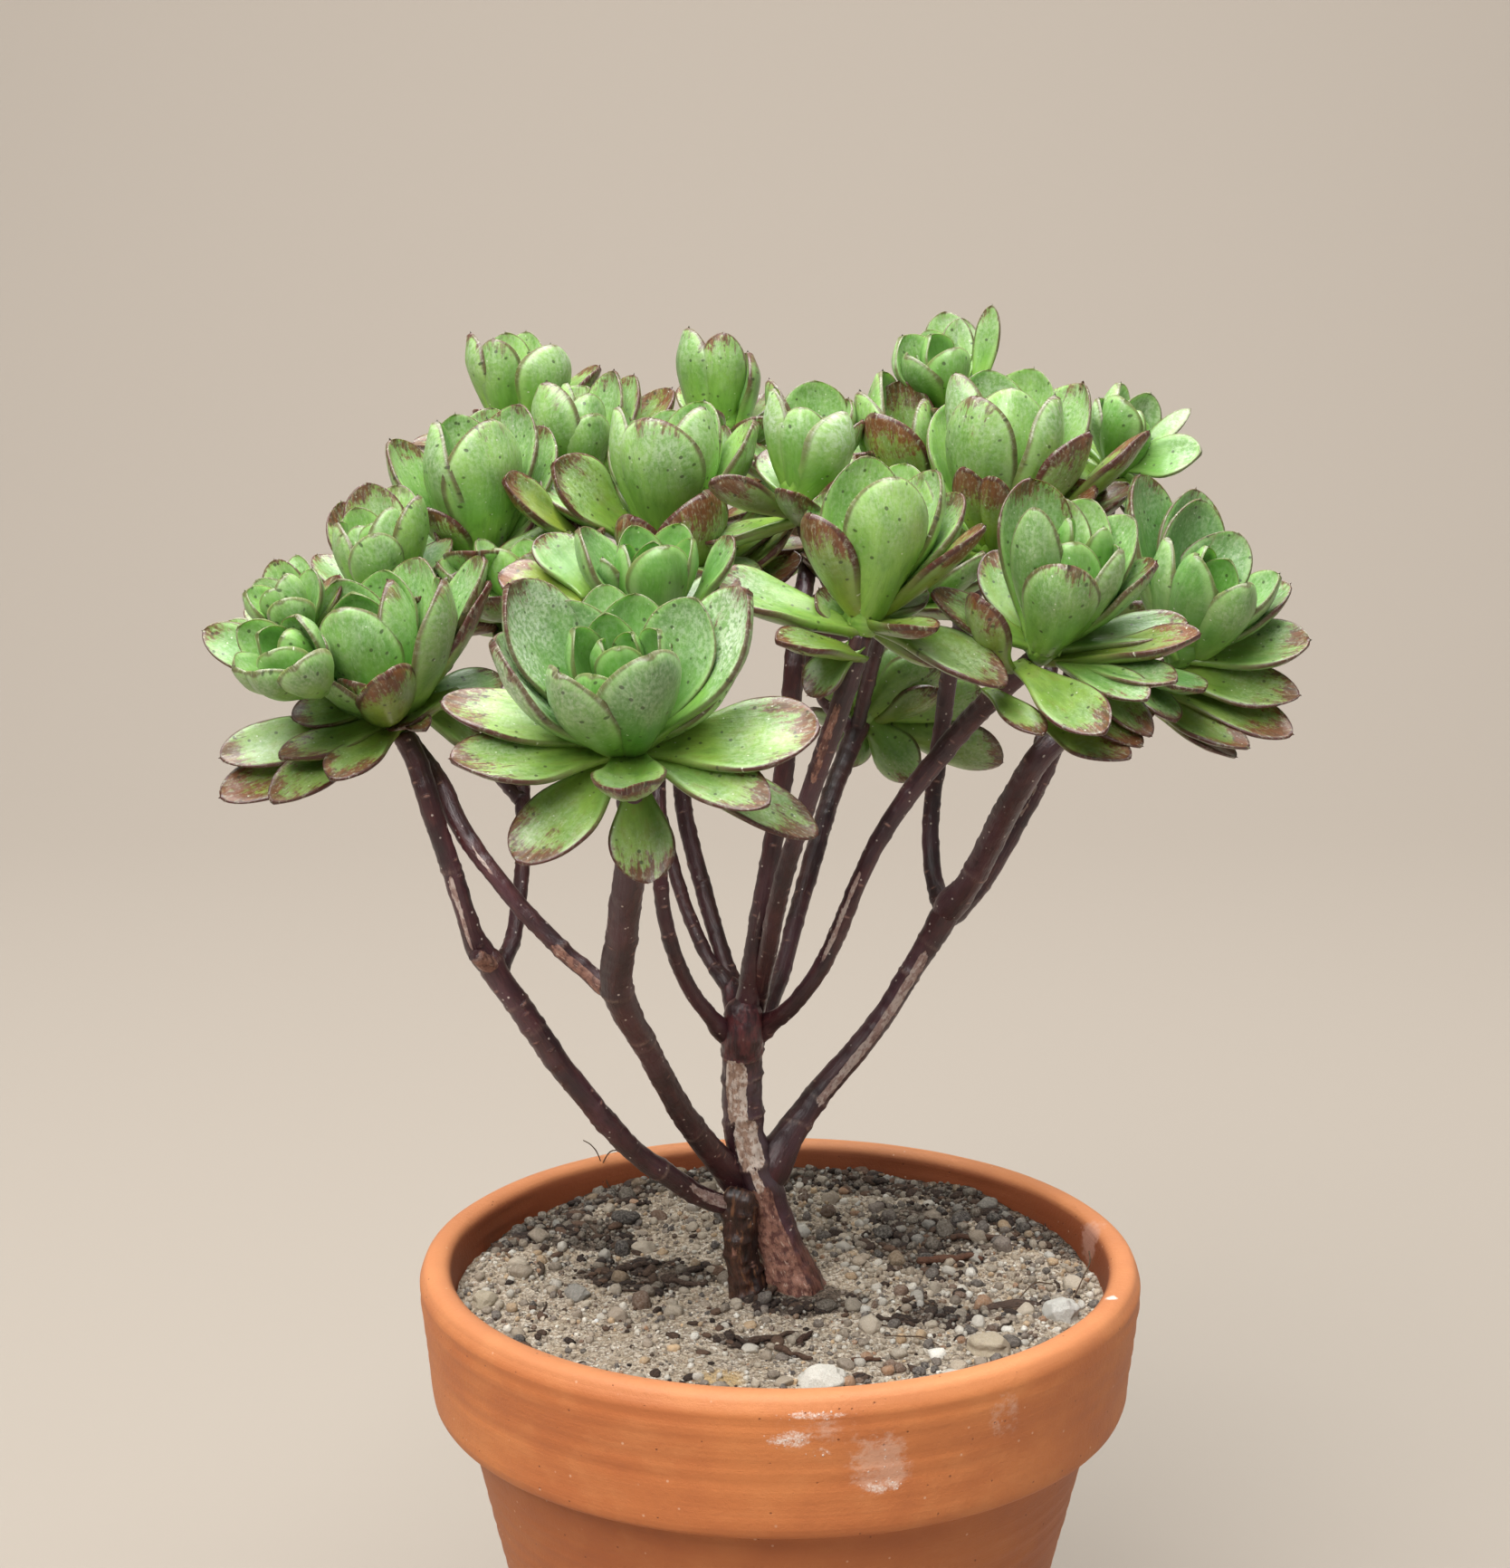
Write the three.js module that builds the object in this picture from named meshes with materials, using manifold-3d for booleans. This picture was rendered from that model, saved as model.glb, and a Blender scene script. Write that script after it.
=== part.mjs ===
// Potted aeonium: a small branching succulent in a plain clay pot.
// Units are millimetres. Origin at the centre of the pot's foot, +Z up,
// -Y is the side that faces the viewer, +X is to the viewer's right.
import * as THREE from 'three';
import { mergeVertices } from 'three/addons/utils/BufferGeometryUtils.js';
import Module from 'manifold-3d';

const wasm = await Module();
wasm.setup();
const { Manifold, Mesh } = wasm;

// ---- driving dimensions (mm) ----
const GAP = 0.3;            // clearance kept between neighbouring pieces
const POT_H = 120;          // overall height of the pot
const RIM_R = 65;           // outside radius at the top of the rim band
const BAND_H = 25.7;        // height of the rim band
const BAND_FOOT_R = 63.1;   // outside radius at the bottom of the rim band
const BODY_TOP_R = 58.0;    // outside radius of the body under the band
const FOOT_R = 35.5;        // outside radius of the foot
const LIP_T = 5.8;          // wall thickness at the lip
const WALL_T = 6.0;         // wall thickness of the body
const FLOOR_T = 9;          // thickness of the pot's floor
const HOLE_R = 7;           // drainage hole radius
const SOIL_Z = 112.6;       // mean height of the soil surface
const SOIL_RISE = 2.9;      // how much higher the soil lies at the back
const TOL = 0.12;           // smallest facet detail kept
const LEAF_SPACING = 0.46;  // nearest two leaf tips of a rosette, as a part of its reach
const SIDES = 36;           // segments round the pot and soil

// ---- stems: centre line points [x, y, z, radius] ----
const STEMS = [
  { name: 'trunk', from: null, line: [[4.4,-3,110.6,5.26], [3,-3,114.4,4.92], [1.6,-3,117.9,4.5], [0.1,-3,122,4.09], [-1.6,-3,126.9,3.75], [-3,-3,131.7,3.75], [-4.7,-3,136.4,3.82], [-6,-3,141.2,3.81], [-6.6,-3,145.3,3.73], [-6.8,-3,152,3.72], [-6.8,-3.5,157.5,3.7], [-6.7,-5,162,4.01], [-6.6,-5,165,3.68]] },
  { name: 'branch_left_low', from: 'trunk', line: [[-6.5,-3,128.9,1.96], [-10.8,-7,131.2,1.94], [-15.4,-11,134.7,2], [-20.1,-16,140,2.05], [-24.8,-20,144.8,2.03], [-29.1,-24,151,2.09], [-33.1,-27,157.3,2.07], [-37.2,-29,163.5,2.13], [-40.6,-31,169.6,2.19], [-43.6,-32,174.7,2.18], [-46.6,-33,179.4,2.24], [-48.3,-33,182.6,2.39]] },
  { name: 'branch_left_low_outer', from: 'branch_left_low', line: [[-49.3,-33,183.5,2.02], [-50.8,-34,186.9,1.86], [-52.2,-35,192.3,1.78], [-54,-36,199.2,1.77], [-55.8,-37,205.4,1.83], [-57.4,-37,211.1,1.9], [-59,-36,216.1,1.9], [-61.3,-35,220.9,1.9]] },
  { name: 'branch_left_low_inner', from: 'branch_left_low', line: [[-46.9,-31,181.1,1.65], [-45.2,-27,184.1,1.44], [-44.5,-22,188.7,1.37], [-44.2,-16,194.4,1.39], [-44.4,-10,200.2,1.4], [-45,-4,206.2,1.42], [-46,0,216.7,1.43], [-47.9,3,229,1.43], [-50.2,4,238.5,1.58], [-52.1,4,242.3,1.74]] },
  { name: 'branch_front', from: 'trunk', line: [[-4.8,1,130.2,2.79], [-8.1,-2.5,134.7,2.93], [-11.4,-7,139.9,2.66], [-14.6,-13,146.2,2.38], [-17.9,-21,154.3,2.17], [-20.5,-28,161.9,2.13], [-22.7,-36,169.4,2.16], [-25,-41,175.3,2.43], [-26.5,-45,180.8,2.69], [-26.6,-48,185.4,2.74], [-25.6,-52,190.8,2.71], [-24.8,-56,196.9,2.67], [-23.8,-60,202.9,2.64], [-23.1,-63,210.7,2.61], [-22.9,-65,216.7,2.59], [-23.3,-64.5,221.8,2.59]] },
  { name: 'branch_front_left', from: 'branch_front', line: [[-26.1,-44,180.2,1.75], [-29.3,-43,181.6,1.61], [-32.2,-42,183.8,1.54], [-35.6,-41,186.5,1.54], [-39.1,-40,189.9,1.54], [-42.6,-39,193.4,1.54], [-46.3,-38,197.9,1.54], [-50,-36,202.2,1.62], [-53.2,-34,206.8,1.7], [-55.9,-31,211.7,1.78], [-59.6,-27,216,1.64], [-65.1,-24,222.3,1.5], [-71.7,-28,229.7,1.41], [-76.3,-35,235.5,1.31]] },
  { name: 'branch_right_low', from: 'trunk', line: [[-3.8,-2,130.6,3.1], [-2.1,-2,134.9,3.26], [-0.3,-1,138.6,3.26], [1.9,1,141.7,2.94], [5.4,4,145.9,2.55], [9,6,149.9,2.39], [13.3,8,154.2,2.31], [18.7,10,160.7,2.15], [22.9,11,167.4,2.15], [26.9,12,173.8,2.31], [30.1,12,179.7,2.72]] },
  { name: 'branch_right_outer', from: 'branch_right_low', line: [[31,11,181.5,2.55], [33.7,8,185.9,2.45], [36.3,4,192.3,2.42], [38.8,-2,200.1,2.38], [41.9,-8,208.1,2.34], [45.3,-10,214,2.25], [53.9,1,217.7,2.14], [62.9,6,221.8,2], [68.8,5,226.5,1.91]] },
  { name: 'branch_right_rear', from: 'branch_right_low', line: [[33,15,180.2,1.99], [36.8,18,183.6,2], [40.5,19,189.5,2], [44.1,20,195.9,2], [47.7,21,202.7,2], [51.6,22,213,1.91], [55.4,25,229.3,1.83], [58.6,26,245.8,1.73], [60.6,26,258.6,1.64]] },
  { name: 'branch_right_inner', from: 'branch_right_low', line: [[30.1,14,180.4,1.9], [28.9,17,183.1,1.75], [28.2,20,187,1.67], [28,23,194.1,1.68], [29,25,203.6,1.68], [30.2,25,213.6,1.67], [31.5,22,224.7,1.73], [33.8,15,235.5,1.7], [36.6,10.5,244.8,1.68]] },
  { name: 'stem_hub_left', from: 'trunk', line: [[-7.7,-2,159.1,1.94], [-10.3,-5.5,162.8,1.76], [-12.9,-9,167.1,1.51], [-15.5,-13,171.8,1.41], [-17.6,-16,177.5,1.4], [-19.2,-18,183.3,1.39], [-20.2,-19,189.1,1.38], [-20.6,-19,195,1.38], [-20.8,-17,204,1.38], [-20.9,-12,214,1.39], [-20.5,-6,225.6,1.56], [-19.9,-1,237.5,1.64], [-19.5,0,246.2,1.72]] },
  { name: 'stem_fork_left', from: 'trunk', line: [[-9.6,5,168.5,1.47], [-12.5,8,171.6,1.31], [-15.5,11,177.1,1.32], [-17.9,14,182.8,1.32], [-19.8,17,188.6,1.33], [-22.2,21,197.1,1.33], [-25.5,24,209.2,1.34], [-29.3,26,222.4,1.42], [-33.3,26,237.5,1.49], [-36.1,26,253,1.56]] },
  { name: 'stem_fork_right', from: 'trunk', line: [[-8.8,7,168.3,1.64], [-10.1,9,171.8,1.64], [-12.1,13,177.3,1.65], [-14.2,18,183.7,1.67], [-16.2,23,189.8,1.68], [-17.7,28,195.6,1.69], [-18.5,34,204,1.71], [-17.6,40,216.9,1.72], [-15.2,45,233.5,1.64], [-12.6,48,250.5,1.64], [-11,48,262.1,1.54]] },
  { name: 'stem_centre', from: 'trunk', line: [[-6.4,-2,161.4,2.1], [-5.8,-4.5,168,2], [-4.7,-9,177.4,1.89], [-2.8,-12,190.3,1.79], [-1.1,-13,200,1.78], [0.1,-14,208.1,1.77], [1.3,-14,219.1,1.84], [2.1,-14,228.4,1.91], [2.9,-10,235.5,1.84], [4.3,0,242.1,1.72], [5.6,12,248.8,1.6], [6.7,25,255.7,1.48]] },
  { name: 'stem_centre_right', from: 'trunk', line: [[-5.3,0,160.8,2.02], [-4.2,-2.5,166.9,1.85], [-2.6,-10.5,176.7,1.73], [-0.8,-18,188.5,1.7], [1.4,-23,198.3,1.67], [3.9,-27,207.6,1.72], [6.5,-30,216.1,1.78], [8.9,-33,223.8,1.83], [11.1,-35,231.5,1.82], [12.6,-36,237.5,1.81]] },
  { name: 'stem_right_rear', from: 'trunk', line: [[-3.8,4,159.7,1.96], [-1.9,10,163.1,1.82], [0.4,17,167.2,1.76], [3.3,26,175.8,1.78], [6.2,34,183.9,1.89], [9.6,44,193.3,2.01], [13.6,54,201.8,2.13], [16.2,59,206.7,2.24]] },
  { name: 'stem_right_curve', from: 'trunk', line: [[-5.1,-1.5,159.9,2.1], [-2.1,-4.5,163.8,1.84], [1.5,-8.5,167.6,1.59], [5.6,-12,173.8,1.57], [9.3,-13,181.2,1.56], [12.9,-13,190.5,1.56], [17,-12,199,1.63], [22,-12,206.8,1.78], [27.3,-13,213.9,1.93], [32.1,-16,220.5,1.99], [37.5,-24,227.7,1.94], [41.4,-30.5,233.2,1.84]] }
];
const HUB_STUB = [[-7.4,1,159.5,2.27], [-8.1,3,163.7,2.04], [-8.9,5,167.9,1.96]];
const BRANCH_KNOB = [[-47.7,-33,182,1.94], [-49,-36,183.4,1.63], [-50.1,-38,184.8,1.25]];
const TRUNK_STUMP = [[-6.3,-5,113.5,2.61], [-7.4,-5.5,118.2,2.28], [-8.1,-6,123.5,2.19], [-8.1,-6.5,128.1,2.27], [-7.6,-7,132.1,2.26], [-7.1,-6.5,133.2,1.94]];

// ---- rosettes: crown point, axis, own stalk and leaves ----
// leaf: [base xyz, tip xyz (both from the crown), width, bend, cup, petiole, age, roll]
const ROSETTES = [
  { name: 'rosette_front', crown: [-23.45,-64,223.98], axis: [-0.03,-0.5,0.86],
    stalk: [],
    leaves: [
    [0,0,0,-27.7,-4,7.7,12.13,0.15,0.1,0.34,0.75,0],
    [0,0,0,-25.8,-10,0.2,13.05,0.15,0.1,0.34,0.75,0],
    [0,0,0,-16.2,-12,-14.9,13.04,0.05,0.1,0.3,0.8,0],
    [0.7,0,-3.3,3,-8,-19.1,10.71,-0.15,0.1,0.34,0.8,0],
    [0,0,0,0.5,-24,-1.7,11.82,0.5,0.16,0.45,0.7,0],
    [0,0,0,21.1,-13,-6,10.71,0.1,0.12,0.34,0.8,0],
    [0,0,0,28.6,2,-13.8,11.45,-0.05,0.1,0.34,0.85,0],
    [0,0,0,28.6,-5,4,16.28,0.15,0.12,0.34,0.8,0],
    [0,0,0,15.7,-2,11.5,8.99,0.4,0.2,0.5,0.6,0],
    [0,0,0,-17.1,-6,25.5,17.51,0.55,0.14,0.4,0.5,0],
    [0,0,0,-19,-11,17.7,16.11,0.55,0.14,0.4,0.5,0],
    [0,0,0,17.9,-4,24.3,17.04,0.55,0.14,0.4,0.5,0],
    [0,0,0,10,0,22.7,13.92,0.45,0.2,0.5,0.25,0],
    [0,0,0,-10.3,1,22.1,13.64,0.45,0.2,0.5,0.25,0],
    [0,0,0,-4.2,7,24,11.64,0.35,0.2,0.5,0.2,0],
    [0,0,0,1,4,22.9,13.05,0.35,0.2,0.5,0.15,0],
    [-0.6,0,4.3,-3.4,-1,20.6,9.26,0.4,0.22,0.55,0.1,0],
    [-1.7,0,3.6,-7.7,-6,18.8,9.73,0.5,0.2,0.55,0.1,0],
    [-0.6,0,6.3,0.6,-4,18,6.92,0.4,0.22,0.6,0.05,0],
    [0.4,0,3.6,4.6,-8,18.9,9.96,0.5,0.22,0.55,0.1,0],
    [-1.2,0,6.3,-3.6,-7,17.2,7.35,0.5,0.2,0.6,0.05,0],
    [-0.4,0,5.7,-0.8,-10,16.8,8.38,0.5,0.2,0.6,0.05,0],
    [0,0,0,-9.1,-18,14.3,14.15,0.6,0.2,0.5,0.3,0],
    [0,0,0,3.8,-20,17,14.86,0.6,0.22,0.52,0.25,0],
    [-0.7,0,1.9,-4.5,-14,13.3,10.31,0.6,0.22,0.55,0.15,0],
    [0,0,0,-6.8,12.8,17.5,11.83,0.35,0.14,0.38,0.7,-0.06] ] },
  { name: 'rosette_bud_rear', crown: [-20.48,-42,239.46], axis: [0,-0.22,0.98],
    stalk: [[-22.6,-58,215.3,1.25], [-21.6,-53,222.9,1.26], [-20.7,-46,231.7,1.35], [-20.5,-42.5,238.1,1.43]],
    leaves: [
    [0,0,0,-3.4,3,15.7,9.15,0.45,0.2,0.55,0.1,0],
    [0,0,0,4.3,4,15.9,9.56,0.45,0.2,0.55,0.1,0],
    [0,0,0,-4.3,-3,13.2,10.45,0.5,0.2,0.6,0.1,0],
    [0,0,0,1.9,-8,13.7,11.47,0.55,0.24,0.6,0.12,0],
    [0,0,0,6.1,-2,14,8.65,0.5,0.2,0.55,0.1,0],
    [6.1,0,2.9,12.4,-1,14.4,7.76,0.2,0.1,0.4,0.5,0],
    [0,0,0,-11.5,0,15.6,13.71,0.45,0.16,0.45,0.4,0],
    [-4.5,0,3.9,-7.6,-4,11.3,5.9,0.4,0.2,0.5,0.2,0],
    [0,0,0,0.2,-2,13.6,7.71,0.5,0.25,0.6,0.05,0],
    [-10.2,0,5.3,-18.2,5,13.8,9.39,0.3,0.14,0.4,0.6,-0.28],
    [2.6,0,1.7,13.2,6,6.8,9.42,0.1,0.12,0.4,0.75,0.27],
    [-11.6,0,4.3,-24.4,2,8.2,10.82,0.12,0.12,0.4,0.97,-0.24],
    [0,0,0,4.1,9.2,8.5,6.87,0.35,0.14,0.38,0.67,0.03] ] },
  { name: 'rosette_left', crown: [-63.69,-34,222.47], axis: [-0.22,-0.28,0.93],
    stalk: [],
    leaves: [
    [0,0,0,-5.6,-12,20.5,13.67,0.65,0.22,0.52,0.3,0],
    [0,0,0,1.2,-6,24.1,13.9,0.55,0.2,0.5,0.42,0],
    [0,0,0,10.1,-10,24.7,15.94,0.55,0.2,0.5,0.4,0],
    [0,0,0,15.8,0,27.2,14.44,0.35,0.14,0.45,0.45,0],
    [0,0,0,17,-3,23.6,10.52,0.15,0.12,0.4,0.9,0],
    [0,0,0,-7.8,0,23.5,13.88,0.5,0.2,0.5,0.3,0],
    [0,0,0,-0.8,4,24.7,14.01,0.45,0.2,0.55,0.15,0],
    [0,0,0,4.7,6,26.5,15.46,0.3,0.15,0.45,0.4,0],
    [0,0,0,-5.1,-3,21.7,12.59,0.5,0.2,0.55,0.1,0],
    [-1.1,0,1.8,2.6,-20,11.6,12.2,0.8,0.22,0.66,0.9,0.23],
    [-0.7,0,2.7,-25.5,-10,-3.7,11.02,0.1,0.1,0.36,0.72,-0.42],
    [0.9,0,1.8,-15,-16,-2.6,8.27,0.05,0.1,0.36,0.85,-0.39],
    [0,0,0,-25.4,-12,-9.7,10.7,0,0.1,0.34,0.95,-0.38],
    [0,0,0,-15.8,-20,-8.8,9.7,0.05,0.1,0.34,0.85,-0.38],
    [5.6,0,2.2,14.1,6,-4,9.56,0,0.1,0.4,0.7,0.59],
    [3.7,0,3.3,18.2,4,6.8,10.18,0.1,0.1,0.4,0.6,0.37],
    [-1.4,0,2.7,-14.7,-6,2.2,8.33,0.05,0.1,0.36,0.72,-0.39],
    [0,0,1.5,-9.5,-15,10.8,11.24,0.2,0.12,0.36,0.5,-0.43],
    [0.3,0,1.5,-4.2,-14,9.3,9.32,0.2,0.12,0.4,0.55,-0.28],
    [2.7,0,2.4,7.1,-10,0.8,4.92,-0.1,0.12,0.4,0.9,0.07],
    [0,0,0,-11,-4,10.5,12.12,0.3,0.14,0.4,0.5,0],
    [1.5,0,0,-6.2,-22,-4.7,8.56,0,0.1,0.36,0.88,-0.25],
    [11.1,0,5.3,0.4,-6,0.3,8.39,-0.15,0.12,0.35,0.9,0],
    [0,0,0,6.1,14,20.4,11.73,0.4,0.16,0.45,0.4,0],
    [0,0,0,-8.6,16,14.1,10.58,0.4,0.16,0.45,0.5,0],
    [0,0,0,-12.2,8.2,18.7,14.27,0.5,0.18,0.46,0.35,-0.18] ] },
  { name: 'rosette_far_left_low', crown: [-72.98,-48,231.72], axis: [-0.38,-0.66,0.64],
    stalk: [[-62.9,-31,222.6,1.18], [-67.7,-31,225.1,1.25], [-71.2,-39,228.6,1.3], [-72.6,-47,231.1,1.27]],
    leaves: [
    [0,0,0,-17.3,0,7.8,8.75,0.25,0.12,0.35,0.6,0],
    [0,0,0,-14.5,3,8.6,7.88,0.3,0.15,0.4,0.4,0],
    [0,0,0,-11.2,-3,8.9,8.21,0.5,0.2,0.5,0.2,0],
    [0,0,0,-10.4,-11,3.9,10.78,0.6,0.22,0.5,0.3,0],
    [0,0,0,-0.4,-17,4.9,9.91,0.8,0.26,0.62,0.3,0],
    [0,0,0,-6.8,-15,3.7,9.45,0.7,0.24,0.55,0.3,0],
    [0,0,0,-1.9,-6,10.9,9.65,0.5,0.2,0.5,0.3,0],
    [0,0,0,-7.3,-8,8.5,7.69,0.5,0.22,0.55,0.05,0],
    [0,0,0,-3.6,-9,8.2,7.11,0.5,0.22,0.6,0.05,0],
    [0,0,0,-4.9,-13,6.4,8.57,0.6,0.22,0.6,0.1,0],
    [0,0,0,0.7,0,7.4,5.94,0.4,0.16,0.45,0.4,0],
    [0,0,0,-7,2,8.6,5.67,0.4,0.18,0.45,0.3,0] ] },
  { name: 'rosette_far_left_high', crown: [-76.95,-36,236.77], axis: [-0.33,-0.36,0.87],
    stalk: [],
    leaves: [
    [0,0,0,-4.8,4,12.2,7.68,0.4,0.16,0.45,0.5,0],
    [0,0,0,-1.6,6,12.7,6.51,0.3,0.18,0.5,0.3,0],
    [0,0,0,2,0,11.2,6.98,0.4,0.18,0.5,0.3,0],
    [0,0,0,-1.8,-6,10.7,7.93,0.5,0.2,0.5,0.2,0],
    [0,0,0,-8.3,-3,7.9,9.47,0.5,0.2,0.5,0.25,0],
    [0,0,0,-1.2,-12,7.6,7.98,0.6,0.22,0.55,0.2,0],
    [0,0,0,-3.8,-7,8.7,6.6,0.5,0.22,0.6,0.05,0],
    [0,0,0,-7.6,3,9.1,6.86,0.4,0.16,0.45,0.3,0],
    [0,0,0,5.5,4.8,9.6,6.29,0.35,0.14,0.38,0.73,0.17],
    [0,0,0,-2.8,8.7,8.7,6.55,0.35,0.14,0.38,0.68,0.02],
    [0,0,0,-9.7,5,4.4,6.14,0.35,0.14,0.38,0.63,0.11] ] },
  { name: 'rosette_left_mid', crown: [-66.88,-14,239.44], axis: [-0.15,-0.15,0.98],
    stalk: [[-65.3,-22,224.7,1.28], [-66.1,-17,230.4,1.37], [-66.8,-14,237.6,1.52]],
    leaves: [
    [0,0,0,-6.7,-3,14.1,12.41,0.5,0.18,0.5,0.35,0],
    [0,0,0,-3.1,-5,13.8,8.43,0.5,0.2,0.5,0.2,0],
    [0,0,0,-7.6,6,16.8,10.85,0.3,0.14,0.4,0.7,0],
    [0,0,0,-3.1,5,20.1,11.71,0.35,0.14,0.42,0.7,0],
    [0,0,0,6.7,-5,18.8,12.04,0.45,0.18,0.5,0.4,0],
    [0,0,0,2.2,-6,16.9,10.13,0.45,0.2,0.5,0.25,0],
    [0,0,0,-0.6,-6,14.4,8.74,0.5,0.22,0.6,0.05,0],
    [0,0,0,0.4,-12,13.2,9.98,0.6,0.22,0.58,0.2,0],
    [0,0,0,2,7,19.6,11.72,0.35,0.16,0.45,0.4,0],
    [0,0,0,-4.7,2,16.2,9.53,0.4,0.16,0.5,0.3,0],
    [0,0,0,10.5,8.4,10.3,8.81,0.35,0.14,0.38,0.6,-0.05],
    [0,0,0,-0.6,14.1,9.6,8.86,0.35,0.14,0.38,0.71,-0.02],
    [0,0,0,-12.5,10,7.4,9.15,0.35,0.14,0.38,0.64,0.14],
    [0.2,0.2,-1,-18.2,-6,4.1,10.02,0.25,0.13,0.38,0.7,0.07],
    [0.3,0.3,-2.3,-7.6,-17.9,3.6,10.39,0.25,0.13,0.38,0.72,0.03],
    [0.3,0.3,-2.1,8.3,-15.7,3.3,9.33,0.25,0.13,0.38,0.82,0.1],
    [0.4,0.4,-2.8,17.3,-3.4,7.5,10.05,0.25,0.13,0.38,0.61,-0.21],
    [0.2,0.2,-1.2,9.7,17.7,2.7,10.13,0.05,0.13,0.38,0.72,0.19],
    [0.4,0.4,-2.5,-10.1,16.6,0.7,9.81,0.05,0.13,0.38,0.76,-0.4],
    [0.3,0.3,-1.7,-17.8,-0.1,-3,9.08,0.05,0.13,0.38,0.62,-0.35],
    [0.3,0.3,-1.6,-8.7,-16.3,-6.4,9.72,0.05,0.13,0.38,0.66,-0.31],
    [0.3,0.3,-2,11.3,-13.6,-9.4,9.62,0.05,0.13,0.38,0.97,-0.2],
    [0.4,0.4,-2.7,18.5,5.8,-4.7,9.47,0.05,0.13,0.38,0.85,-0.13] ] },
  { name: 'rosette_upper_left', crown: [-52.2,4,243.56], axis: [-0.1,-0.15,0.98],
    stalk: [],
    leaves: [
    [0,0,0,2.4,-9,26.3,17.53,0.5,0.2,0.5,0.4,0],
    [0,0,0,-6.6,-5,25.7,16.95,0.5,0.18,0.5,0.35,0],
    [0,0,0,-4.6,5,26.5,15.33,0.4,0.18,0.5,0.3,0],
    [0,0,0,-15.5,1,22.2,15.18,0.35,0.14,0.4,0.55,0],
    [0,0,0,6.7,5,28.2,16.49,0.35,0.16,0.45,0.5,0],
    [0,0,0,1.1,9,27.4,16.17,0.3,0.16,0.45,0.4,0],
    [0,0,0,-8.4,-9,11.5,9.91,0.2,0.12,0.4,0.8,0],
    [17.1,0,5.1,5.5,-13,16.4,11.09,0.1,0.14,0.4,0.97,-0.77],
    [0,0,0,-3.2,16,19,11.54,0.4,0.16,0.45,0.4,0],
    [12.8,0,8,3.5,-13,2,6.14,0.1,0.12,0.4,0.85,-0.23],
    [2.5,0,-0.6,-7.6,-6,9.1,11.89,0.2,0.12,0.42,0.6,-0.74],
    [0,0,0,10.3,10,24.2,15.76,0.35,0.14,0.42,0.5,0],
    [-0.3,0,0.5,9.2,2,10.5,11.18,0.1,0.12,0.42,0.7,0.47],
    [0,0,0,3.9,22.7,15.7,14.5,0.35,0.14,0.38,0.67,0.17],
    [0,0,0,-15.1,17.1,13.5,13.79,0.35,0.14,0.38,0.6,-0.1],
    [0.2,0.2,-1.6,-26.3,2.3,7.2,14,0.25,0.13,0.38,0.93,0.15],
    [0.1,0.2,-1.3,2,-26.7,5.7,13.94,0.25,0.13,0.38,0.57,-0.11],
    [0.2,0.4,-2.4,21.9,-15.4,8,14.38,0.25,0.13,0.38,0.6,-0.1],
    [0.3,0.4,-2.8,18.3,20.6,1.3,13.67,0.05,0.13,0.38,0.57,-0.06],
    [0.2,0.2,-1.5,-8.4,24.1,4.4,13.01,0.05,0.13,0.38,0.63,0.08],
    [0.2,0.4,-2.3,-21.6,10.9,-10.5,12.8,0.05,0.13,0.38,0.76,0.11],
    [0.3,0.4,-2.6,14.8,-19.9,-13.9,13.7,0.05,0.13,0.38,0.91,0.3] ] },
  { name: 'rosette_top_left', crown: [-48.87,44,265.42], axis: [-0.06,-0.02,1],
    stalk: [[-31.6,29,230.4,1.25], [-39.7,36,244.8,1.35], [-46.3,42,257.8,1.44], [-48.6,44,263.7,1.53]],
    leaves: [
    [0,0,0,-3.4,-6,16.9,10.96,0.45,0.2,0.55,0.4,0],
    [0,0,0,6.2,-5,15.9,13.88,0.5,0.2,0.55,0.35,0],
    [0,0,0,-7.7,-1,18.1,11.04,0.3,0.16,0.45,0.5,0],
    [0,0,0,-2.7,5,17.8,10.48,0.35,0.18,0.5,0.35,0],
    [0,0,0,1.1,7,18,10.81,0.4,0.18,0.5,0.35,0],
    [0,0,0,15.1,3,11.7,11.58,0.4,0.16,0.45,0.72,0],
    [0,0,0,3.4,14,14.7,9.47,0.4,0.16,0.45,0.5,0],
    [0,0,0,-5.8,13,12.9,8.82,0.4,0.16,0.45,0.5,0],
    [0,0,0,10.2,12.5,8.1,9.41,0.35,0.14,0.38,0.69,0],
    [0.2,0.1,-2.6,-4,-18.1,4.3,9.94,0.25,0.13,0.38,0.87,-0.13],
    [0.2,0.1,-2.8,12.2,-14.7,5.3,10.35,0.25,0.13,0.38,0.61,0.07],
    [0.2,0.1,-2.9,19.5,-1.9,-0.1,9.83,0.05,0.13,0.38,0.7,-0],
    [0.1,0,-1.2,-8.2,18.2,-0.5,9.99,0.05,0.13,0.38,0.7,0.02],
    [0.1,0,-1.8,-20.3,2.1,-2.8,10.29,0.05,0.13,0.38,0.7,-0.14],
    [0.1,0,-1.9,-13.3,-12,-7.4,9.42,0.05,0.13,0.38,0.77,0.01],
    [0.1,0,-1.2,7.5,-16.3,-6.5,9.37,0.05,0.13,0.38,0.94,0.01] ] },
  { name: 'rosette_upper_mid_left', crown: [-36.44,26,254.85], axis: [0,-0.08,1],
    stalk: [],
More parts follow.
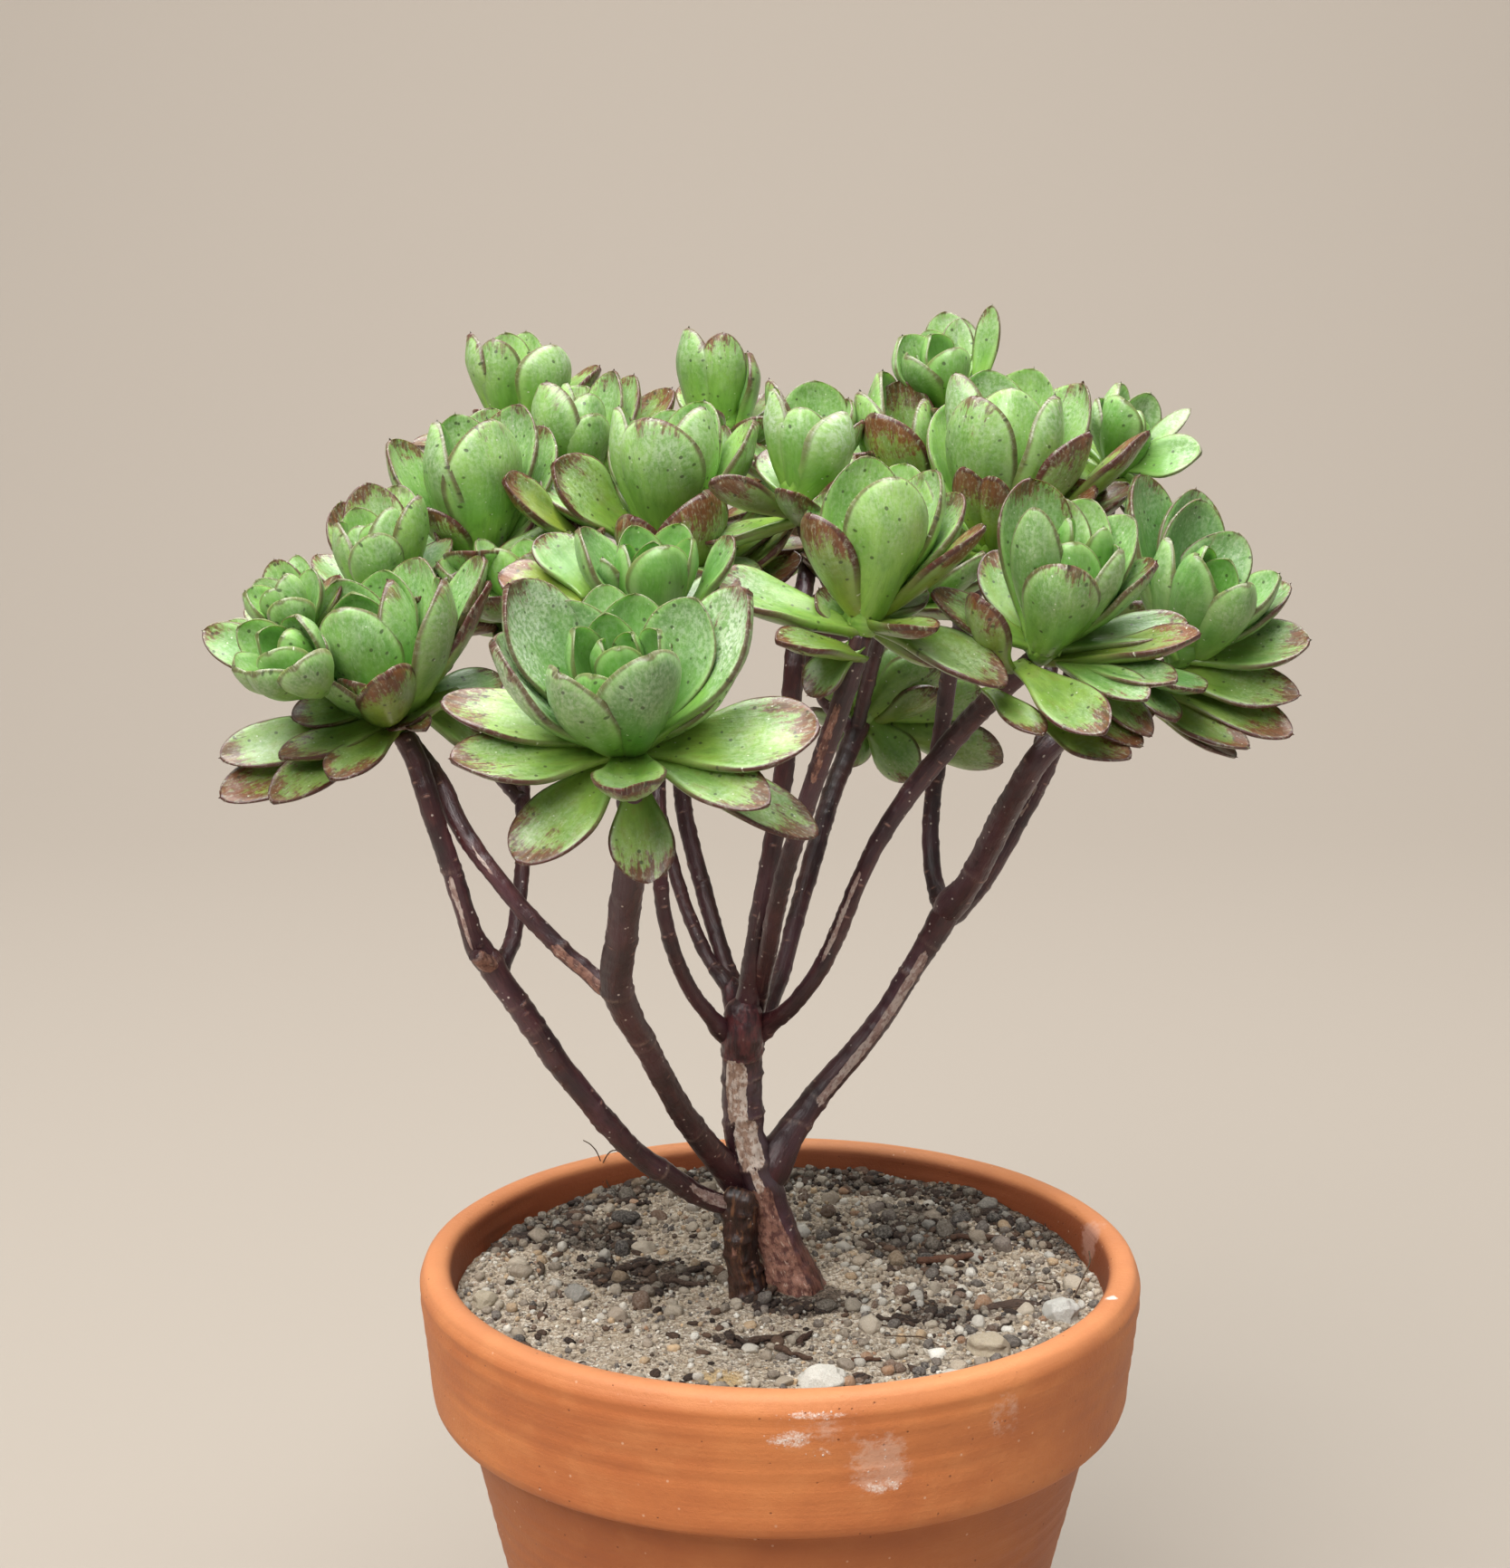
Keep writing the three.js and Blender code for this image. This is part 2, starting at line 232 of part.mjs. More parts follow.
    leaves: [
    [0,0,0,-5.2,-6,20.3,15.61,0.5,0.2,0.5,0.4,0],
    [0,0,0,2.2,-5,18.3,10.7,0.5,0.2,0.55,0.2,0],
    [0,0,0,6.3,3,22,12.94,0.35,0.16,0.45,0.45,0],
    [0,0,0,9.8,6,21.1,13.45,0.35,0.16,0.45,0.6,0],
    [0,0,0,16.7,8,18.6,14.47,0.35,0.16,0.42,0.88,0],
    [0,0,0,3.2,-9,15,9.95,0.5,0.2,0.52,0.25,0],
    [0,0,0,8.3,0,12.3,11.56,0.3,0.14,0.45,0.5,0],
    [0.1,0,4.1,4.4,-6,-1.9,7.66,0.1,0.12,0.45,0.5,0.25],
    [0,0,0,-1.7,-2,20,11.27,0.45,0.2,0.55,0.2,0],
    [0,0,0,-0.5,12,19.1,12.62,0.35,0.16,0.45,0.4,0],
    [0,0,0,-7.3,12,15.7,9.7,0.4,0.16,0.45,0.5,0],
    [0,0,0,-6.9,17.8,10,11.18,0.35,0.14,0.38,0.6,-0.15],
    [0,0,0,15.9,11.8,9.9,11.54,0.35,0.14,0.38,0.68,-0.31],
    [0,0,0,-0.5,3.8,17.1,10.89,0.5,0.22,0.55,0.1,-0.03],
    [0,0.2,-2.4,15.9,-13.1,4.4,10.93,0.25,0.13,0.38,0.95,0.19],
    [0,0.1,-1.8,-20.6,3.4,6.4,11.18,0.25,0.13,0.38,0.81,-0.05],
    [0,0.2,-1.9,1.3,-21.9,-3.9,11.07,0.05,0.13,0.38,0.7,-0.12],
    [0,0.2,-2.1,-18.7,-12.4,-0.4,11.31,0.05,0.13,0.38,0.71,-0.07],
    [0,0.2,-2.8,15.7,15.7,-7.4,11.28,0.05,0.13,0.38,0.85,-0.04],
    [0,0.1,-1.3,-9.6,20.4,-7.1,11.59,0.05,0.13,0.38,0.93,0.18],
    [0,0.1,-1.2,-18.5,-1.9,-8.2,9.94,0.05,0.13,0.38,1,-0.06] ] },
  { name: 'rosette_centre_high', crown: [-19.51,0,247.76], axis: [0,-0.12,0.99],
    stalk: [],
    leaves: [
    [0,0,0,-2.5,-11,22.8,16.32,0.55,0.22,0.52,0.45,0],
    [0,0,0,5.7,-6,24.3,16.26,0.5,0.2,0.5,0.3,0],
    [0,0,0,6.2,5,24.7,16.02,0.4,0.18,0.5,0.25,0],
    [0,0,0,15,-2,21.8,14.87,0.35,0.16,0.42,0.45,0],
    [0,0,0,-8.1,-3,24.2,14.36,0.45,0.18,0.48,0.35,0],
    [2.1,0,-7.2,6.2,-13,10.4,16.15,0.45,0.14,0.55,0.9,0.39],
    [-2.5,0,-5.6,-5.3,-14,6.6,10.25,0.5,0.18,0.55,0.99,-0.15],
    [-5,0,0.3,-19.1,-7,14.8,13.9,0.2,0.14,0.38,0.8,-0.86],
    [7.5,0,-8.8,23.1,-2,-1.7,10.05,0.05,0.12,0.4,0.97,0.38],
    [7.3,0,-8,21.9,-8,5.7,10.38,0.1,0.14,0.38,0.93,0.58],
    [6.5,0,-5.6,20.9,-2,8.9,9.87,0.1,0.14,0.38,0.9,0.57],
    [0,0,0,0.2,8,23.2,13.72,0.4,0.18,0.5,0.3,0],
    [0,0,0,9.6,12,20.1,14.18,0.4,0.16,0.45,0.5,0],
    [0,0,0,-6.9,11.1,21.3,14.98,0.5,0.18,0.46,0.3,0.06],
    [0,0,0,9.9,16.4,12.1,11.79,0.35,0.14,0.38,0.62,-0.13],
    [0,0,0,-7.2,19.6,12.4,12.65,0.35,0.14,0.38,0.58,0.18],
    [0,0,0,-22.1,8.2,11.2,13.59,0.35,0.14,0.38,0.61,-0.02],
    [0,0.3,-2.3,14.9,-17.6,-3.6,11.67,0.05,0.13,0.38,0.66,0.04],
    [0,0.3,-2.2,24.4,4.2,0.1,12.41,0.05,0.13,0.38,0.76,-0.02],
    [0,0.2,-1.3,9.1,24.8,1.2,13.19,0.05,0.13,0.38,0.6,-0.34],
    [0,0.2,-1.5,-9.2,-24.5,-5.8,13.35,0.05,0.13,0.38,0.94,0.14],
    [0,0.1,-1.1,-25.5,-0,-8.5,13.29,0.05,0.13,0.38,0.83,0.45],
    [0,0.2,-1.9,-8,22.3,-4,11.79,0.05,0.13,0.38,0.97,-0.04] ] },
  { name: 'rosette_top_centre', crown: [-10.84,48,263.83], axis: [0,0,1],
    stalk: [],
    leaves: [
    [0,0,0,1,-6,19.6,11.47,0.45,0.2,0.5,0.5,0],
    [0,0,0,-5.2,-1,20.3,12.6,0.35,0.18,0.45,0.5,0],
    [0,0,0,4.6,1,15.7,12.67,0.4,0.18,0.45,0.45,0],
    [0,0,0,-1.3,8,17,10.57,0.35,0.18,0.5,0.4,0],
    [0,0,0,2.5,12,13.8,10.36,0.4,0.16,0.45,0.5,0],
    [0,0,0,-4,12,14.4,10.71,0.4,0.16,0.45,0.5,0],
    [0,0,0,8.1,14.3,7.3,9.35,0.35,0.14,0.38,0.72,-0.16],
    [0,0,0,-5.7,17.1,9.3,10.57,0.35,0.14,0.38,0.59,0.03],
    [0,0,-1.9,-5.6,-18.3,6.1,10.37,0.25,0.13,0.38,0.72,0.09],
    [0,0,-2.3,10,-14.3,4.2,9.31,0.25,0.13,0.38,0.63,-0.08],
    [0,0,-2.5,16.5,-0.9,4,8.85,0.25,0.13,0.38,0.56,0.32],
    [0,0,-2.4,-15.3,7.8,5.3,9.44,0.25,0.13,0.38,0.76,0.2],
    [0,0,-2.9,-16.9,9.5,-2.4,9.7,0.05,0.13,0.38,0.57,-0.09],
    [0,0,-1.1,-16.7,-9.8,-0.9,9.68,0.05,0.13,0.38,0.79,-0.21],
    [0,0,-1.9,5.7,16.1,-8.1,9.08,0.05,0.13,0.38,0.94,-0.13],
    [0,0,-1.9,5.5,-18.6,-7.7,10.12,0.05,0.13,0.38,0.91,-0.16],
    [0,0,-1.8,18.7,-0.5,-7.8,9.84,0.05,0.13,0.38,0.89,-0.03] ] },
  { name: 'rosette_closed_bud', crown: [3.05,-14,256.44], axis: [0.02,-0.05,1],
    stalk: [[11.3,-32,239.6,1.46], [8,-24,244.1,1.56], [4.8,-17,250.4,1.65], [3.4,-14,254.9,1.81]],
    leaves: [
    [0,0,0,-0,-6,16.3,9.73,0.6,0.26,0.6,0.15,0],
    [0,0,0,6.7,-5,15.5,13.75,0.65,0.26,0.6,0.2,0],
    [0,0,0,-4.3,-1,19,10.93,0.4,0.2,0.5,0.3,0],
    [0,0,0,4.7,5,14.1,9.4,0.5,0.22,0.55,0.3,0],
    [0,0,0,0.9,3,15,8.57,0.5,0.24,0.6,0.1,0],
    [0,0,0,0.7,10,14.9,10.75,0.5,0.18,0.46,0.33,-0.21],
    [0,0,0,8.1,13.7,7.4,9.15,0.35,0.14,0.38,0.66,-0.09],
    [0,0,0,-4.9,14.8,8.2,9.16,0.35,0.14,0.38,0.64,-0.09],
    [-0,0.1,-1.5,-14.7,-9.9,4.7,9.38,0.25,0.13,0.38,0.9,0.38],
    [-0.1,0.1,-2.7,-1.3,-16.5,3.2,8.87,0.25,0.13,0.38,0.68,-0.2],
    [-0.1,0.1,-2.7,12.5,-11.8,5.1,9.46,0.25,0.13,0.38,0.88,-0.28],
    [-0,0.1,-1.7,17.6,2.5,5,9.52,0.25,0.13,0.38,0.77,-0.22],
    [-0,0.1,-1.1,-8.2,18.4,-0.1,10.06,0.05,0.13,0.38,0.84,0.28],
    [-0,0.1,-2.3,-17,6.3,-7.3,9.38,0.05,0.13,0.38,0.81,-0.22],
    [-0,0.1,-1.6,9.7,-13.8,-9,9.23,0.05,0.13,0.38,0.81,-0.12],
    [-0,0.1,-2.4,18.4,5.9,-7.8,10.06,0.05,0.13,0.38,0.8,-0.02] ] },
  { name: 'rosette_centre_right', crown: [13.16,-36,239.54], axis: [0.06,-0.1,0.99],
    stalk: [],
    leaves: [
    [0,0,0,3.8,-11,23.9,15,0.5,0.22,0.48,0.3,0],
    [0,0,0,-8.9,-9,18,12.33,0.3,0.14,0.4,0.9,0],
    [0,0,0,18.1,-9,16,9.28,0.1,0.16,0.36,0.95,0],
    [0,0,0,11.2,3,23.8,14.84,0.4,0.18,0.45,0.4,0],
    [0,0,0,0.2,3,26.1,14.73,0.4,0.18,0.45,0.35,0],
    [0,0,0,6.8,8,24.5,14.93,0.35,0.18,0.45,0.3,0],
    [-1.6,0,-1.2,-24.3,-2,6.9,13.9,0.15,0.14,0.3,0.66,-0.32],
    [0,0,0,10.2,-16,1,7.24,0.15,0.2,0.5,0.9,0],
    [0,0,0,21.9,-9,-9,11.52,-0.25,0.12,0.32,0.84,0.45],
    [-0.8,0,-5.5,-14.3,-12,-1.6,8.62,-0.15,0.14,0.38,0.86,-0.35],
    [-1.1,0,-3.8,-9.3,-2,-11.7,8.12,-0.2,0.12,0.4,0.7,-0.51],
    [0,0,0,15.4,4,20,14.31,0.35,0.16,0.42,0.45,0],
    [-0.6,0,-2.8,-7.3,3,4.9,8.52,0.2,0.14,0.4,0.7,-0.42],
    [0,0,0,9.6,6,4.5,9.74,0.25,0.14,0.4,0.6,0],
    [0,0,0,12.7,6,-7.3,10.43,0,0.12,0.4,0.75,0.37],
    [0,0,0,-5.5,11.8,19.7,14.18,0.5,0.18,0.46,0.42,-0.03],
    [0,0,0,6,12.2,18.7,13.85,0.5,0.18,0.46,0.31,-0.16],
    [0,0,0,-4.4,19,13.8,12.44,0.35,0.14,0.38,0.67,0.02] ] },
  { name: 'rosette_right_high', crown: [37.04,10,246.75], axis: [0.08,-0.1,0.99],
    stalk: [],
    leaves: [
    [0,0,0,-3.7,-10,26.9,16.18,0.55,0.22,0.5,0.45,0],
    [0,0,0,2.7,-5,28,16.02,0.5,0.2,0.5,0.3,0],
    [0,0,0,10.3,-4,26.6,16.13,0.45,0.2,0.48,0.35,0],
    [0,0,0,16.2,5,28.4,18.54,0.4,0.18,0.45,0.45,0],
    [0,0,0,-7,-2,30.4,17.5,0.4,0.18,0.48,0.4,0],
    [0,0,0,-0.1,8,30.7,17.75,0.4,0.2,0.5,0.2,0],
    [0,0,0,7.9,8,30.8,18.37,0.4,0.2,0.5,0.2,0],
    [0,0,0,16,-7,20.6,15.12,0.25,0.18,0.42,0.85,0],
    [8.9,0,4.2,26.9,-3,20.5,10.66,0.15,0.16,0.36,0.9,0],
    [0,0,0,-6.1,-14,15.3,9.54,0.5,0.18,0.5,0.93,0],
    [1,0,-1.3,-0.9,-15,13.8,7.7,0.4,0.2,0.5,0.93,0],
    [0,0,0,3.6,16,23.6,16.09,0.4,0.16,0.45,0.4,0],
    [5.7,0,2.2,17.8,-6,10.7,10.52,0.05,0.12,0.4,0.97,0.56],
    [0,0,0,-7.8,2,6.8,8.44,0.25,0.14,0.45,0.6,0],
    [0.1,0,2.2,9.5,4,-6.2,10.6,0.1,0.12,0.4,0.7,0.44],
    [0,0,0,14.5,5.6,21.6,15.97,0.5,0.18,0.46,0.3,-0.14],
    [0,0,0,-6.2,10.9,24.8,16.71,0.5,0.18,0.46,0.3,-0.02],
    [0,0,0,17.3,21.6,12.6,15.81,0.35,0.14,0.38,0.68,0.05],
    [0,0,0,-4.6,24.4,15.1,15.11,0.35,0.14,0.38,0.69,0.14],
    [-0.1,0.1,-1.1,25.1,3.7,10.4,13.97,0.25,0.13,0.38,0.88,0.08],
    [-0.2,0.2,-2.3,-21,-18.4,7.2,14.73,0.25,0.13,0.38,0.82,-0.07],
    [-0.2,0.2,-2,26.6,-7.8,-4.5,14.02,0.05,0.13,0.38,0.56,-0.25],
    [-0.2,0.3,-2.7,-6.5,27.8,0.6,14.24,0.05,0.13,0.38,0.85,0.2],
    [-0.1,0.1,-1.4,-25.4,7.5,4.4,13.5,0.05,0.13,0.38,0.67,0.21],
    [-0.2,0.3,-2.8,5.8,-26.5,-7.1,13.88,0.05,0.13,0.38,0.82,-0.33],
    [-0.1,0.1,-1.5,-25,17.5,-3.6,15.18,0.05,0.13,0.38,0.79,-0.12],
    [-0.1,0.2,-1.5,-21.5,-14.9,-9.8,13.71,0.05,0.13,0.38,0.98,0.08] ] },
  { name: 'rosette_top_right', crown: [31.86,40,270.32], axis: [-0.1,-0.36,0.93],
    stalk: [[32.4,25,223.4,1.33], [33.7,32,238.5,1.34], [32.9,38,254.7,1.43], [31.9,40,268.7,1.52]],
    leaves: [
    [0,0,0,-8.6,-1,12.5,11.85,0.5,0.2,0.55,0.2,0],
    [0,0,0,-4.3,4,13.5,8.62,0.4,0.2,0.55,0.2,0],
    [0,0,0,-0.8,6,16.8,10.01,0.35,0.18,0.5,0.35,0],
    [0,0,0,2.2,5,15.5,9.2,0.4,0.18,0.5,0.3,0],
    [0,0,0,-0.4,-8,10.5,9.87,0.65,0.24,0.6,0.15,0],
    [0,0,0,-8.4,-7,9.2,11.14,0.6,0.22,0.55,0.25,0],
    [0,0,0,-4.1,-3,12.7,10.92,0.5,0.22,0.6,0.05,0],
    [3,0,1.7,7.4,1,18,9.5,0.15,0.12,0.42,0.45,0],
    [0,0,0,4,10,9.9,8.17,0.4,0.16,0.5,0.4,0],
    [0,0,0,-6.1,9.7,9.6,7.8,0.35,0.14,0.38,0.62,-0],
    [0.2,0.6,-1.6,0.3,-19.4,-1.1,10.01,0.25,0.13,0.38,0.84,-0.19],
    [0.3,1.1,-2.7,12.5,-10.7,2.1,8.79,0.25,0.13,0.38,0.84,-0.3],
    [0.3,1,-2.6,19.6,-3.5,-0.5,10,0.05,0.13,0.38,0.66,-0.18],
    [0.3,1,-2.6,-16.8,2.2,-7.9,8.95,0.05,0.13,0.38,0.87,-0.13],
    [0.3,1,-2.5,-4.4,-14.6,-13.3,9.76,0.05,0.13,0.38,0.97,0.01],
    [0.3,0.9,-2.3,14.8,12.7,-1.8,9.37,0.05,0.13,0.38,0.77,0.02],
    [0.2,0.7,-1.8,-5.4,18.9,-2.1,9.54,0.05,0.13,0.38,0.99,0.13] ] },
  { name: 'rosette_right_tip', crown: [60.88,26,260.25], axis: [0.51,-0.3,0.81],
    stalk: [],
    leaves: [
    [0,0,0,0.6,0,14.5,11.29,0.45,0.2,0.5,0.25,0],
    [0,0,0,6.2,1,12.6,9.28,0.45,0.2,0.5,0.25,0],
    [0,0,0,0.4,-8,11.9,11.2,0.55,0.22,0.55,0.1,0],
    [0,0,0,14.1,1,9.9,9.68,0.2,0.14,0.4,0.3,0],
    [0,0,0,14.7,-6,1.2,12.44,0.35,0.16,0.4,0.2,0.65],
    [0,0,0,7.9,0,-4.7,7.35,0.1,0.14,0.4,0.5,0],
    [0,0,0,-3.5,-2,11.8,9.98,0.45,0.2,0.5,0.3,0],
    [0,0,0,4.1,-4,9.5,8.86,0.5,0.22,0.6,0.05,0],
    [0,0,0,8.9,13,4.4,8.53,0.3,0.16,0.42,0.4,0],
    [-1.2,0.7,-2,-9.4,-16.8,-1.1,9.67,0.05,0.13,0.38,0.71,-0.07],
    [-1.2,0.7,-1.9,6.9,-14.2,-11.2,9.67,0.05,0.13,0.38,0.77,0.38],
    [-0.6,0.4,-1,-8.8,16.1,9.5,10.32,0.05,0.13,0.38,0.65,-0.14],
    [-0.8,0.5,-1.3,-17.5,4.4,3,8.82,0.05,0.13,0.38,0.8,-0.34] ] },
  { name: 'rosette_right_front', crown: [42.05,-32,234.6], axis: [0.12,-0.36,0.92],
    stalk: [],
    leaves: [
    [0,0,0,1.8,-16,15.2,13.24,0.65,0.22,0.55,0.45,0],
    [0,0,0,-3,-10,23.8,14.55,0.5,0.2,0.5,0.3,-1.21],
    [0,0,0,-2.4,2,27.3,15.37,0.4,0.18,0.48,0.62,0],
    [0,0,0,3.1,5,24,13.82,0.35,0.18,0.5,0.35,0],
    [0,0,0,7.8,4,23.8,14.19,0.4,0.2,0.5,0.2,0],
    [0,0,0,14.1,1,21.3,14.28,0.35,0.16,0.45,0.3,0],
    [0,0,0,10.8,-8,16.9,14.26,0.5,0.2,0.5,0.25,0],
    [0,0,0,17.3,-4,14.5,12.84,0.35,0.16,0.42,0.5,0],
    [4.8,0,9.7,3.4,-4,21.3,7.41,0.5,0.22,0.6,0.05,0],
    [6.8,0,9,8.7,-5,20.1,6.9,0.5,0.22,0.6,0.05,0],
    [0,0,0,3.4,-10,18.3,11.82,0.55,0.22,0.6,0.1,0],
    [1.2,0,-1.8,23.5,-11,3.8,9.19,0.2,0.18,0.34,0.95,0],
    [0,0,0,22.8,-3,4.5,10.3,0.15,0.14,0.32,0.6,0],
    [-5.8,0,-2.4,-11.4,-13,9.8,10.44,0.4,0.16,0.5,0.92,-0.31],
    [0,0,0,-18.6,-7,9.8,8.59,0.2,0.14,0.38,0.82,-0.44],
    [-3.9,0,-2.8,7.5,-22,-10,10.32,-0.1,0.12,0.36,0.78,0.22],
    [-8.7,0,-6.8,-1.1,-14,-11.7,6.3,-0.15,0.12,0.38,0.85,0.22],
    [3.9,0,-2.8,16.1,-12,-12.3,7.07,-0.1,0.12,0.36,0.88,0.23],
    [-1.5,0,-11,12.7,-14,-15.4,7.36,-0.05,0.1,0.36,0.95,0.24],
    [-0.2,0,-6.5,14.8,-12,-13.9,7.39,-0.08,0.1,0.36,0.95,0.25],
    [2.4,0,-1.8,14.8,-16,-5.7,8.26,-0.05,0.12,0.38,0.6,0.18],
    [3.8,0,-1.5,19.6,-14,-3.2,8.45,0.05,0.12,0.36,0.62,0.27],
    [5.6,0,-3.3,12,-6,-10.3,6.89,-0.1,0.12,0.38,0.75,0.23],
    [0,0,0,7.7,12.8,13.8,10.59,0.35,0.14,0.38,0.63,0.24],
    [0,0,0,-7.3,12.1,14.6,10.55,0.35,0.14,0.38,0.7,-0.14] ] },
  { name: 'rosette_right', crown: [69.55,2,228.87], axis: [0.36,-0.26,0.9],
    stalk: [],
    leaves: [
    [1.2,0,1.1,0.9,-12,18.5,11.84,0.6,0.24,0.58,0.15,0],
    [3.2,0,0,8.8,-14,14,11.53,0.55,0.22,0.54,0.22,0.42],
    [0,0,0,16.4,-3,14.3,12.32,0.4,0.18,0.45,0.2,0],
    [0,0,0,19.4,2,12,12.82,0.3,0.14,0.42,0.5,0],
    [0,0,0,-3.1,-5,20.8,12.08,0.45,0.2,0.5,0.25,0],
    [0,0,0,3.6,4,26.7,15.23,0.4,0.18,0.48,0.4,0],
    [0,0,0,-7.2,3,31,17.89,0.35,0.16,0.45,0.5,0],
    [0,0,0,10.4,4,20.8,13.23,0.4,0.18,0.48,0.35,0],
    [0,0,0,3.4,8,28.1,16.46,0.35,0.16,0.45,0.45,0],
    [0,0,0,7.8,-3,16.8,10.5,0.5,0.22,0.6,0.05,0],
    [0,0,0,4.1,-3,19,11.07,0.5,0.22,0.58,0.1,0],
    [0,0,0,22.2,-3,2.8,13.5,0.25,0.14,0.38,0.66,0.57],
    [-6.3,0,-2.6,20.2,-6,-6.4,10.97,0.08,0.12,0.36,0.8,0.45],
    [-7.2,0,-4.5,18.8,-8,-12.9,10.25,0.06,0.12,0.36,0.9,0.42],
    [-8.4,0,-6.4,10.7,-12,-14.6,8.61,0,0.12,0.36,0.9,0.46],
    [-6.1,0,-8,9.6,-6,-17.2,7.61,0,0.1,0.36,0.97,0.25],
    [-9.7,0,-2.9,-2.2,-14,-9.5,7.66,0,0.1,0.4,0.66,0.33],
    [-10.7,0,-3.2,-7.5,-14,-9.5,6.7,0,0.1,0.45,0.62,0.24],
    [-9.8,0,-2.2,1.9,-16,-3.9,9.13,0.08,0.12,0.4,0.55,0.35],
    [0,0,0,11.1,13.8,10.1,10.62,0.35,0.14,0.38,0.6,-0],
    [0,0,0,-3,14.2,15.9,11.17,0.35,0.14,0.38,0.66,0.08] ] },
  { name: 'rosette_mid_rear', crown: [6.68,26,257.63], axis: [0,0,1],
    stalk: [],
    leaves: [
    [0,0,0,-0.3,3,17.5,13.26,0.4,0.18,0.5,0.35,0],
    [0,0,0,-8.6,0,17.7,11.59,0.35,0.16,0.45,0.55,0],
    [0,0,0,5.7,2,14.2,11.65,0.4,0.18,0.48,0.4,0],
    [0,0,0,8.2,-2,10.5,8.42,0.3,0.16,0.45,0.6,0],
    [0,0,0,-1,12,13.8,10.25,0.4,0.16,0.48,0.4,0],
    [0,0,0,8.8,12.8,6.9,8.85,0.35,0.14,0.38,0.59,0.06],
    [0,0,0,-4,16.7,8.1,9.85,0.35,0.14,0.38,0.59,0.11],
    [0,0,-2.9,-12.8,10.3,5.9,9.31,0.25,0.13,0.38,0.56,0.12],
    [0,0,-2.1,-15.9,-3.7,4.7,8.85,0.25,0.13,0.38,0.73,-0.13],
    [0,0,-3,-7.7,-16.7,4.3,9.9,0.25,0.13,0.38,0.61,-0.3],
    [0,0,-2.8,8.3,-16.3,5.7,10.08,0.25,0.13,0.38,0.95,-0.04],
    [0,0,-1.7,4.7,-20.2,-2.6,10.36,0.05,0.13,0.38,0.93,-0.13],
    [0,0,-1.9,19.2,-5.8,-0.8,10.03,0.05,0.13,0.38,0.73,-0.02],
    [0,0,-1.1,13.1,12.2,-0.3,8.98,0.05,0.13,0.38,0.85,0.25],
    [0,0,-1.5,-4.6,19.7,-1.4,10.11,0.05,0.13,0.38,0.64,-0.03],
    [0,0,-1.6,-17.8,-0.4,-7.6,9.38,0.05,0.13,0.38,0.91,-0.24] ] },
  { name: 'rosette_mid_right_rear', crown: [23.54,32,250.86], axis: [0,-0.05,1],
    stalk: [[15.2,58,204.1,1.61], [18,53,218.4,1.58], [21.4,42,235.6,1.54], [23.3,33,248.1,1.59]],
    leaves: [
    [0,0,0,-4.7,0,25.7,15.99,0.4,0.2,0.48,0.35,0],
    [0,0,0,-9,-4,22.3,13.66,0.4,0.18,0.46,0.45,0],
    [0,0,0,-1.3,3,24,13.56,0.3,0.16,0.42,0.8,0],
    [3.4,0,-1.5,-6.5,-11,18.8,14.04,0.3,0.16,0.5,0.95,0],
    [0,0,0,2.6,-2,20.9,12.76,0.4,0.18,0.46,0.4,0],
    [0,0,0,0.1,12,20.3,13.2,0.4,0.16,0.46,0.4,0],
    [0,0,0,16.8,13.5,12.8,13.05,0.35,0.14,0.38,0.58,-0.14],
    [0,0,0,0.7,19.9,12.1,12.14,0.35,0.14,0.38,0.6,-0.11],
    [0,0,0,-15.8,14.6,12.2,12.85,0.35,0.14,0.38,0.73,-0.05],
    [0,0.1,-1,-6.3,-20.9,8.3,11.89,0.25,0.13,0.38,0.56,0.13],
    [0,0.1,-1.7,11.7,-17.2,8.5,11.62,0.25,0.13,0.38,0.58,0.04],
    [0,0.1,-1.4,22.8,-1.6,6.7,12.13,0.25,0.13,0.38,0.83,-0.03],
    [0,0.1,-2.3,0.8,26.4,-2.2,13.14,0.05,0.13,0.38,0.59,0.24],
    [0,0.1,-1,-19.7,12.1,2.3,11.66,0.05,0.13,0.38,0.6,0.02],
    [0,0.1,-2.8,-20.2,-10.8,-0.9,11.52,0.05,0.13,0.38,0.68,0.17],
    [0,0.1,-2.3,-0.8,-25.7,-0.9,12.92,0.05,0.13,0.38,0.77,0.36],
    [0,0.1,-2.9,19.6,14.7,-8,12.45,0.05,0.13,0.38,0.95,0.06],
    [0,0.1,-2.8,-6.6,-20,-10,11.21,0.05,0.13,0.38,0.77,-0],
    [0,0.1,-2.6,20,-13.9,-11.3,12.95,0.05,0.13,0.38,0.86,-0.21] ] },
  { name: 'rosette_rear_low', crown: [16.81,60,208.32], axis: [0.05,0.62,0.78],
    stalk: [],
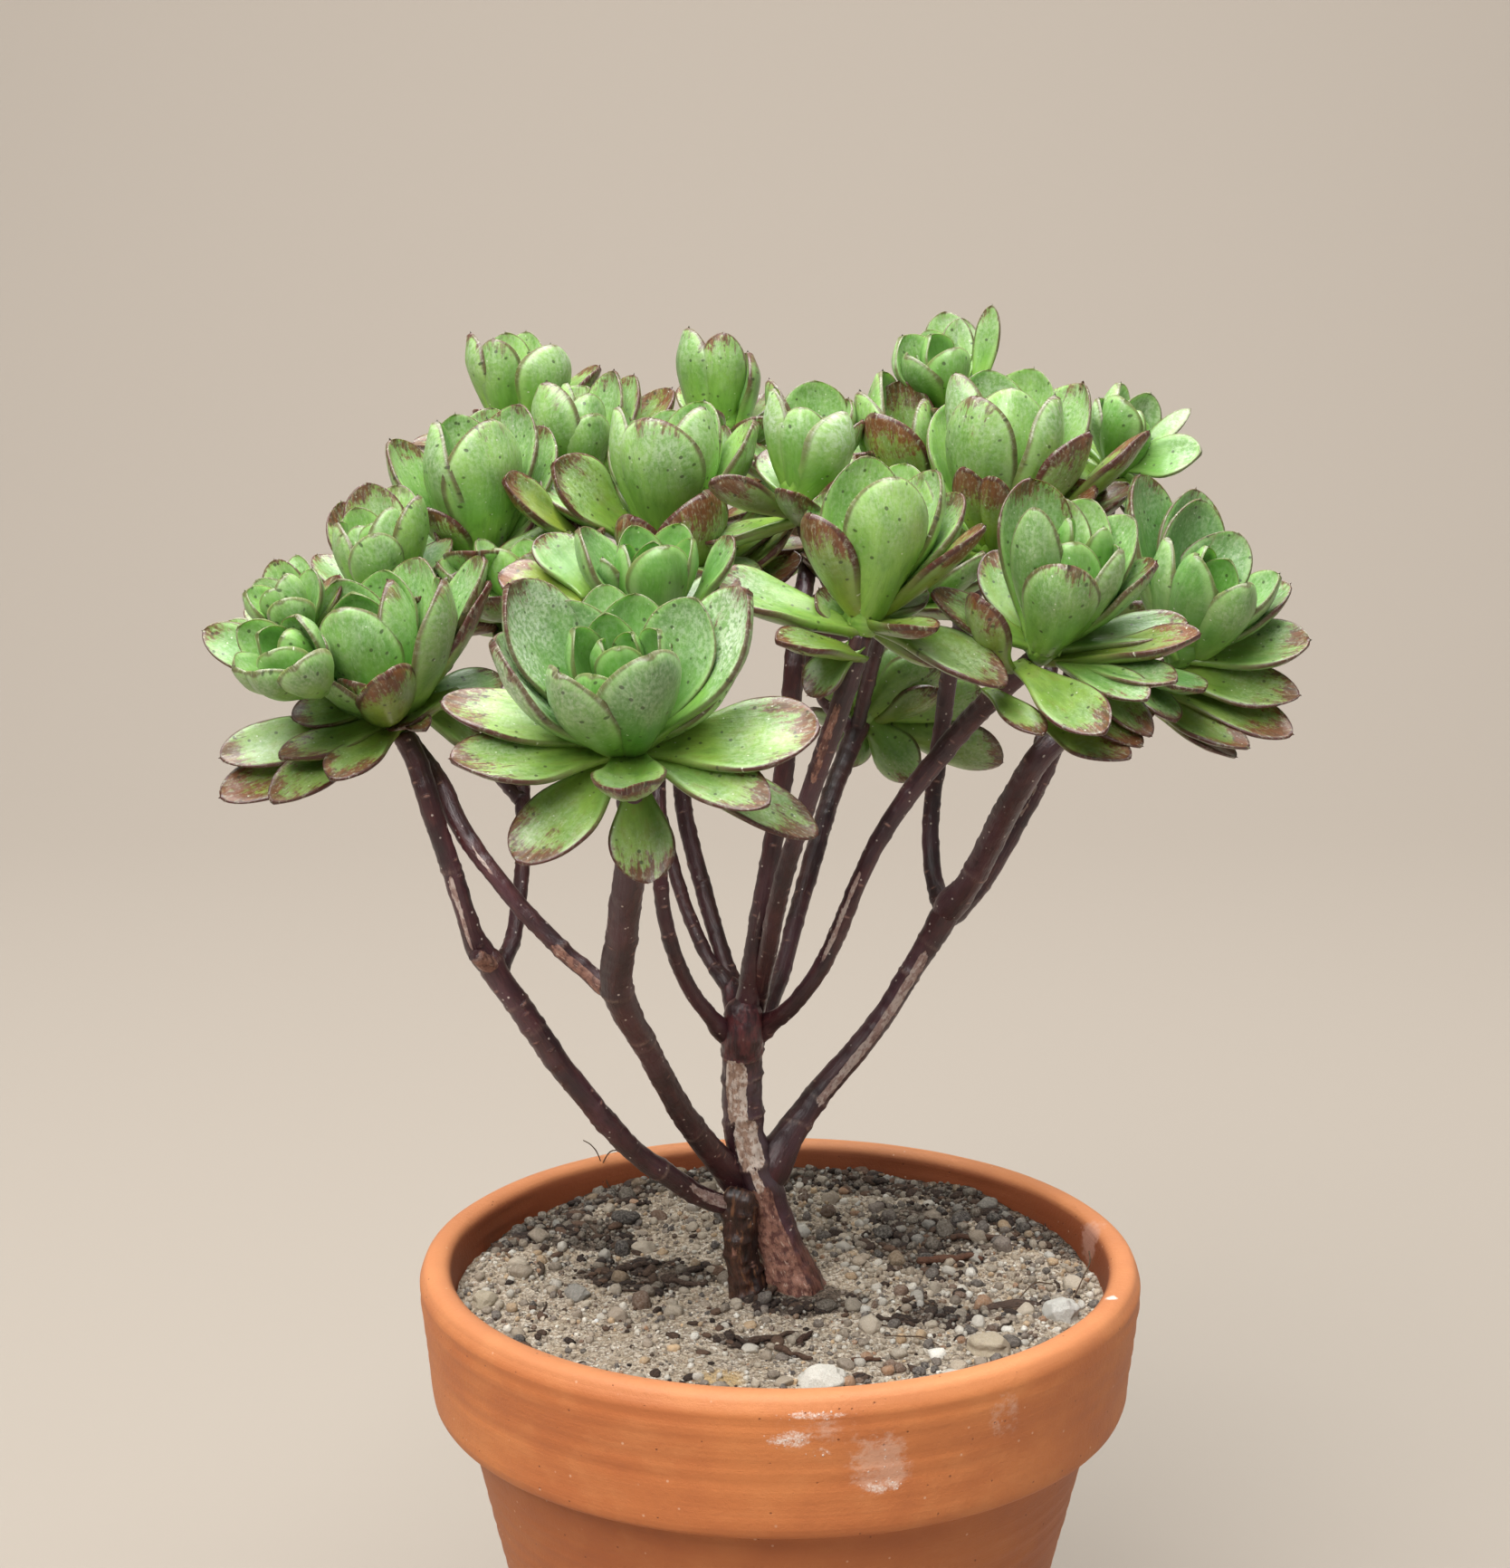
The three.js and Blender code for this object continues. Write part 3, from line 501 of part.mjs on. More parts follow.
    leaves: [
    [0,0,0,15.2,-3,9.9,14.35,0.1,0.12,0.4,0.45,-0.34],
    [0,0,0,25.2,4,1.5,15.21,0,0.12,0.36,0.5,-0.39],
    [0,0,0,9.8,-4,-12.4,10.72,-0.2,0.12,0.36,0.5,-0.38],
    [4,0,-2.7,28.4,5,-10.4,12.05,-0.1,0.12,0.34,0.7,-0.36],
    [0,0,0,-9.5,0,5.4,8.77,0.1,0.12,0.36,0.7,0],
    [0,0,0,-2.5,2,-10.9,8.04,-0.2,0.12,0.38,0.6,0.08],
    [1.3,0,-1.8,15.1,-6,6,7.63,0,0.1,0.36,0.75,-0.19],
    [0,0,0,12.1,10.1,8.5,10.74,0.5,0.18,0.46,0.31,0.24],
    [0,0,0,5.9,14.3,4.7,9.68,0.5,0.18,0.46,0.35,0.01],
    [0,0,0,-1.5,15.2,4,9.5,0.5,0.18,0.46,0.38,-0.01],
    [0,0,0,-9.1,13.5,7,10.61,0.5,0.18,0.46,0.32,0.03],
    [0,0,0,-10.1,6.2,11.7,9.99,0.5,0.18,0.46,0.29,-0.06],
    [0,0,0,8.6,4.4,13.6,10,0.5,0.18,0.46,0.35,0.12],
    [0,0,0,3.3,15,-4.4,8.3,0.35,0.14,0.38,0.59,-0.02],
    [0,0,0,-9.1,14.6,-2.2,9,0.35,0.14,0.38,0.69,-0.08],
    [0,0,0,2,6.2,12.4,8.69,0.5,0.22,0.55,0.1,0.11],
    [0,0,0,5.5,8.2,9.5,8.47,0.5,0.22,0.55,0.08,0.09],
    [0,0,0,1.4,10.5,6.9,7.82,0.5,0.22,0.55,0.11,-0.06],
    [0,0,0,-2.8,9.5,8.9,8.26,0.5,0.22,0.55,0.15,-0.07],
    [0,0,0,-2.4,5.6,11.4,7.98,0.5,0.22,0.55,0.22,0.11] ] },
  { name: 'rosette_inner_left', crown: [-42,-14,238], axis: [-0.1,-0.05,0.99],
    stalk: [[-47.9,3,228.7,1.5], [-45,-7,232,1.5], [-42.5,-13,236,1.5]],
    leaves: [
    [0,0,0,-3.4,-0.4,10.5,6.6,0.5,0.18,0.5,0.1,0.07],
    [0,0,0,1.2,-2.9,11.6,7.17,0.49,0.18,0.5,0.14,0.27],
    [0,0,0,-1.4,4.3,12.2,7.73,0.49,0.18,0.5,0.19,-0.1],
    [0,0,0,-5.4,-5.6,11.6,8.3,0.48,0.18,0.5,0.23,0.1],
    [0,0,0,6.8,0.4,13.4,8.85,0.47,0.18,0.5,0.28,-0.04],
    [0,0,0,-9.3,5.1,12,9.4,0.47,0.18,0.5,0.32,0.22],
    [0,0,0,1.3,-12,11.7,9.83,0.46,0.18,0.5,0.36,0.2],
    [0,0,0,5.5,10.9,12.7,10.25,0.46,0.18,0.38,0.41,-0.23],
    [0,0,0,-15.2,-4.9,9.1,10.67,0.45,0.18,0.38,0.45,-0.12],
    [0,0,0,14,-7.6,10.7,10.75,0.4,0.12,0.38,0.52,0.08],
    [0,0,0,-7.8,16.5,8.2,10.8,0.35,0.12,0.38,0.58,0.09],
    [0,0,0,-7.1,-18.1,4.6,10.4,0.3,0.12,0.38,0.65,0.09],
    [0,0,0,16.9,8.7,6.3,10,0.25,0.12,0.38,0.72,-0.01],
    [0,0,0,-19.3,5.1,1.1,9.6,0.2,0.12,0.38,0.78,0.05],
    [0,0,0,10.5,-16.9,1.6,9.2,0.15,0.12,0.38,0.85,0.08] ] },
  { name: 'rosette_inner_right', crown: [21,-3,238], axis: [0.12,-0.05,0.99],
    stalk: [[2.9,-11,234.1,1.5], [12,-7,234,1.5], [19,-4,237,1.5]],
    leaves: [
    [0,0,0,1.2,1.7,10.8,6.6,0.5,0.18,0.5,0.1,0.12],
    [0,0,0,-0.7,-3.1,11.6,7.17,0.49,0.18,0.5,0.14,-0.27],
    [0,0,0,6.2,0.1,11.4,7.73,0.49,0.18,0.5,0.19,0.08],
    [0,0,0,-3.9,3.1,13.1,8.3,0.48,0.18,0.5,0.23,-0.12],
    [0,0,0,3.3,-8.6,11.9,8.85,0.47,0.18,0.5,0.28,0.12],
    [0,0,0,6.3,8,12.4,9.4,0.47,0.18,0.5,0.32,-0.03],
    [0,0,0,-9.6,-4.3,13.1,9.83,0.46,0.18,0.5,0.36,-0.11],
    [0,0,0,13.4,-6,9.7,10.25,0.46,0.18,0.38,0.41,0.04],
    [0,0,0,-4.5,13.1,12.1,10.67,0.45,0.18,0.38,0.45,-0.11],
    [0,0,0,-4.4,-16.2,9.4,10.75,0.4,0.12,0.38,0.52,-0.11],
    [0,0,0,17,8.3,6.6,10.8,0.35,0.12,0.38,0.58,-0.19],
    [0,0,0,-17.5,4.3,8.6,10.4,0.3,0.12,0.38,0.65,-0],
    [0,0,0,11.1,-16.5,2,10,0.25,0.12,0.38,0.72,0.06],
    [0,0,0,3.6,19.4,3.4,9.6,0.2,0.12,0.38,0.78,0.12],
    [0,0,0,-15.4,-12.4,2.7,9.2,0.15,0.12,0.38,0.85,-0.02] ] },
  { name: 'rosette_rear_left', crown: [-38,64,226], axis: [-0.25,0.35,0.9],
    stalk: [[-24.2,23,204.3,1.5], [-28,42,214,1.5], [-36,61,223,1.5]],
    leaves: [
    [0,0,0,-4.4,7.8,11.8,8.91,0.5,0.18,0.5,0.1,0],
    [0,0,0,-5.9,1.6,15,9.68,0.49,0.18,0.5,0.14,-0.01],
    [0,0,0,1.9,8.3,15.3,10.44,0.49,0.18,0.5,0.19,0.07],
    [0,0,0,-12.1,8.3,11.9,11.2,0.48,0.18,0.5,0.23,0.13],
    [0,0,0,0.2,-3,20,11.95,0.47,0.18,0.5,0.28,-0.04],
    [0,0,0,-0.3,18.1,11.7,12.69,0.47,0.18,0.5,0.32,-0.03],
    [0,0,0,-17.3,-2.8,14.3,13.27,0.46,0.18,0.5,0.36,-0.02],
    [0,0,0,13,3.3,19.6,13.84,0.46,0.18,0.38,0.41,0.01],
    [0,0,0,-14.7,19.5,4.5,14.41,0.45,0.18,0.38,0.45,-0.11],
    [0,0,0,-6.2,-16.5,19,14.52,0.4,0.12,0.38,0.52,0.12],
    [0,0,0,15.6,20.2,8.6,14.58,0.35,0.12,0.38,0.58,-0.05],
    [0,0,0,-26.9,1.8,1.1,14.04,0.3,0.12,0.38,0.65,0.06],
    [0,0,0,16.6,-13.9,16.2,13.5,0.25,0.12,0.38,0.72,-0.1],
    [0,0,0,-1.9,26.1,-6.5,12.96,0.2,0.12,0.38,0.78,0.04],
    [0,0,0,-17.4,-20,5.1,12.42,0.15,0.12,0.38,0.85,0.05] ] },
  { name: 'rosette_rear_centre', crown: [2,66,238], axis: [0,0.4,0.92],
    stalk: [[15.3,57,204.8,1.5], [8,60,214,1.5], [3,63,233,1.5]],
    leaves: [
    [0,0,0,-2.1,6.4,10.7,7.59,0.5,0.18,0.5,0.1,0.24],
    [0,0,0,0.7,1.9,13.6,8.25,0.49,0.18,0.5,0.14,0.04],
    [0,0,0,2.9,10,10.8,8.9,0.49,0.18,0.5,0.19,0.21],
    [0,0,0,-7.3,3.8,13.9,9.54,0.48,0.18,0.5,0.23,0.12],
    [0,0,0,8.4,2,14.9,10.18,0.47,0.18,0.5,0.28,-0.08],
    [0,0,0,-4.1,15.5,9,10.81,0.47,0.18,0.5,0.32,-0.05],
    [0,0,0,-4.9,-5.9,17.8,11.3,0.46,0.18,0.5,0.36,0.05],
    [0,0,0,13.7,11.5,9.4,11.79,0.46,0.18,0.38,0.41,0.01],
    [0,0,0,-16.4,9.4,9.5,12.27,0.45,0.18,0.38,0.45,0.01],
    [0,0,0,9.9,-10.5,16.7,12.36,0.4,0.12,0.38,0.52,-0.03],
    [0,0,0,4.1,22.6,0.3,12.42,0.35,0.12,0.38,0.58,-0.22],
    [0,0,0,-17.7,-9,11.7,11.96,0.3,0.12,0.38,0.65,-0.03],
    [0,0,0,22.4,-0.3,5.4,11.5,0.25,0.12,0.38,0.72,-0.27],
    [0,0,0,-15,17,-4,11.04,0.2,0.12,0.38,0.78,0.04],
    [0,0,0,-0.5,-20.4,10.7,10.58,0.15,0.12,0.38,0.85,-0.09] ] },
  { name: 'rosette_rear_right', crown: [56,62,228], axis: [0.28,0.35,0.89],
    stalk: [[45.9,20.5,199.4,1.5], [50,38,208,1.5], [54,57,223,1.5]],
    leaves: [
    [0,0,0,6.9,4.1,12.5,8.91,0.5,0.18,0.5,0.1,-0.03],
    [0,0,0,2.1,9.2,13.2,9.68,0.49,0.18,0.5,0.14,0.03],
    [0,0,0,3.5,-0.2,17.2,10.44,0.49,0.18,0.5,0.19,-0.17],
    [0,0,0,11.4,10.2,11.1,11.2,0.48,0.18,0.5,0.23,-0.21],
    [0,0,0,-5.8,8,17.7,11.95,0.47,0.18,0.5,0.28,-0.13],
    [0,0,0,13.4,-4,16.4,12.69,0.47,0.18,0.5,0.32,-0.25],
    [0,0,0,4.5,20.4,8.8,13.27,0.46,0.18,0.5,0.36,-0.12],
    [0,0,0,-7.2,-5.6,21.9,13.84,0.46,0.18,0.38,0.41,0.19],
    [0,0,0,23.3,4.8,7.1,14.41,0.45,0.18,0.38,0.45,-0.13],
    [0,0,0,-13.5,19,11.3,14.52,0.4,0.12,0.38,0.52,0.08],
    [0,0,0,7.3,-19.2,17.6,14.58,0.35,0.12,0.38,0.58,-0.16],
    [0,0,0,15.5,21.7,-4.1,14.04,0.3,0.12,0.38,0.65,0.04],
    [0,0,0,-22.9,-1.9,14.2,13.5,0.25,0.12,0.38,0.72,-0.04],
    [0,0,0,23.9,-12.5,1.6,12.96,0.2,0.12,0.38,0.78,-0.01],
    [0,0,0,-8.4,25.1,-5.1,12.42,0.15,0.12,0.38,0.85,0.07] ] },
  { name: 'rosette_rear_far_left', crown: [-70.5,34,226], axis: [-0.5,0.22,0.84],
    stalk: [[-44.9,-6,204.2,1.5], [-57,10,214,1.5], [-67.5,29,223,1.5]],
    leaves: [
    [0,0,0,-4.7,1,11.7,7.59,0.5,0.18,0.5,0.1,0.02],
    [0,0,0,-6.5,6.6,10.2,8.25,0.49,0.18,0.5,0.14,0.01],
    [0,0,0,-10.3,-1.3,10.8,8.9,0.49,0.18,0.5,0.19,-0.12],
    [0,0,0,-0.6,4.5,15.4,9.54,0.48,0.18,0.5,0.23,0.07],
    [0,0,0,-13.5,8,7.1,10.18,0.47,0.18,0.5,0.28,-0.03],
    [0,0,0,-5.8,-7.4,15.8,10.81,0.47,0.18,0.5,0.32,0.1],
    [0,0,0,-0.4,14.8,12.5,11.3,0.46,0.18,0.5,0.36,-0.01],
    [0,0,0,-19.5,-2.4,4.9,11.79,0.46,0.18,0.38,0.41,0.21],
    [0,0,0,6.8,-3.4,19.8,12.27,0.45,0.18,0.38,0.45,-0.24],
    [0,0,0,-10.8,19.2,1.7,12.36,0.4,0.12,0.38,0.52,-0.04],
    [0,0,0,-12.1,-17.6,8.6,12.42,0.35,0.12,0.38,0.58,0.11],
    [0,0,0,13.8,12.5,13.4,11.96,0.3,0.12,0.38,0.65,-0.04],
    [0,0,0,-20.8,5.4,-8.1,11.5,0.25,0.12,0.38,0.72,-0.1],
    [0,0,0,7.8,-17.3,13,11.04,0.2,0.12,0.38,0.78,-0.03],
    [0,0,0,4,22.6,-1.6,10.58,0.15,0.12,0.38,0.85,-0.17] ] }
];

// ---- loose pieces lying in the soil: [name, x, y, half sizes, turn, colour] ----
const STONES = [
  ['stone_white_front', 6.6, -42.6, 4.4, 3.2, 2.9, 0.4, 0xd9d6cd],
  ['stone_pumice_right', 49.5, -14.2, 3.8, 3.1, 2.9, 1.1, 0xcfcdc6],
  ['stone_beige_right', 35.5, -30.5, 3.9, 3.2, 2.6, 0.2, 0xb9aa92],
  ['stone_beige_left', -53.0, -7.0, 2.5, 2.1, 1.9, 0.8, 0xb3a68f],
  ['stone_grey_left', -36.5, -5.5, 2.8, 2.0, 1.8, 2.0, 0x8f8b84],
  ['bark_chip_right', 41.5, -9.0, 6.2, 1.9, 1.3, 0.15, 0x4a3b34],
];

const v3 = (a) => new THREE.Vector3(a[0], a[1], a[2]);

// Gentle unevenness of the soil, higher round the trunk.
function soilZ(x, y) {
  const r = Math.hypot(x, y);
  return SOIL_Z
    + 0.55 * Math.sin(x * 0.11 + 0.6) * Math.cos(y * 0.09 - 0.4)
    + 0.35 * Math.sin(x * 0.21 - y * 0.17 + 1.3)
    + 1.1 * Math.exp(-((x - 4) ** 2 + (y + 1) ** 2) / 260)
    - 0.5 * Math.max(0, (r - 46) / 12)
    + SOIL_RISE * THREE.MathUtils.smoothstep(y, 4, 54);
}

// Indexed triangles to a solid.
function solid(pos, tri) {
  return new Manifold(new Mesh({
    numProp: 3,
    vertProperties: new Float32Array(pos),
    triVerts: new Uint32Array(tri),
  }));
}

// A three.js geometry as a solid, its shared corners merged.
function fromGeometry(geo) {
  geo.deleteAttribute('normal');
  geo.deleteAttribute('uv');
  const g = mergeVertices(geo, 1e-4);
  const tri = Array.from(g.index.array), clean = [];
  for (let i = 0; i < tri.length; i += 3) {
    const [p, q, r] = [tri[i], tri[i + 1], tri[i + 2]];
    if (p !== q && q !== r && r !== p) clean.push(p, q, r);
  }
  const pos = Array.from(g.attributes.position.array);
  const m = solid(pos, clean);
  if (m.volume() > 0) return m;
  for (let i = 0; i < clean.length; i += 3) [clean[i], clean[i + 2]] = [clean[i + 2], clean[i]];
  return solid(pos, clean);
}

// Closed body of revolution about Z; `lift` moves points up or down.
function turned(profile, segs, lift) {
  const pts = profile.map(([r, z]) => new THREE.Vector2(r, z));
  if (profile[0][0] > 1e-6) pts.push(pts[0].clone());
  const geo = new THREE.LatheGeometry(pts, segs);
  geo.rotateX(Math.PI / 2);
  const p = geo.attributes.position;
  if (lift) for (let i = 0; i < p.count; i++) p.setZ(i, lift(p.getX(i), p.getY(i), p.getZ(i)));
  return fromGeometry(geo);
}

// Tapered limb along a centre line, grown by `grow` all round.
function limb(line, sides, grow = 0, endCap = true) {
  const P = line.map(v3), R = line.map((p) => p[3] + grow), n = P.length;
  const dir = (i) => P[Math.min(i + 1, n - 1)].clone().sub(P[Math.max(i - 1, 0)]).normalize();
  const pos = [], tri = [];
  let ref = new THREE.Vector3(0.31, 0.9, 0.22).normalize();
  for (let i = 0; i < n; i++) {
    const d = dir(i);
    const x = ref.clone().sub(d.clone().multiplyScalar(ref.dot(d))).normalize();
    ref = x;
    const y = d.clone().cross(x);
    const c = P[i].clone();
    if (i === 0) c.addScaledVector(d, -grow);
    if (i === n - 1) c.addScaledVector(d, grow);
    for (let k = 0; k < sides; k++) {
      const a = k / sides * Math.PI * 2;
      pos.push(...c.clone().addScaledVector(x, R[i] * Math.cos(a)).addScaledVector(y, R[i] * Math.sin(a)).toArray());
    }
  }
  for (let i = 0; i + 1 < n; i++) for (let k = 0; k < sides; k++) {
    const a = i * sides + k, b = i * sides + (k + 1) % sides;
    tri.push(a, b, b + sides, a, b + sides, a + sides);
  }
  const s = pos.length / 3; pos.push(...P[0].clone().addScaledVector(dir(0), -grow - R[0] * 0.3).toArray());
  const e = pos.length / 3; pos.push(...P[n - 1].clone().addScaledVector(dir(n - 1), grow + R[n - 1] * 0.3).toArray());
  for (let k = 0; k < sides; k++) {
    const k2 = (k + 1) % sides, o = (n - 1) * sides;
    tri.push(s, k2, k, e, o + k, o + k2);
  }
  return solid(pos, tri);
}

// One leaf: a blade with a keeled back, widest two thirds of the way out.
function leaf(crown, axis, row, grow = 0) {
  const B = v3(row).add(crown), T = v3(row.slice(3)).add(crown);
  const [W, bend, cup, pet, , roll] = row.slice(6);
  const L = T.distanceTo(B);
  const D = T.clone().sub(B).normalize();
  const N = axis.clone().addScaledVector(D, -axis.dot(D)).normalize().applyAxisAngle(D, roll);
  const S = D.clone().cross(N);
  const R = L / (2 * Math.sin(bend / 2) || 1);
  const at = (s) => {
    const a = -bend / 2 + bend * s;
    if (Math.abs(bend) < 0.02) return [s * L, 0, 0];
    return [R * (Math.sin(a) + Math.sin(bend / 2)), R * (Math.cos(bend / 2) - Math.cos(a)), a];
  };
  const pos = [], tri = [];
  const stations = L > 23
    ? [[0.08, pet, 0.75], [0.46, Math.max(0.66, pet * 0.8), 1.0], [0.78, 0.98, 0.8]]
    : [[0.08, pet, 0.8], [0.68, 1.0, 0.9]];
  for (const [s, w, t] of stations) {
    const [x, z, a] = at(s);
    const Nn = N.clone().multiplyScalar(Math.cos(a)).addScaledVector(D, -Math.sin(a));
    const c = B.clone().addScaledVector(D, x - (s < 0.1 ? grow : 0)).addScaledVector(N, z);
    const h0 = W / 2 * w, h = h0 + grow * (1.2 + 0.42 * h0), th = Math.min(2.4, 0.14 * W + 0.5) * t;
    const lift = cup * W * w;
    pos.push(...c.clone().addScaledVector(S, -h).addScaledVector(Nn, lift * 0.5 + grow).toArray());
    pos.push(...c.clone().addScaledVector(Nn, -lift * 0.35 - th - grow).toArray());
    pos.push(...c.clone().addScaledVector(S, h).addScaledVector(Nn, lift * 0.5 + grow).toArray());
  }
  pos.push(...T.clone().addScaledVector(D, grow).toArray());
  const n = stations.length;
  for (let i = 0; i + 1 < n; i++) for (let k = 0; k < 3; k++) {
    const a = i * 3 + k, b = i * 3 + (k + 1) % 3;
    tri.push(a, b, b + 3, a, b + 3, a + 3);
  }
  tri.push(0, 2, 1);
  const o = (n - 1) * 3, tip = n * 3;
  for (let k = 0; k < 3; k++) tri.push(o + k, o + (k + 1) % 3, tip);
  const m = solid(pos, tri);
  return m.volume() < 0 ? solid(pos, tri.map((_, i) => tri[i - i % 3 + 2 - i % 3])) : m;
}

// Small faceted ellipsoid along an axis.
function knot(c, axis, rad, len) {
  const geo = new THREE.SphereGeometry(1, 6, 4);
  geo.scale(rad, len, rad);
  geo.applyQuaternion(new THREE.Quaternion().setFromUnitVectors(new THREE.Vector3(0, 1, 0), axis));
  geo.translate(c.x, c.y, c.z);
  return fromGeometry(geo);
}

// Keep the largest connected body.
function largest(m) {
  const parts = m.decompose();
  if (parts.length <= 1) return m;
  let best = parts[0];
  for (const p of parts) if (p.volume() > best.volume()) best = p;
  return best;
}

const touches = (a, b) => {
  const p = a.boundingBox(), q = b.boundingBox();
  for (let i = 0; i < 3; i++) if (p.max[i] < q.min[i] || q.max[i] < p.min[i]) return false;
  return true;
};

const group = new THREE.Group();
group.name = 'potted_aeonium';
const done = [];   // grown copies of the pieces made so far

function cutFree(m) {
  for (const g of done) if (touches(m, g)) m = m.subtract(g);
  return largest(m);
}

function addMesh(name, m, colour, roughness, at = [0, 0, 0], tol = TOL) {
  if (tol) m = m.simplify(tol);
  m = largest(m);
  const src = m.getMesh();
  const geo = new THREE.BufferGeometry();
  const n = src.numProp, count = src.vertProperties.length / n;
  const pos = new Float32Array(count * 3);
  for (let i = 0; i < count; i++) for (let k = 0; k < 3; k++) pos[i * 3 + k] = src.vertProperties[i * n + k] - at[k];
  geo.setAttribute('position', new THREE.BufferAttribute(pos, 3));
  geo.setIndex(new THREE.BufferAttribute(new Uint32Array(src.triVerts), 1));
  geo.computeVertexNormals();
  const mesh = new THREE.Mesh(geo, new THREE.MeshStandardMaterial({ color: colour, roughness, metalness: 0, flatShading: true }));
  mesh.name = name;
  mesh.position.set(...at);
  group.add(mesh);
}

// ---- pot ----
const lipIn = RIM_R - LIP_T;
const potProfile = [
  [HOLE_R, 1.0], [HOLE_R + 1.2, 0], [FOOT_R - 1.2, 0], [FOOT_R, 1.2],
  [BODY_TOP_R, POT_H - BAND_H + 0.6],
  [BAND_FOOT_R - 1.2, POT_H - BAND_H], [BAND_FOOT_R, POT_H - BAND_H + 1.5],
  [RIM_R - 0.1, POT_H - 3.2], [RIM_R - 0.7, POT_H - 1.0], [RIM_R - 2.3, POT_H],
  [lipIn + 2.2, POT_H], [lipIn + 0.5, POT_H - 1.0], [lipIn - 0.3, POT_H - 5],
  [lipIn - 1.8, POT_H - BAND_H],
  [BODY_TOP_R - WALL_T, POT_H - BAND_H - 5],
  [FOOT_R - WALL_T + 3.2, FLOOR_T + 4], [FOOT_R - WALL_T + 0.6, FLOOR_T + 0.8], [FOOT_R - WALL_T - 2, FLOOR_T],
  [HOLE_R + 0.8, FLOOR_T], [HOLE_R, FLOOR_T - 0.9],
];
addMesh('clay_pot', turned(potProfile, SIDES), 0xc2703f, 0.75);

// ---- loose stones and the bark chip ----
const stoneBodies = [];
for (const [name, x, y, a, b, c, turn, colour] of STONES) {
  const z = soilZ(x, y) + c * 0.25;
  const make = (g) => {
    const geo = new THREE.IcosahedronGeometry(1, 1);
    const p = geo.attributes.position;
    const key = new Map(), pos = [], tri = [];
    for (let i = 0; i < p.count; i++) {
      const q = [p.getX(i), p.getY(i), p.getZ(i)];
      const id = q.map((t) => Math.round(t * 1e4)).join();
      if (!key.has(id)) {
        key.set(id, pos.length / 3);
        const w = 1 + 0.12 * Math.sin(q[0] * 5 + x) * Math.cos(q[1] * 4 + y) + 0.08 * Math.sin(q[2] * 7 + x);
        const X = q[0] * w * a + q[0] * g, Y = q[1] * w * b + q[1] * g, Z = q[2] * w * c + q[2] * g;
        pos.push(x + X * Math.cos(turn) - Y * Math.sin(turn), y + X * Math.sin(turn) + Y * Math.cos(turn), z + Z);
      }
      tri.push(key.get(id));
    }
    return solid(pos, tri);
  };
  stoneBodies.push({ name, colour, m: make(0), grown: make(GAP + 0.1) });
}

// ---- stems ----
const built = [];
for (const s of STEMS) {
  const sides = s.name === 'trunk' ? 10 : 7;
  let m = limb(s.line, sides), g = limb(s.line, sides, GAP);
  const extra = s.name === 'trunk' ? [HUB_STUB, TRUNK_STUMP] : s.name === 'branch_left_low' ? [BRANCH_KNOB] : [];
  for (const e of extra) { m = m.add(limb(e, 7)); g = g.add(limb(e, 7, GAP)); }
  m = cutFree(m);
  built.push({ name: s.name, m });
  done.push(g);
}
const trunkGrown = done[0];

// ---- soil, with pockets for the trunk and the stones ----
const in0 = lipIn - GAP;
const soilProfile = [
  [0, FLOOR_T + 7], [8.5, FLOOR_T + 5], [10.5, FLOOR_T + GAP],
  [FOOT_R - WALL_T - 2 - GAP, FLOOR_T + GAP], [FOOT_R - WALL_T + 0.4 - GAP, FLOOR_T + 0.9 + GAP], [FOOT_R - WALL_T + 3 - GAP, FLOOR_T + 4.2],
  [BODY_TOP_R - WALL_T - GAP - 0.1, POT_H - BAND_H - 5],
  [lipIn - 1.8 - GAP - 0.1, POT_H - BAND_H + 0.3],
  [lipIn - 0.9 - GAP, SOIL_Z - 1.6], [lipIn - 2.4, SOIL_Z],
  [46, SOIL_Z], [34, SOIL_Z], [22, SOIL_Z], [11, SOIL_Z], [0, SOIL_Z],
];
let soil = turned(soilProfile, SIDES, (x, y, z) => (z > SOIL_Z - 2 ? z + soilZ(x, y) - SOIL_Z : z));
if (soil.volume() < 0) throw new Error('soil is inside out');
soil = soil.subtract(trunkGrown);
for (const s of stoneBodies) soil = soil.subtract(s.grown);
addMesh('soil', largest(soil), 0x8a8176, 0.97);

for (const s of built) addMesh(s.name, s.m, s.name === 'trunk' ? 0x6b4a3c : 0x4a2628, 0.5);
for (const s of stoneBodies) {
  let m = s.m.subtract(trunkGrown);
  addMesh(s.name, largest(m), s.colour, 0.9);
}

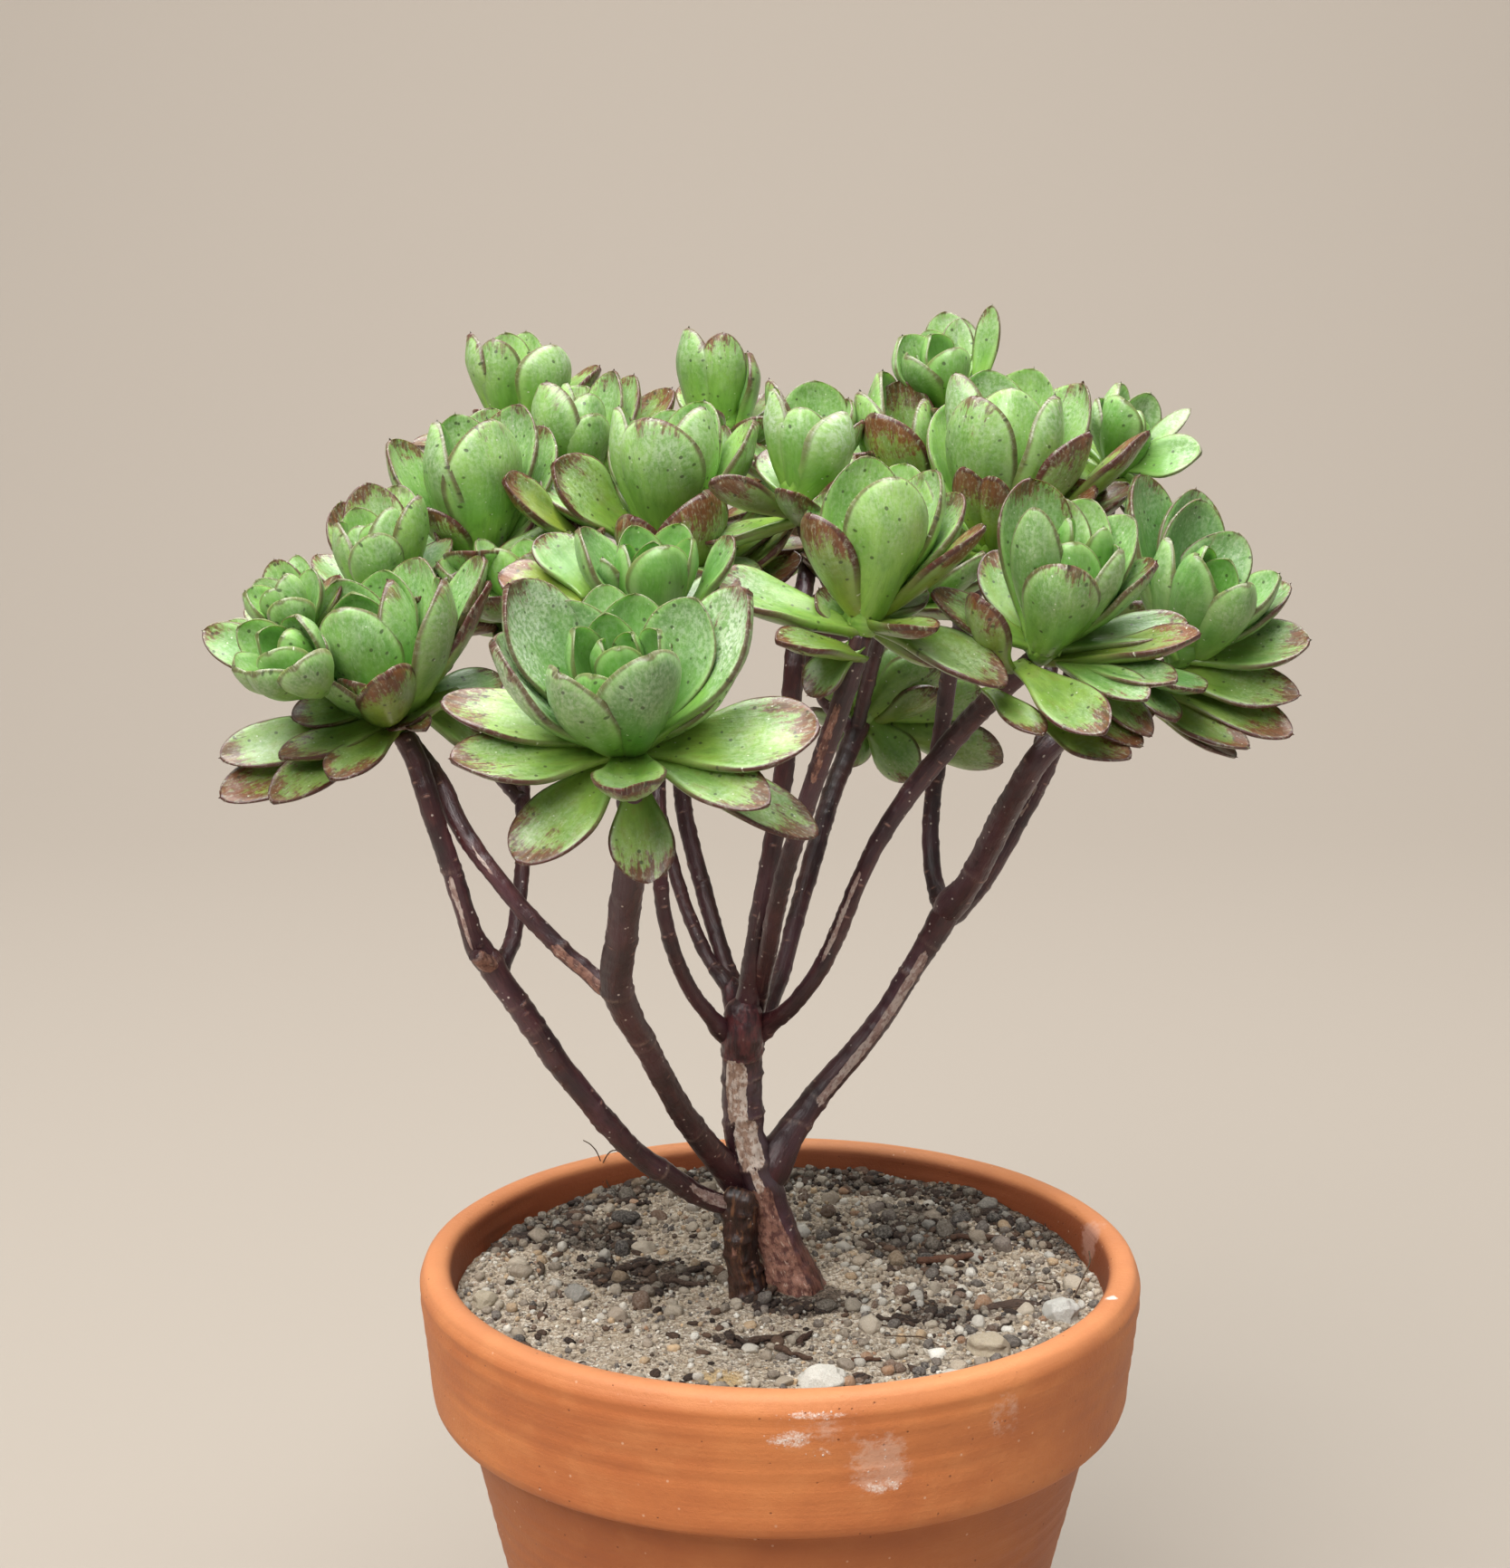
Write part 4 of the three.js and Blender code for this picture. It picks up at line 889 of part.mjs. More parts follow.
// ---- rosettes ----
for (const r of ROSETTES) {
  const crown = v3(r.crown), axis = v3(r.axis).normalize();
  // The longest and outermost leaves that stand clear of each other; the tight young ones
  // in the middle are carried by one solid bud.
  const reach = Math.max(...r.leaves.map((q) => Math.hypot(q[3], q[4], q[5])));
  const leaves = [];
  const worth = (q) => Math.hypot(q[3], q[4], q[5]) + Math.hypot(q[3] + r.crown[0], q[4] + r.crown[1]);
  const byLength = r.leaves.slice().sort((p, q) => worth(q) - worth(p));
  for (const row of byLength) {
    if (v3(row.slice(3)).distanceTo(v3(row)) < 10) continue;
    if (leaves.some((q) => v3(q.slice(3)).distanceTo(v3(row.slice(3))) < LEAF_SPACING * reach)) continue;
    leaves.push(row);
  }
  const cr = reach < 19 ? 2.8 : 3.6;
  const make = (g) => {
    const parts = leaves.map((row) => leaf(crown, axis, row, g));
    parts.push(knot(crown.clone().addScaledVector(axis, cr * 0.9), axis, cr + g, cr * 1.9 + g));
    if (r.stalk.length) parts.push(limb(r.stalk, 6, g));
    return Manifold.union(parts);
  };
  // Simplifying can push a facet back into a neighbour, so the piece is cut free once more.
  const m = cutFree(cutFree(make(0)).simplify(TOL));
  done.push(make(GAP));
  addMesh(r.name, m, 0x76a35a, 0.45, r.crown, 0);
}

export default group;
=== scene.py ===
"""A potted aeonium: a branching succulent with cupped leaf rosettes in a clay pot of gritty soil.
Lengths in the tables are millimetres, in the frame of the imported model."""
import bpy
import math
import numpy as np
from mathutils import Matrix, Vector


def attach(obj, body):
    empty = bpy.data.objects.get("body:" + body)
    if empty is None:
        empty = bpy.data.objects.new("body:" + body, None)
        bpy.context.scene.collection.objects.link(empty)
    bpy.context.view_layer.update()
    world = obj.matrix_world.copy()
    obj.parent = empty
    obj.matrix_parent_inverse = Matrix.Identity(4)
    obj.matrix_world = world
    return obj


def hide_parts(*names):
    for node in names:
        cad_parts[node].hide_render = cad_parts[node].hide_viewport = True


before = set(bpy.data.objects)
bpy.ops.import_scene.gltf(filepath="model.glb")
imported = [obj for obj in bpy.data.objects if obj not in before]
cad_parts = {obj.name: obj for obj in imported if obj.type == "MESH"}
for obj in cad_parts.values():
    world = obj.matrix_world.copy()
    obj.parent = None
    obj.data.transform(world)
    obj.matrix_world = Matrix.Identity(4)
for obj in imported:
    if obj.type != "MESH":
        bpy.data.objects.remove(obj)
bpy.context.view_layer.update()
MM = 0.001

# ---------------------------------------------------------------- camera
cam_data = bpy.data.cameras.new("camera")
cam = bpy.data.objects.new("camera", cam_data)
bpy.context.scene.collection.objects.link(cam)
cam.location = (-0.0045, -0.455, 0.294)
cam.rotation_euler = (math.radians(90 - 10.94), 0, 0)
cam_data.lens = 60.57
cam_data.sensor_width = 36
cam_data.clip_start = 0.01
cam_data.clip_end = 50
bpy.context.scene.camera = cam

# ---------------------------------------------------------------- tables
# stems: name, parent, centre line of (x, y, z, radius)
STEMS = [
    ('trunk', None, [(4.4, -3, 110.6, 5.26), (3, -3, 114.4, 4.92), (1.6, -3, 117.9, 4.5), (0.1, -3, 122, 4.09), (-1.6, -3, 126.9, 3.75), (-3, -3, 131.7, 3.75), (-4.7, -3, 136.4, 3.82), (-6, -3, 141.2, 3.81), (-6.6, -3, 145.3, 3.73), (-6.8, -3, 152, 3.72), (-6.8, -3.5, 157.5, 3.7), (-6.7, -5, 162, 4.01), (-6.6, -5, 165, 3.68)]),
    ('branch_left_low', 'trunk', [(-6.5, -3, 128.9, 1.96), (-10.8, -7, 131.2, 1.94), (-15.4, -11, 134.7, 2), (-20.1, -16, 140, 2.05), (-24.8, -20, 144.8, 2.03), (-29.1, -24, 151, 2.09), (-33.1, -27, 157.3, 2.07), (-37.2, -29, 163.5, 2.13), (-40.6, -31, 169.6, 2.19), (-43.6, -32, 174.7, 2.18), (-46.6, -33, 179.4, 2.24), (-48.3, -33, 182.6, 2.39)]),
    ('branch_left_low_outer', 'branch_left_low', [(-49.3, -33, 183.5, 2.02), (-50.8, -34, 186.9, 1.86), (-52.2, -35, 192.3, 1.78), (-54, -36, 199.2, 1.77), (-55.8, -37, 205.4, 1.83), (-57.4, -37, 211.1, 1.9), (-59, -36, 216.1, 1.9), (-61.3, -35, 220.9, 1.9)]),
    ('branch_left_low_inner', 'branch_left_low', [(-46.9, -31, 181.1, 1.65), (-45.2, -27, 184.1, 1.44), (-44.5, -22, 188.7, 1.37), (-44.2, -16, 194.4, 1.39), (-44.4, -10, 200.2, 1.4), (-45, -4, 206.2, 1.42), (-46, 0, 216.7, 1.43), (-47.9, 3, 229, 1.43), (-50.2, 4, 238.5, 1.58), (-52.1, 4, 242.3, 1.74)]),
    ('branch_front', 'trunk', [(-4.8, 1, 130.2, 2.79), (-8.1, -2.5, 134.7, 2.93), (-11.4, -7, 139.9, 2.66), (-14.6, -13, 146.2, 2.38), (-17.9, -21, 154.3, 2.17), (-20.5, -28, 161.9, 2.13), (-22.7, -36, 169.4, 2.16), (-25, -41, 175.3, 2.43), (-26.5, -45, 180.8, 2.69), (-26.6, -48, 185.4, 2.74), (-25.6, -52, 190.8, 2.71), (-24.8, -56, 196.9, 2.67), (-23.8, -60, 202.9, 2.64), (-23.1, -63, 210.7, 2.61), (-22.9, -65, 216.7, 2.59), (-23.3, -64.5, 221.8, 2.59)]),
    ('branch_front_left', 'branch_front', [(-26.1, -44, 180.2, 1.75), (-29.3, -43, 181.6, 1.61), (-32.2, -42, 183.8, 1.54), (-35.6, -41, 186.5, 1.54), (-39.1, -40, 189.9, 1.54), (-42.6, -39, 193.4, 1.54), (-46.3, -38, 197.9, 1.54), (-50, -36, 202.2, 1.62), (-53.2, -34, 206.8, 1.7), (-55.9, -31, 211.7, 1.78), (-59.6, -27, 216, 1.64), (-65.1, -24, 222.3, 1.5), (-71.7, -28, 229.7, 1.41), (-76.3, -35, 235.5, 1.31)]),
    ('branch_right_low', 'trunk', [(-3.8, -2, 130.6, 3.1), (-2.1, -2, 134.9, 3.26), (-0.3, -1, 138.6, 3.26), (1.9, 1, 141.7, 2.94), (5.4, 4, 145.9, 2.55), (9, 6, 149.9, 2.39), (13.3, 8, 154.2, 2.31), (18.7, 10, 160.7, 2.15), (22.9, 11, 167.4, 2.15), (26.9, 12, 173.8, 2.31), (30.1, 12, 179.7, 2.72)]),
    ('branch_right_outer', 'branch_right_low', [(31, 11, 181.5, 2.55), (33.7, 8, 185.9, 2.45), (36.3, 4, 192.3, 2.42), (38.8, -2, 200.1, 2.38), (41.9, -8, 208.1, 2.34), (45.3, -10, 214, 2.25), (53.9, 1, 217.7, 2.14), (62.9, 6, 221.8, 2), (68.8, 5, 226.5, 1.91)]),
    ('branch_right_rear', 'branch_right_low', [(33, 15, 180.2, 1.99), (36.8, 18, 183.6, 2), (40.5, 19, 189.5, 2), (44.1, 20, 195.9, 2), (47.7, 21, 202.7, 2), (51.6, 22, 213, 1.91), (55.4, 25, 229.3, 1.83), (58.6, 26, 245.8, 1.73), (60.6, 26, 258.6, 1.64)]),
    ('branch_right_inner', 'branch_right_low', [(30.1, 14, 180.4, 1.9), (28.9, 17, 183.1, 1.75), (28.2, 20, 187, 1.67), (28, 23, 194.1, 1.68), (29, 25, 203.6, 1.68), (30.2, 25, 213.6, 1.67), (31.5, 22, 224.7, 1.73), (33.8, 15, 235.5, 1.7), (36.6, 10.5, 244.8, 1.68)]),
    ('stem_hub_left', 'trunk', [(-7.7, -2, 159.1, 1.94), (-10.3, -5.5, 162.8, 1.76), (-12.9, -9, 167.1, 1.51), (-15.5, -13, 171.8, 1.41), (-17.6, -16, 177.5, 1.4), (-19.2, -18, 183.3, 1.39), (-20.2, -19, 189.1, 1.38), (-20.6, -19, 195, 1.38), (-20.8, -17, 204, 1.38), (-20.9, -12, 214, 1.39), (-20.5, -6, 225.6, 1.56), (-19.9, -1, 237.5, 1.64), (-19.5, 0, 246.2, 1.72)]),
    ('stem_fork_left', 'trunk', [(-9.6, 5, 168.5, 1.47), (-12.5, 8, 171.6, 1.31), (-15.5, 11, 177.1, 1.32), (-17.9, 14, 182.8, 1.32), (-19.8, 17, 188.6, 1.33), (-22.2, 21, 197.1, 1.33), (-25.5, 24, 209.2, 1.34), (-29.3, 26, 222.4, 1.42), (-33.3, 26, 237.5, 1.49), (-36.1, 26, 253, 1.56)]),
    ('stem_fork_right', 'trunk', [(-8.8, 7, 168.3, 1.64), (-10.1, 9, 171.8, 1.64), (-12.1, 13, 177.3, 1.65), (-14.2, 18, 183.7, 1.67), (-16.2, 23, 189.8, 1.68), (-17.7, 28, 195.6, 1.69), (-18.5, 34, 204, 1.71), (-17.6, 40, 216.9, 1.72), (-15.2, 45, 233.5, 1.64), (-12.6, 48, 250.5, 1.64), (-11, 48, 262.1, 1.54)]),
    ('stem_centre', 'trunk', [(-6.4, -2, 161.4, 2.1), (-5.8, -4.5, 168, 2), (-4.7, -9, 177.4, 1.89), (-2.8, -12, 190.3, 1.79), (-1.1, -13, 200, 1.78), (0.1, -14, 208.1, 1.77), (1.3, -14, 219.1, 1.84), (2.1, -14, 228.4, 1.91), (2.9, -10, 235.5, 1.84), (4.3, 0, 242.1, 1.72), (5.6, 12, 248.8, 1.6), (6.7, 25, 255.7, 1.48)]),
    ('stem_centre_right', 'trunk', [(-5.3, 0, 160.8, 2.02), (-4.2, -2.5, 166.9, 1.85), (-2.6, -10.5, 176.7, 1.73), (-0.8, -18, 188.5, 1.7), (1.4, -23, 198.3, 1.67), (3.9, -27, 207.6, 1.72), (6.5, -30, 216.1, 1.78), (8.9, -33, 223.8, 1.83), (11.1, -35, 231.5, 1.82), (12.6, -36, 237.5, 1.81)]),
    ('stem_right_rear', 'trunk', [(-3.8, 4, 159.7, 1.96), (-1.9, 10, 163.1, 1.82), (0.4, 17, 167.2, 1.76), (3.3, 26, 175.8, 1.78), (6.2, 34, 183.9, 1.89), (9.6, 44, 193.3, 2.01), (13.6, 54, 201.8, 2.13), (16.2, 59, 206.7, 2.24)]),
    ('stem_right_curve', 'trunk', [(-5.1, -1.5, 159.9, 2.1), (-2.1, -4.5, 163.8, 1.84), (1.5, -8.5, 167.6, 1.59), (5.6, -12, 173.8, 1.57), (9.3, -13, 181.2, 1.56), (12.9, -13, 190.5, 1.56), (17, -12, 199, 1.63), (22, -12, 206.8, 1.78), (27.3, -13, 213.9, 1.93), (32.1, -16, 220.5, 1.99), (37.5, -24, 227.7, 1.94), (41.4, -30.5, 233.2, 1.84)]),
]
HUB = [(-7.4, 1, 159.5, 2.27), (-8.1, 3, 163.7, 2.04), (-8.9, 5, 167.9, 1.96)]
KNOB = [(-47.7, -33, 182, 1.94), (-49, -36, 183.4, 1.63), (-50.1, -38, 184.8, 1.25)]
STUMP = [(-6.3, -5, 113.5, 2.61), (-7.4, -5.5, 118.2, 2.28), (-8.1, -6, 123.5, 2.19), (-8.1, -6.5, 128.1, 2.27), (-7.6, -7, 132.1, 2.26), (-7.1, -6.5, 133.2, 1.94)]
# short stalks that carry some rosettes
STALKS = {
    'rosette_far_left_low': [(-60.8, -35, 219.8, 1.18), (-62.9, -31, 222.6, 1.18), (-67.7, -31, 225.1, 1.25), (-71.2, -39, 228.6, 1.3), (-72.6, -47, 231.1, 1.27)],
    'rosette_left_mid': [(-64.6, -24.3, 221.7, 1.28), (-65.3, -22, 224.7, 1.28), (-66.1, -17, 230.4, 1.37), (-66.8, -14, 237.6, 1.52)],
    'rosette_bud_rear': [(-23.1, -62.6, 210.2, 1.3), (-22.6, -58, 215.3, 1.25), (-21.6, -53, 222.9, 1.26), (-20.7, -46, 231.7, 1.35), (-20.5, -42.5, 238.1, 1.43)],
    'rosette_top_left': [(-30.4, 26.3, 226.6, 1.25), (-31.6, 29, 230.4, 1.25), (-39.7, 36, 244.8, 1.35), (-46.3, 42, 257.8, 1.44), (-48.6, 44, 263.7, 1.53)],
    'rosette_closed_bud': [(12.2, -35.6, 235.8, 1.46), (11.3, -32, 239.6, 1.46), (8, -24, 244.1, 1.56), (4.8, -17, 250.4, 1.65), (3.4, -14, 254.9, 1.81)],
    'rosette_mid_right_rear': [(15.2, 58, 204.1, 1.61), (18, 53, 218.4, 1.58), (21.4, 42, 235.6, 1.54), (23.3, 33, 248.1, 1.59)],
    'rosette_top_right': [(32.4, 25, 223.4, 1.33), (33.7, 32, 238.5, 1.34), (32.9, 38, 254.7, 1.43), (31.9, 40, 268.7, 1.52)],
    'rosette_inner_left': [(-47.9, 3, 228.7, 1.5), (-45, -7, 232, 1.5), (-42.5, -13, 236, 1.5)],
    'rosette_inner_right': [(2.9, -11, 234.1, 1.5), (12, -7, 234, 1.5), (19, -4, 237, 1.5)],
    'rosette_rear_left': [(-24.2, 23, 204.3, 1.5), (-28, 42, 214, 1.5), (-36, 61, 223, 1.5)],
    'rosette_rear_centre': [(15.3, 57, 204.8, 1.5), (8, 60, 214, 1.5), (3, 63, 233, 1.5)],
    'rosette_rear_right': [(45.9, 20.5, 199.4, 1.5), (50, 38, 208, 1.5), (54, 57, 223, 1.5)],
    'rosette_rear_far_left': [(-44.9, -6, 204.2, 1.5), (-57, 10, 214, 1.5), (-67.5, 29, 223, 1.5)],
}
# rosettes: C crown, A axis, L leaves of (base xyz, tip xyz, width, bend, cup, petiole, age)
ROSETTES = {
    'rosette_front': {"C": (-23.45, -64, 223.98), "A": (-0.03, -0.5, 0.86), "L": [
        (-23.45, -64, 223.98, -51.16, -68, 231.66, 12.13, 0.15, 0.1, 0.34, 0.75, 0),
        (-23.45, -64, 223.98, -49.29, -74, 224.15, 13.05, 0.15, 0.1, 0.34, 0.75, 0),
        (-23.45, -64, 223.98, -39.67, -76, 209.07, 13.04, 0.05, 0.1, 0.3, 0.8, 0),
        (-22.79, -64, 220.65, -20.41, -72, 204.86, 10.71, -0.15, 0.1, 0.34, 0.8, 0),
        (-23.45, -64, 223.98, -22.98, -88, 222.28, 11.82, 0.5, 0.16, 0.45, 0.7, 0),
        (-23.45, -64, 223.98, -2.38, -77, 217.97, 10.71, 0.1, 0.12, 0.34, 0.8, 0),
        (-23.45, -64, 223.98, 5.15, -62, 210.17, 11.45, -0.05, 0.1, 0.34, 0.85, 0),
        (-23.45, -64, 223.98, 5.17, -69, 228.01, 16.28, 0.15, 0.12, 0.34, 0.8, 0),
        (-23.45, -64, 223.98, -7.74, -66, 235.43, 8.99, 0.4, 0.2, 0.5, 0.6, 0),
        (-23.45, -64, 223.98, -40.57, -70, 249.43, 17.51, 0.55, 0.14, 0.4, 0.5, 0),
        (-23.45, -64, 223.98, -42.49, -75, 241.7, 16.11, 0.55, 0.14, 0.4, 0.5, 0),
        (-23.45, -64, 223.98, -5.57, -68, 248.27, 17.04, 0.55, 0.14, 0.4, 0.5, 0),
        (-23.45, -64, 223.98, -13.4, -64, 246.71, 13.92, 0.45, 0.2, 0.5, 0.25, 0),
        (-23.45, -64, 223.98, -33.7, -63, 246.05, 13.64, 0.45, 0.2, 0.5, 0.25, 0),
        (-23.45, -64, 223.98, -27.67, -57, 247.93, 11.64, 0.35, 0.2, 0.5, 0.2, 0),
        (-23.45, -64, 223.98, -22.47, -60, 246.91, 13.05, 0.35, 0.2, 0.5, 0.15, 0),
        (-24.09, -64, 228.26, -26.85, -65, 244.53, 9.26, 0.4, 0.22, 0.55, 0.1, 0),
        (-25.18, -64, 227.57, -31.11, -70, 242.76, 9.73, 0.5, 0.2, 0.55, 0.1, 0),
        (-24.07, -64, 230.32, -22.83, -68, 241.95, 6.92, 0.4, 0.22, 0.6, 0.05, 0),
        (-23.01, -64, 227.57, -18.8, -72, 242.89, 9.96, 0.5, 0.22, 0.55, 0.1, 0),
        (-24.61, -64, 230.32, -27.08, -71, 241.15, 7.35, 0.5, 0.2, 0.6, 0.05, 0),
        (-23.8, -64, 229.64, -24.28, -74, 240.77, 8.38, 0.5, 0.2, 0.6, 0.05, 0),
        (-23.45, -64, 223.98, -32.56, -82, 238.23, 14.15, 0.6, 0.2, 0.5, 0.3, 0),
        (-23.45, -64, 223.98, -19.66, -84, 241, 14.86, 0.6, 0.22, 0.52, 0.25, 0),
        (-24.11, -64, 225.91, -27.9, -78, 237.24, 10.31, 0.6, 0.22, 0.55, 0.15, 0),
        (-23.45, -64, 223.98, -30.2, -51.16, 241.5, 11.83, 0.35, 0.14, 0.38, 0.7, -0.06),
    ]},
    'rosette_bud_rear': {"C": (-20.48, -42, 239.46), "A": (0, -0.22, 0.98), "L": [
        (-20.48, -42, 239.46, -23.91, -39, 255.16, 9.15, 0.45, 0.2, 0.55, 0.1, 0),
        (-20.48, -42, 239.46, -16.23, -38, 255.35, 9.56, 0.45, 0.2, 0.55, 0.1, 0),
        (-20.48, -42, 239.46, -24.78, -45, 252.62, 10.45, 0.5, 0.2, 0.6, 0.1, 0),
        (-20.48, -42, 239.46, -18.55, -50, 253.12, 11.47, 0.55, 0.24, 0.6, 0.12, 0),
        (-20.48, -42, 239.46, -14.38, -44, 253.51, 8.65, 0.5, 0.2, 0.55, 0.1, 0),
        (-14.33, -42, 242.33, -8.04, -43, 253.83, 7.76, 0.2, 0.1, 0.4, 0.5, 0),
        (-20.48, -42, 239.46, -31.99, -42, 255.01, 13.71, 0.45, 0.16, 0.45, 0.4, 0),
        (-25.01, -42, 243.33, -28.12, -46, 250.75, 5.9, 0.4, 0.2, 0.5, 0.2, 0),
        (-20.48, -42, 239.46, -20.31, -44, 253.08, 7.71, 0.5, 0.25, 0.6, 0.05, 0),
        (-30.69, -42, 244.76, -38.65, -37, 253.25, 9.39, 0.3, 0.14, 0.4, 0.6, -0.28),
        (-17.9, -42, 241.18, -7.24, -36, 246.22, 9.42, 0.1, 0.12, 0.4, 0.75, 0.27),
        (-32.13, -42, 243.76, -44.92, -40, 247.68, 10.82, 0.12, 0.12, 0.4, 0.97, -0.24),
        (-20.48, -42, 239.46, -16.38, -32.77, 247.97, 6.87, 0.35, 0.14, 0.38, 0.67, 0.03),
    ]},
    'rosette_left': {"C": (-63.69, -34, 222.47), "A": (-0.22, -0.28, 0.93), "L": [
        (-63.69, -34, 222.47, -69.28, -46, 242.97, 13.67, 0.65, 0.22, 0.52, 0.3, 0),
        (-63.69, -34, 222.47, -62.53, -40, 246.54, 13.9, 0.55, 0.2, 0.5, 0.42, 0),
        (-63.69, -34, 222.47, -53.61, -44, 247.13, 15.94, 0.55, 0.2, 0.5, 0.4, 0),
        (-63.69, -34, 222.47, -47.92, -34, 249.63, 14.44, 0.35, 0.14, 0.45, 0.45, 0),
        (-63.69, -34, 222.47, -46.68, -37, 246.05, 10.52, 0.15, 0.12, 0.4, 0.9, 0),
        (-63.69, -34, 222.47, -71.48, -34, 245.99, 13.88, 0.5, 0.2, 0.5, 0.3, 0),
        (-63.69, -34, 222.47, -64.46, -30, 247.15, 14.01, 0.45, 0.2, 0.55, 0.15, 0),
        (-63.69, -34, 222.47, -58.96, -28, 248.99, 15.46, 0.3, 0.15, 0.45, 0.4, 0),
        (-63.69, -34, 222.47, -68.76, -37, 244.17, 12.59, 0.5, 0.2, 0.55, 0.1, 0),
        (-64.39, -34, 223.81, -61.36, -54, 233.91, 11.45, 0.6, 0.2, 0.7, 0.9, -0.07),
        (-64.35, -34, 225.14, -89.24, -44, 218.79, 11.02, 0.1, 0.1, 0.36, 0.72, -0.42),
        (-62.76, -34, 224.25, -78.67, -50, 219.89, 8.27, 0.05, 0.1, 0.36, 0.85, -0.39),
        (-63.69, -34, 222.47, -89.07, -46, 212.76, 10.7, 0, 0.1, 0.34, 0.95, -0.38),
        (-63.69, -34, 222.47, -79.44, -54, 213.63, 9.7, 0.05, 0.1, 0.34, 0.85, -0.38),
        (-58.07, -34, 224.7, -49.58, -28, 218.43, 9.56, 0, 0.1, 0.4, 0.7, 0.59),
        (-59.95, -34, 225.74, -45.48, -30, 229.27, 10.18, 0.1, 0.1, 0.4, 0.6, 0.37),
        (-65.08, -34, 225.14, -78.4, -40, 224.66, 8.33, 0.05, 0.1, 0.36, 0.72, -0.39),
        (-63.65, -34, 223.96, -73.19, -49, 233.3, 11.24, 0.2, 0.12, 0.36, 0.5, -0.43),
        (-63.36, -34, 223.96, -67.89, -48, 231.72, 9.32, 0.2, 0.12, 0.4, 0.55, -0.28),
        (-60.99, -34, 224.85, -56.58, -44, 223.3, 4.92, -0.1, 0.12, 0.4, 0.9, 0.07),
        (-63.69, -34, 222.47, -74.72, -38, 232.97, 12.12, 0.3, 0.14, 0.4, 0.5, 0),
        (-62.22, -34, 222.47, -69.88, -56, 217.73, 8.56, 0, 0.1, 0.36, 0.88, -0.25),
        (-52.59, -34, 227.81, -63.3, -40, 222.76, 8.39, -0.15, 0.12, 0.35, 0.9, 0),
        (-63.69, -34, 222.47, -57.56, -20, 242.89, 11.73, 0.4, 0.16, 0.45, 0.4, 0),
        (-63.69, -34, 222.47, -72.29, -18, 236.59, 10.58, 0.4, 0.16, 0.45, 0.5, 0),
        (-63.69, -34, 222.47, -75.94, -25.84, 241.15, 14.27, 0.5, 0.18, 0.46, 0.35, -0.18),
    ]},
    'rosette_far_left_low': {"C": (-72.98, -48, 231.72), "A": (-0.38, -0.66, 0.64), "L": [
        (-72.98, -48, 231.72, -90.31, -48, 239.54, 8.75, 0.25, 0.12, 0.35, 0.6, 0),
        (-72.98, -48, 231.72, -87.5, -45, 240.28, 7.88, 0.3, 0.15, 0.4, 0.4, 0),
        (-72.98, -48, 231.72, -84.21, -51, 240.65, 8.21, 0.5, 0.2, 0.5, 0.2, 0),
        (-72.98, -48, 231.72, -83.41, -59, 235.63, 10.78, 0.6, 0.22, 0.5, 0.3, 0),
        (-72.98, -48, 231.72, -73.42, -65, 236.65, 9.91, 0.8, 0.26, 0.62, 0.3, 0),
        (-72.98, -48, 231.72, -79.79, -63, 235.39, 9.45, 0.7, 0.24, 0.55, 0.3, 0),
        (-72.98, -48, 231.72, -74.84, -54, 242.58, 9.65, 0.5, 0.2, 0.5, 0.3, 0),
        (-72.98, -48, 231.72, -80.23, -56, 240.2, 7.69, 0.5, 0.22, 0.55, 0.05, 0),
        (-72.98, -48, 231.72, -76.61, -57, 239.92, 7.11, 0.5, 0.22, 0.6, 0.05, 0),
        (-72.98, -48, 231.72, -77.88, -61, 238.12, 8.57, 0.6, 0.22, 0.6, 0.1, 0),
        (-72.98, -48, 231.72, -72.32, -48, 239.12, 5.94, 0.4, 0.16, 0.45, 0.4, 0),
        (-72.98, -48, 231.72, -79.96, -46, 240.27, 5.67, 0.4, 0.18, 0.45, 0.3, 0),
    ]},
    'rosette_far_left_high': {"C": (-76.95, -36, 236.77), "A": (-0.33, -0.36, 0.87), "L": [
        (-76.95, -36, 236.77, -81.74, -32, 248.98, 7.68, 0.4, 0.16, 0.45, 0.5, 0),
        (-76.95, -36, 236.77, -78.57, -30, 249.5, 6.51, 0.3, 0.18, 0.5, 0.3, 0),
        (-76.95, -36, 236.77, -75, -36, 247.96, 6.98, 0.4, 0.18, 0.5, 0.3, 0),
        (-76.95, -36, 236.77, -78.72, -42, 247.48, 7.93, 0.5, 0.2, 0.5, 0.2, 0),
        (-76.95, -36, 236.77, -85.22, -39, 244.69, 9.47, 0.5, 0.2, 0.5, 0.25, 0),
        (-76.95, -36, 236.77, -78.19, -48, 244.35, 7.98, 0.6, 0.22, 0.55, 0.2, 0),
        (-76.95, -36, 236.77, -80.74, -43, 245.45, 6.6, 0.5, 0.22, 0.6, 0.05, 0),
        (-76.95, -36, 236.77, -84.57, -33, 245.88, 6.86, 0.4, 0.16, 0.45, 0.3, 0),
        (-76.95, -36, 236.77, -71.45, -31.15, 246.38, 6.29, 0.35, 0.14, 0.38, 0.73, 0.17),
        (-76.95, -36, 236.77, -79.73, -27.31, 245.46, 6.55, 0.35, 0.14, 0.38, 0.68, 0.02),
        (-76.95, -36, 236.77, -86.7, -31, 241.18, 6.14, 0.35, 0.14, 0.38, 0.63, 0.11),
    ]},
    'rosette_left_mid': {"C": (-66.88, -14, 239.44), "A": (-0.15, -0.15, 0.98), "L": [
        (-66.88, -14, 239.44, -73.6, -17, 253.55, 12.41, 0.5, 0.18, 0.5, 0.35, 0),
        (-66.88, -14, 239.44, -70, -19, 253.29, 8.43, 0.5, 0.2, 0.5, 0.2, 0),
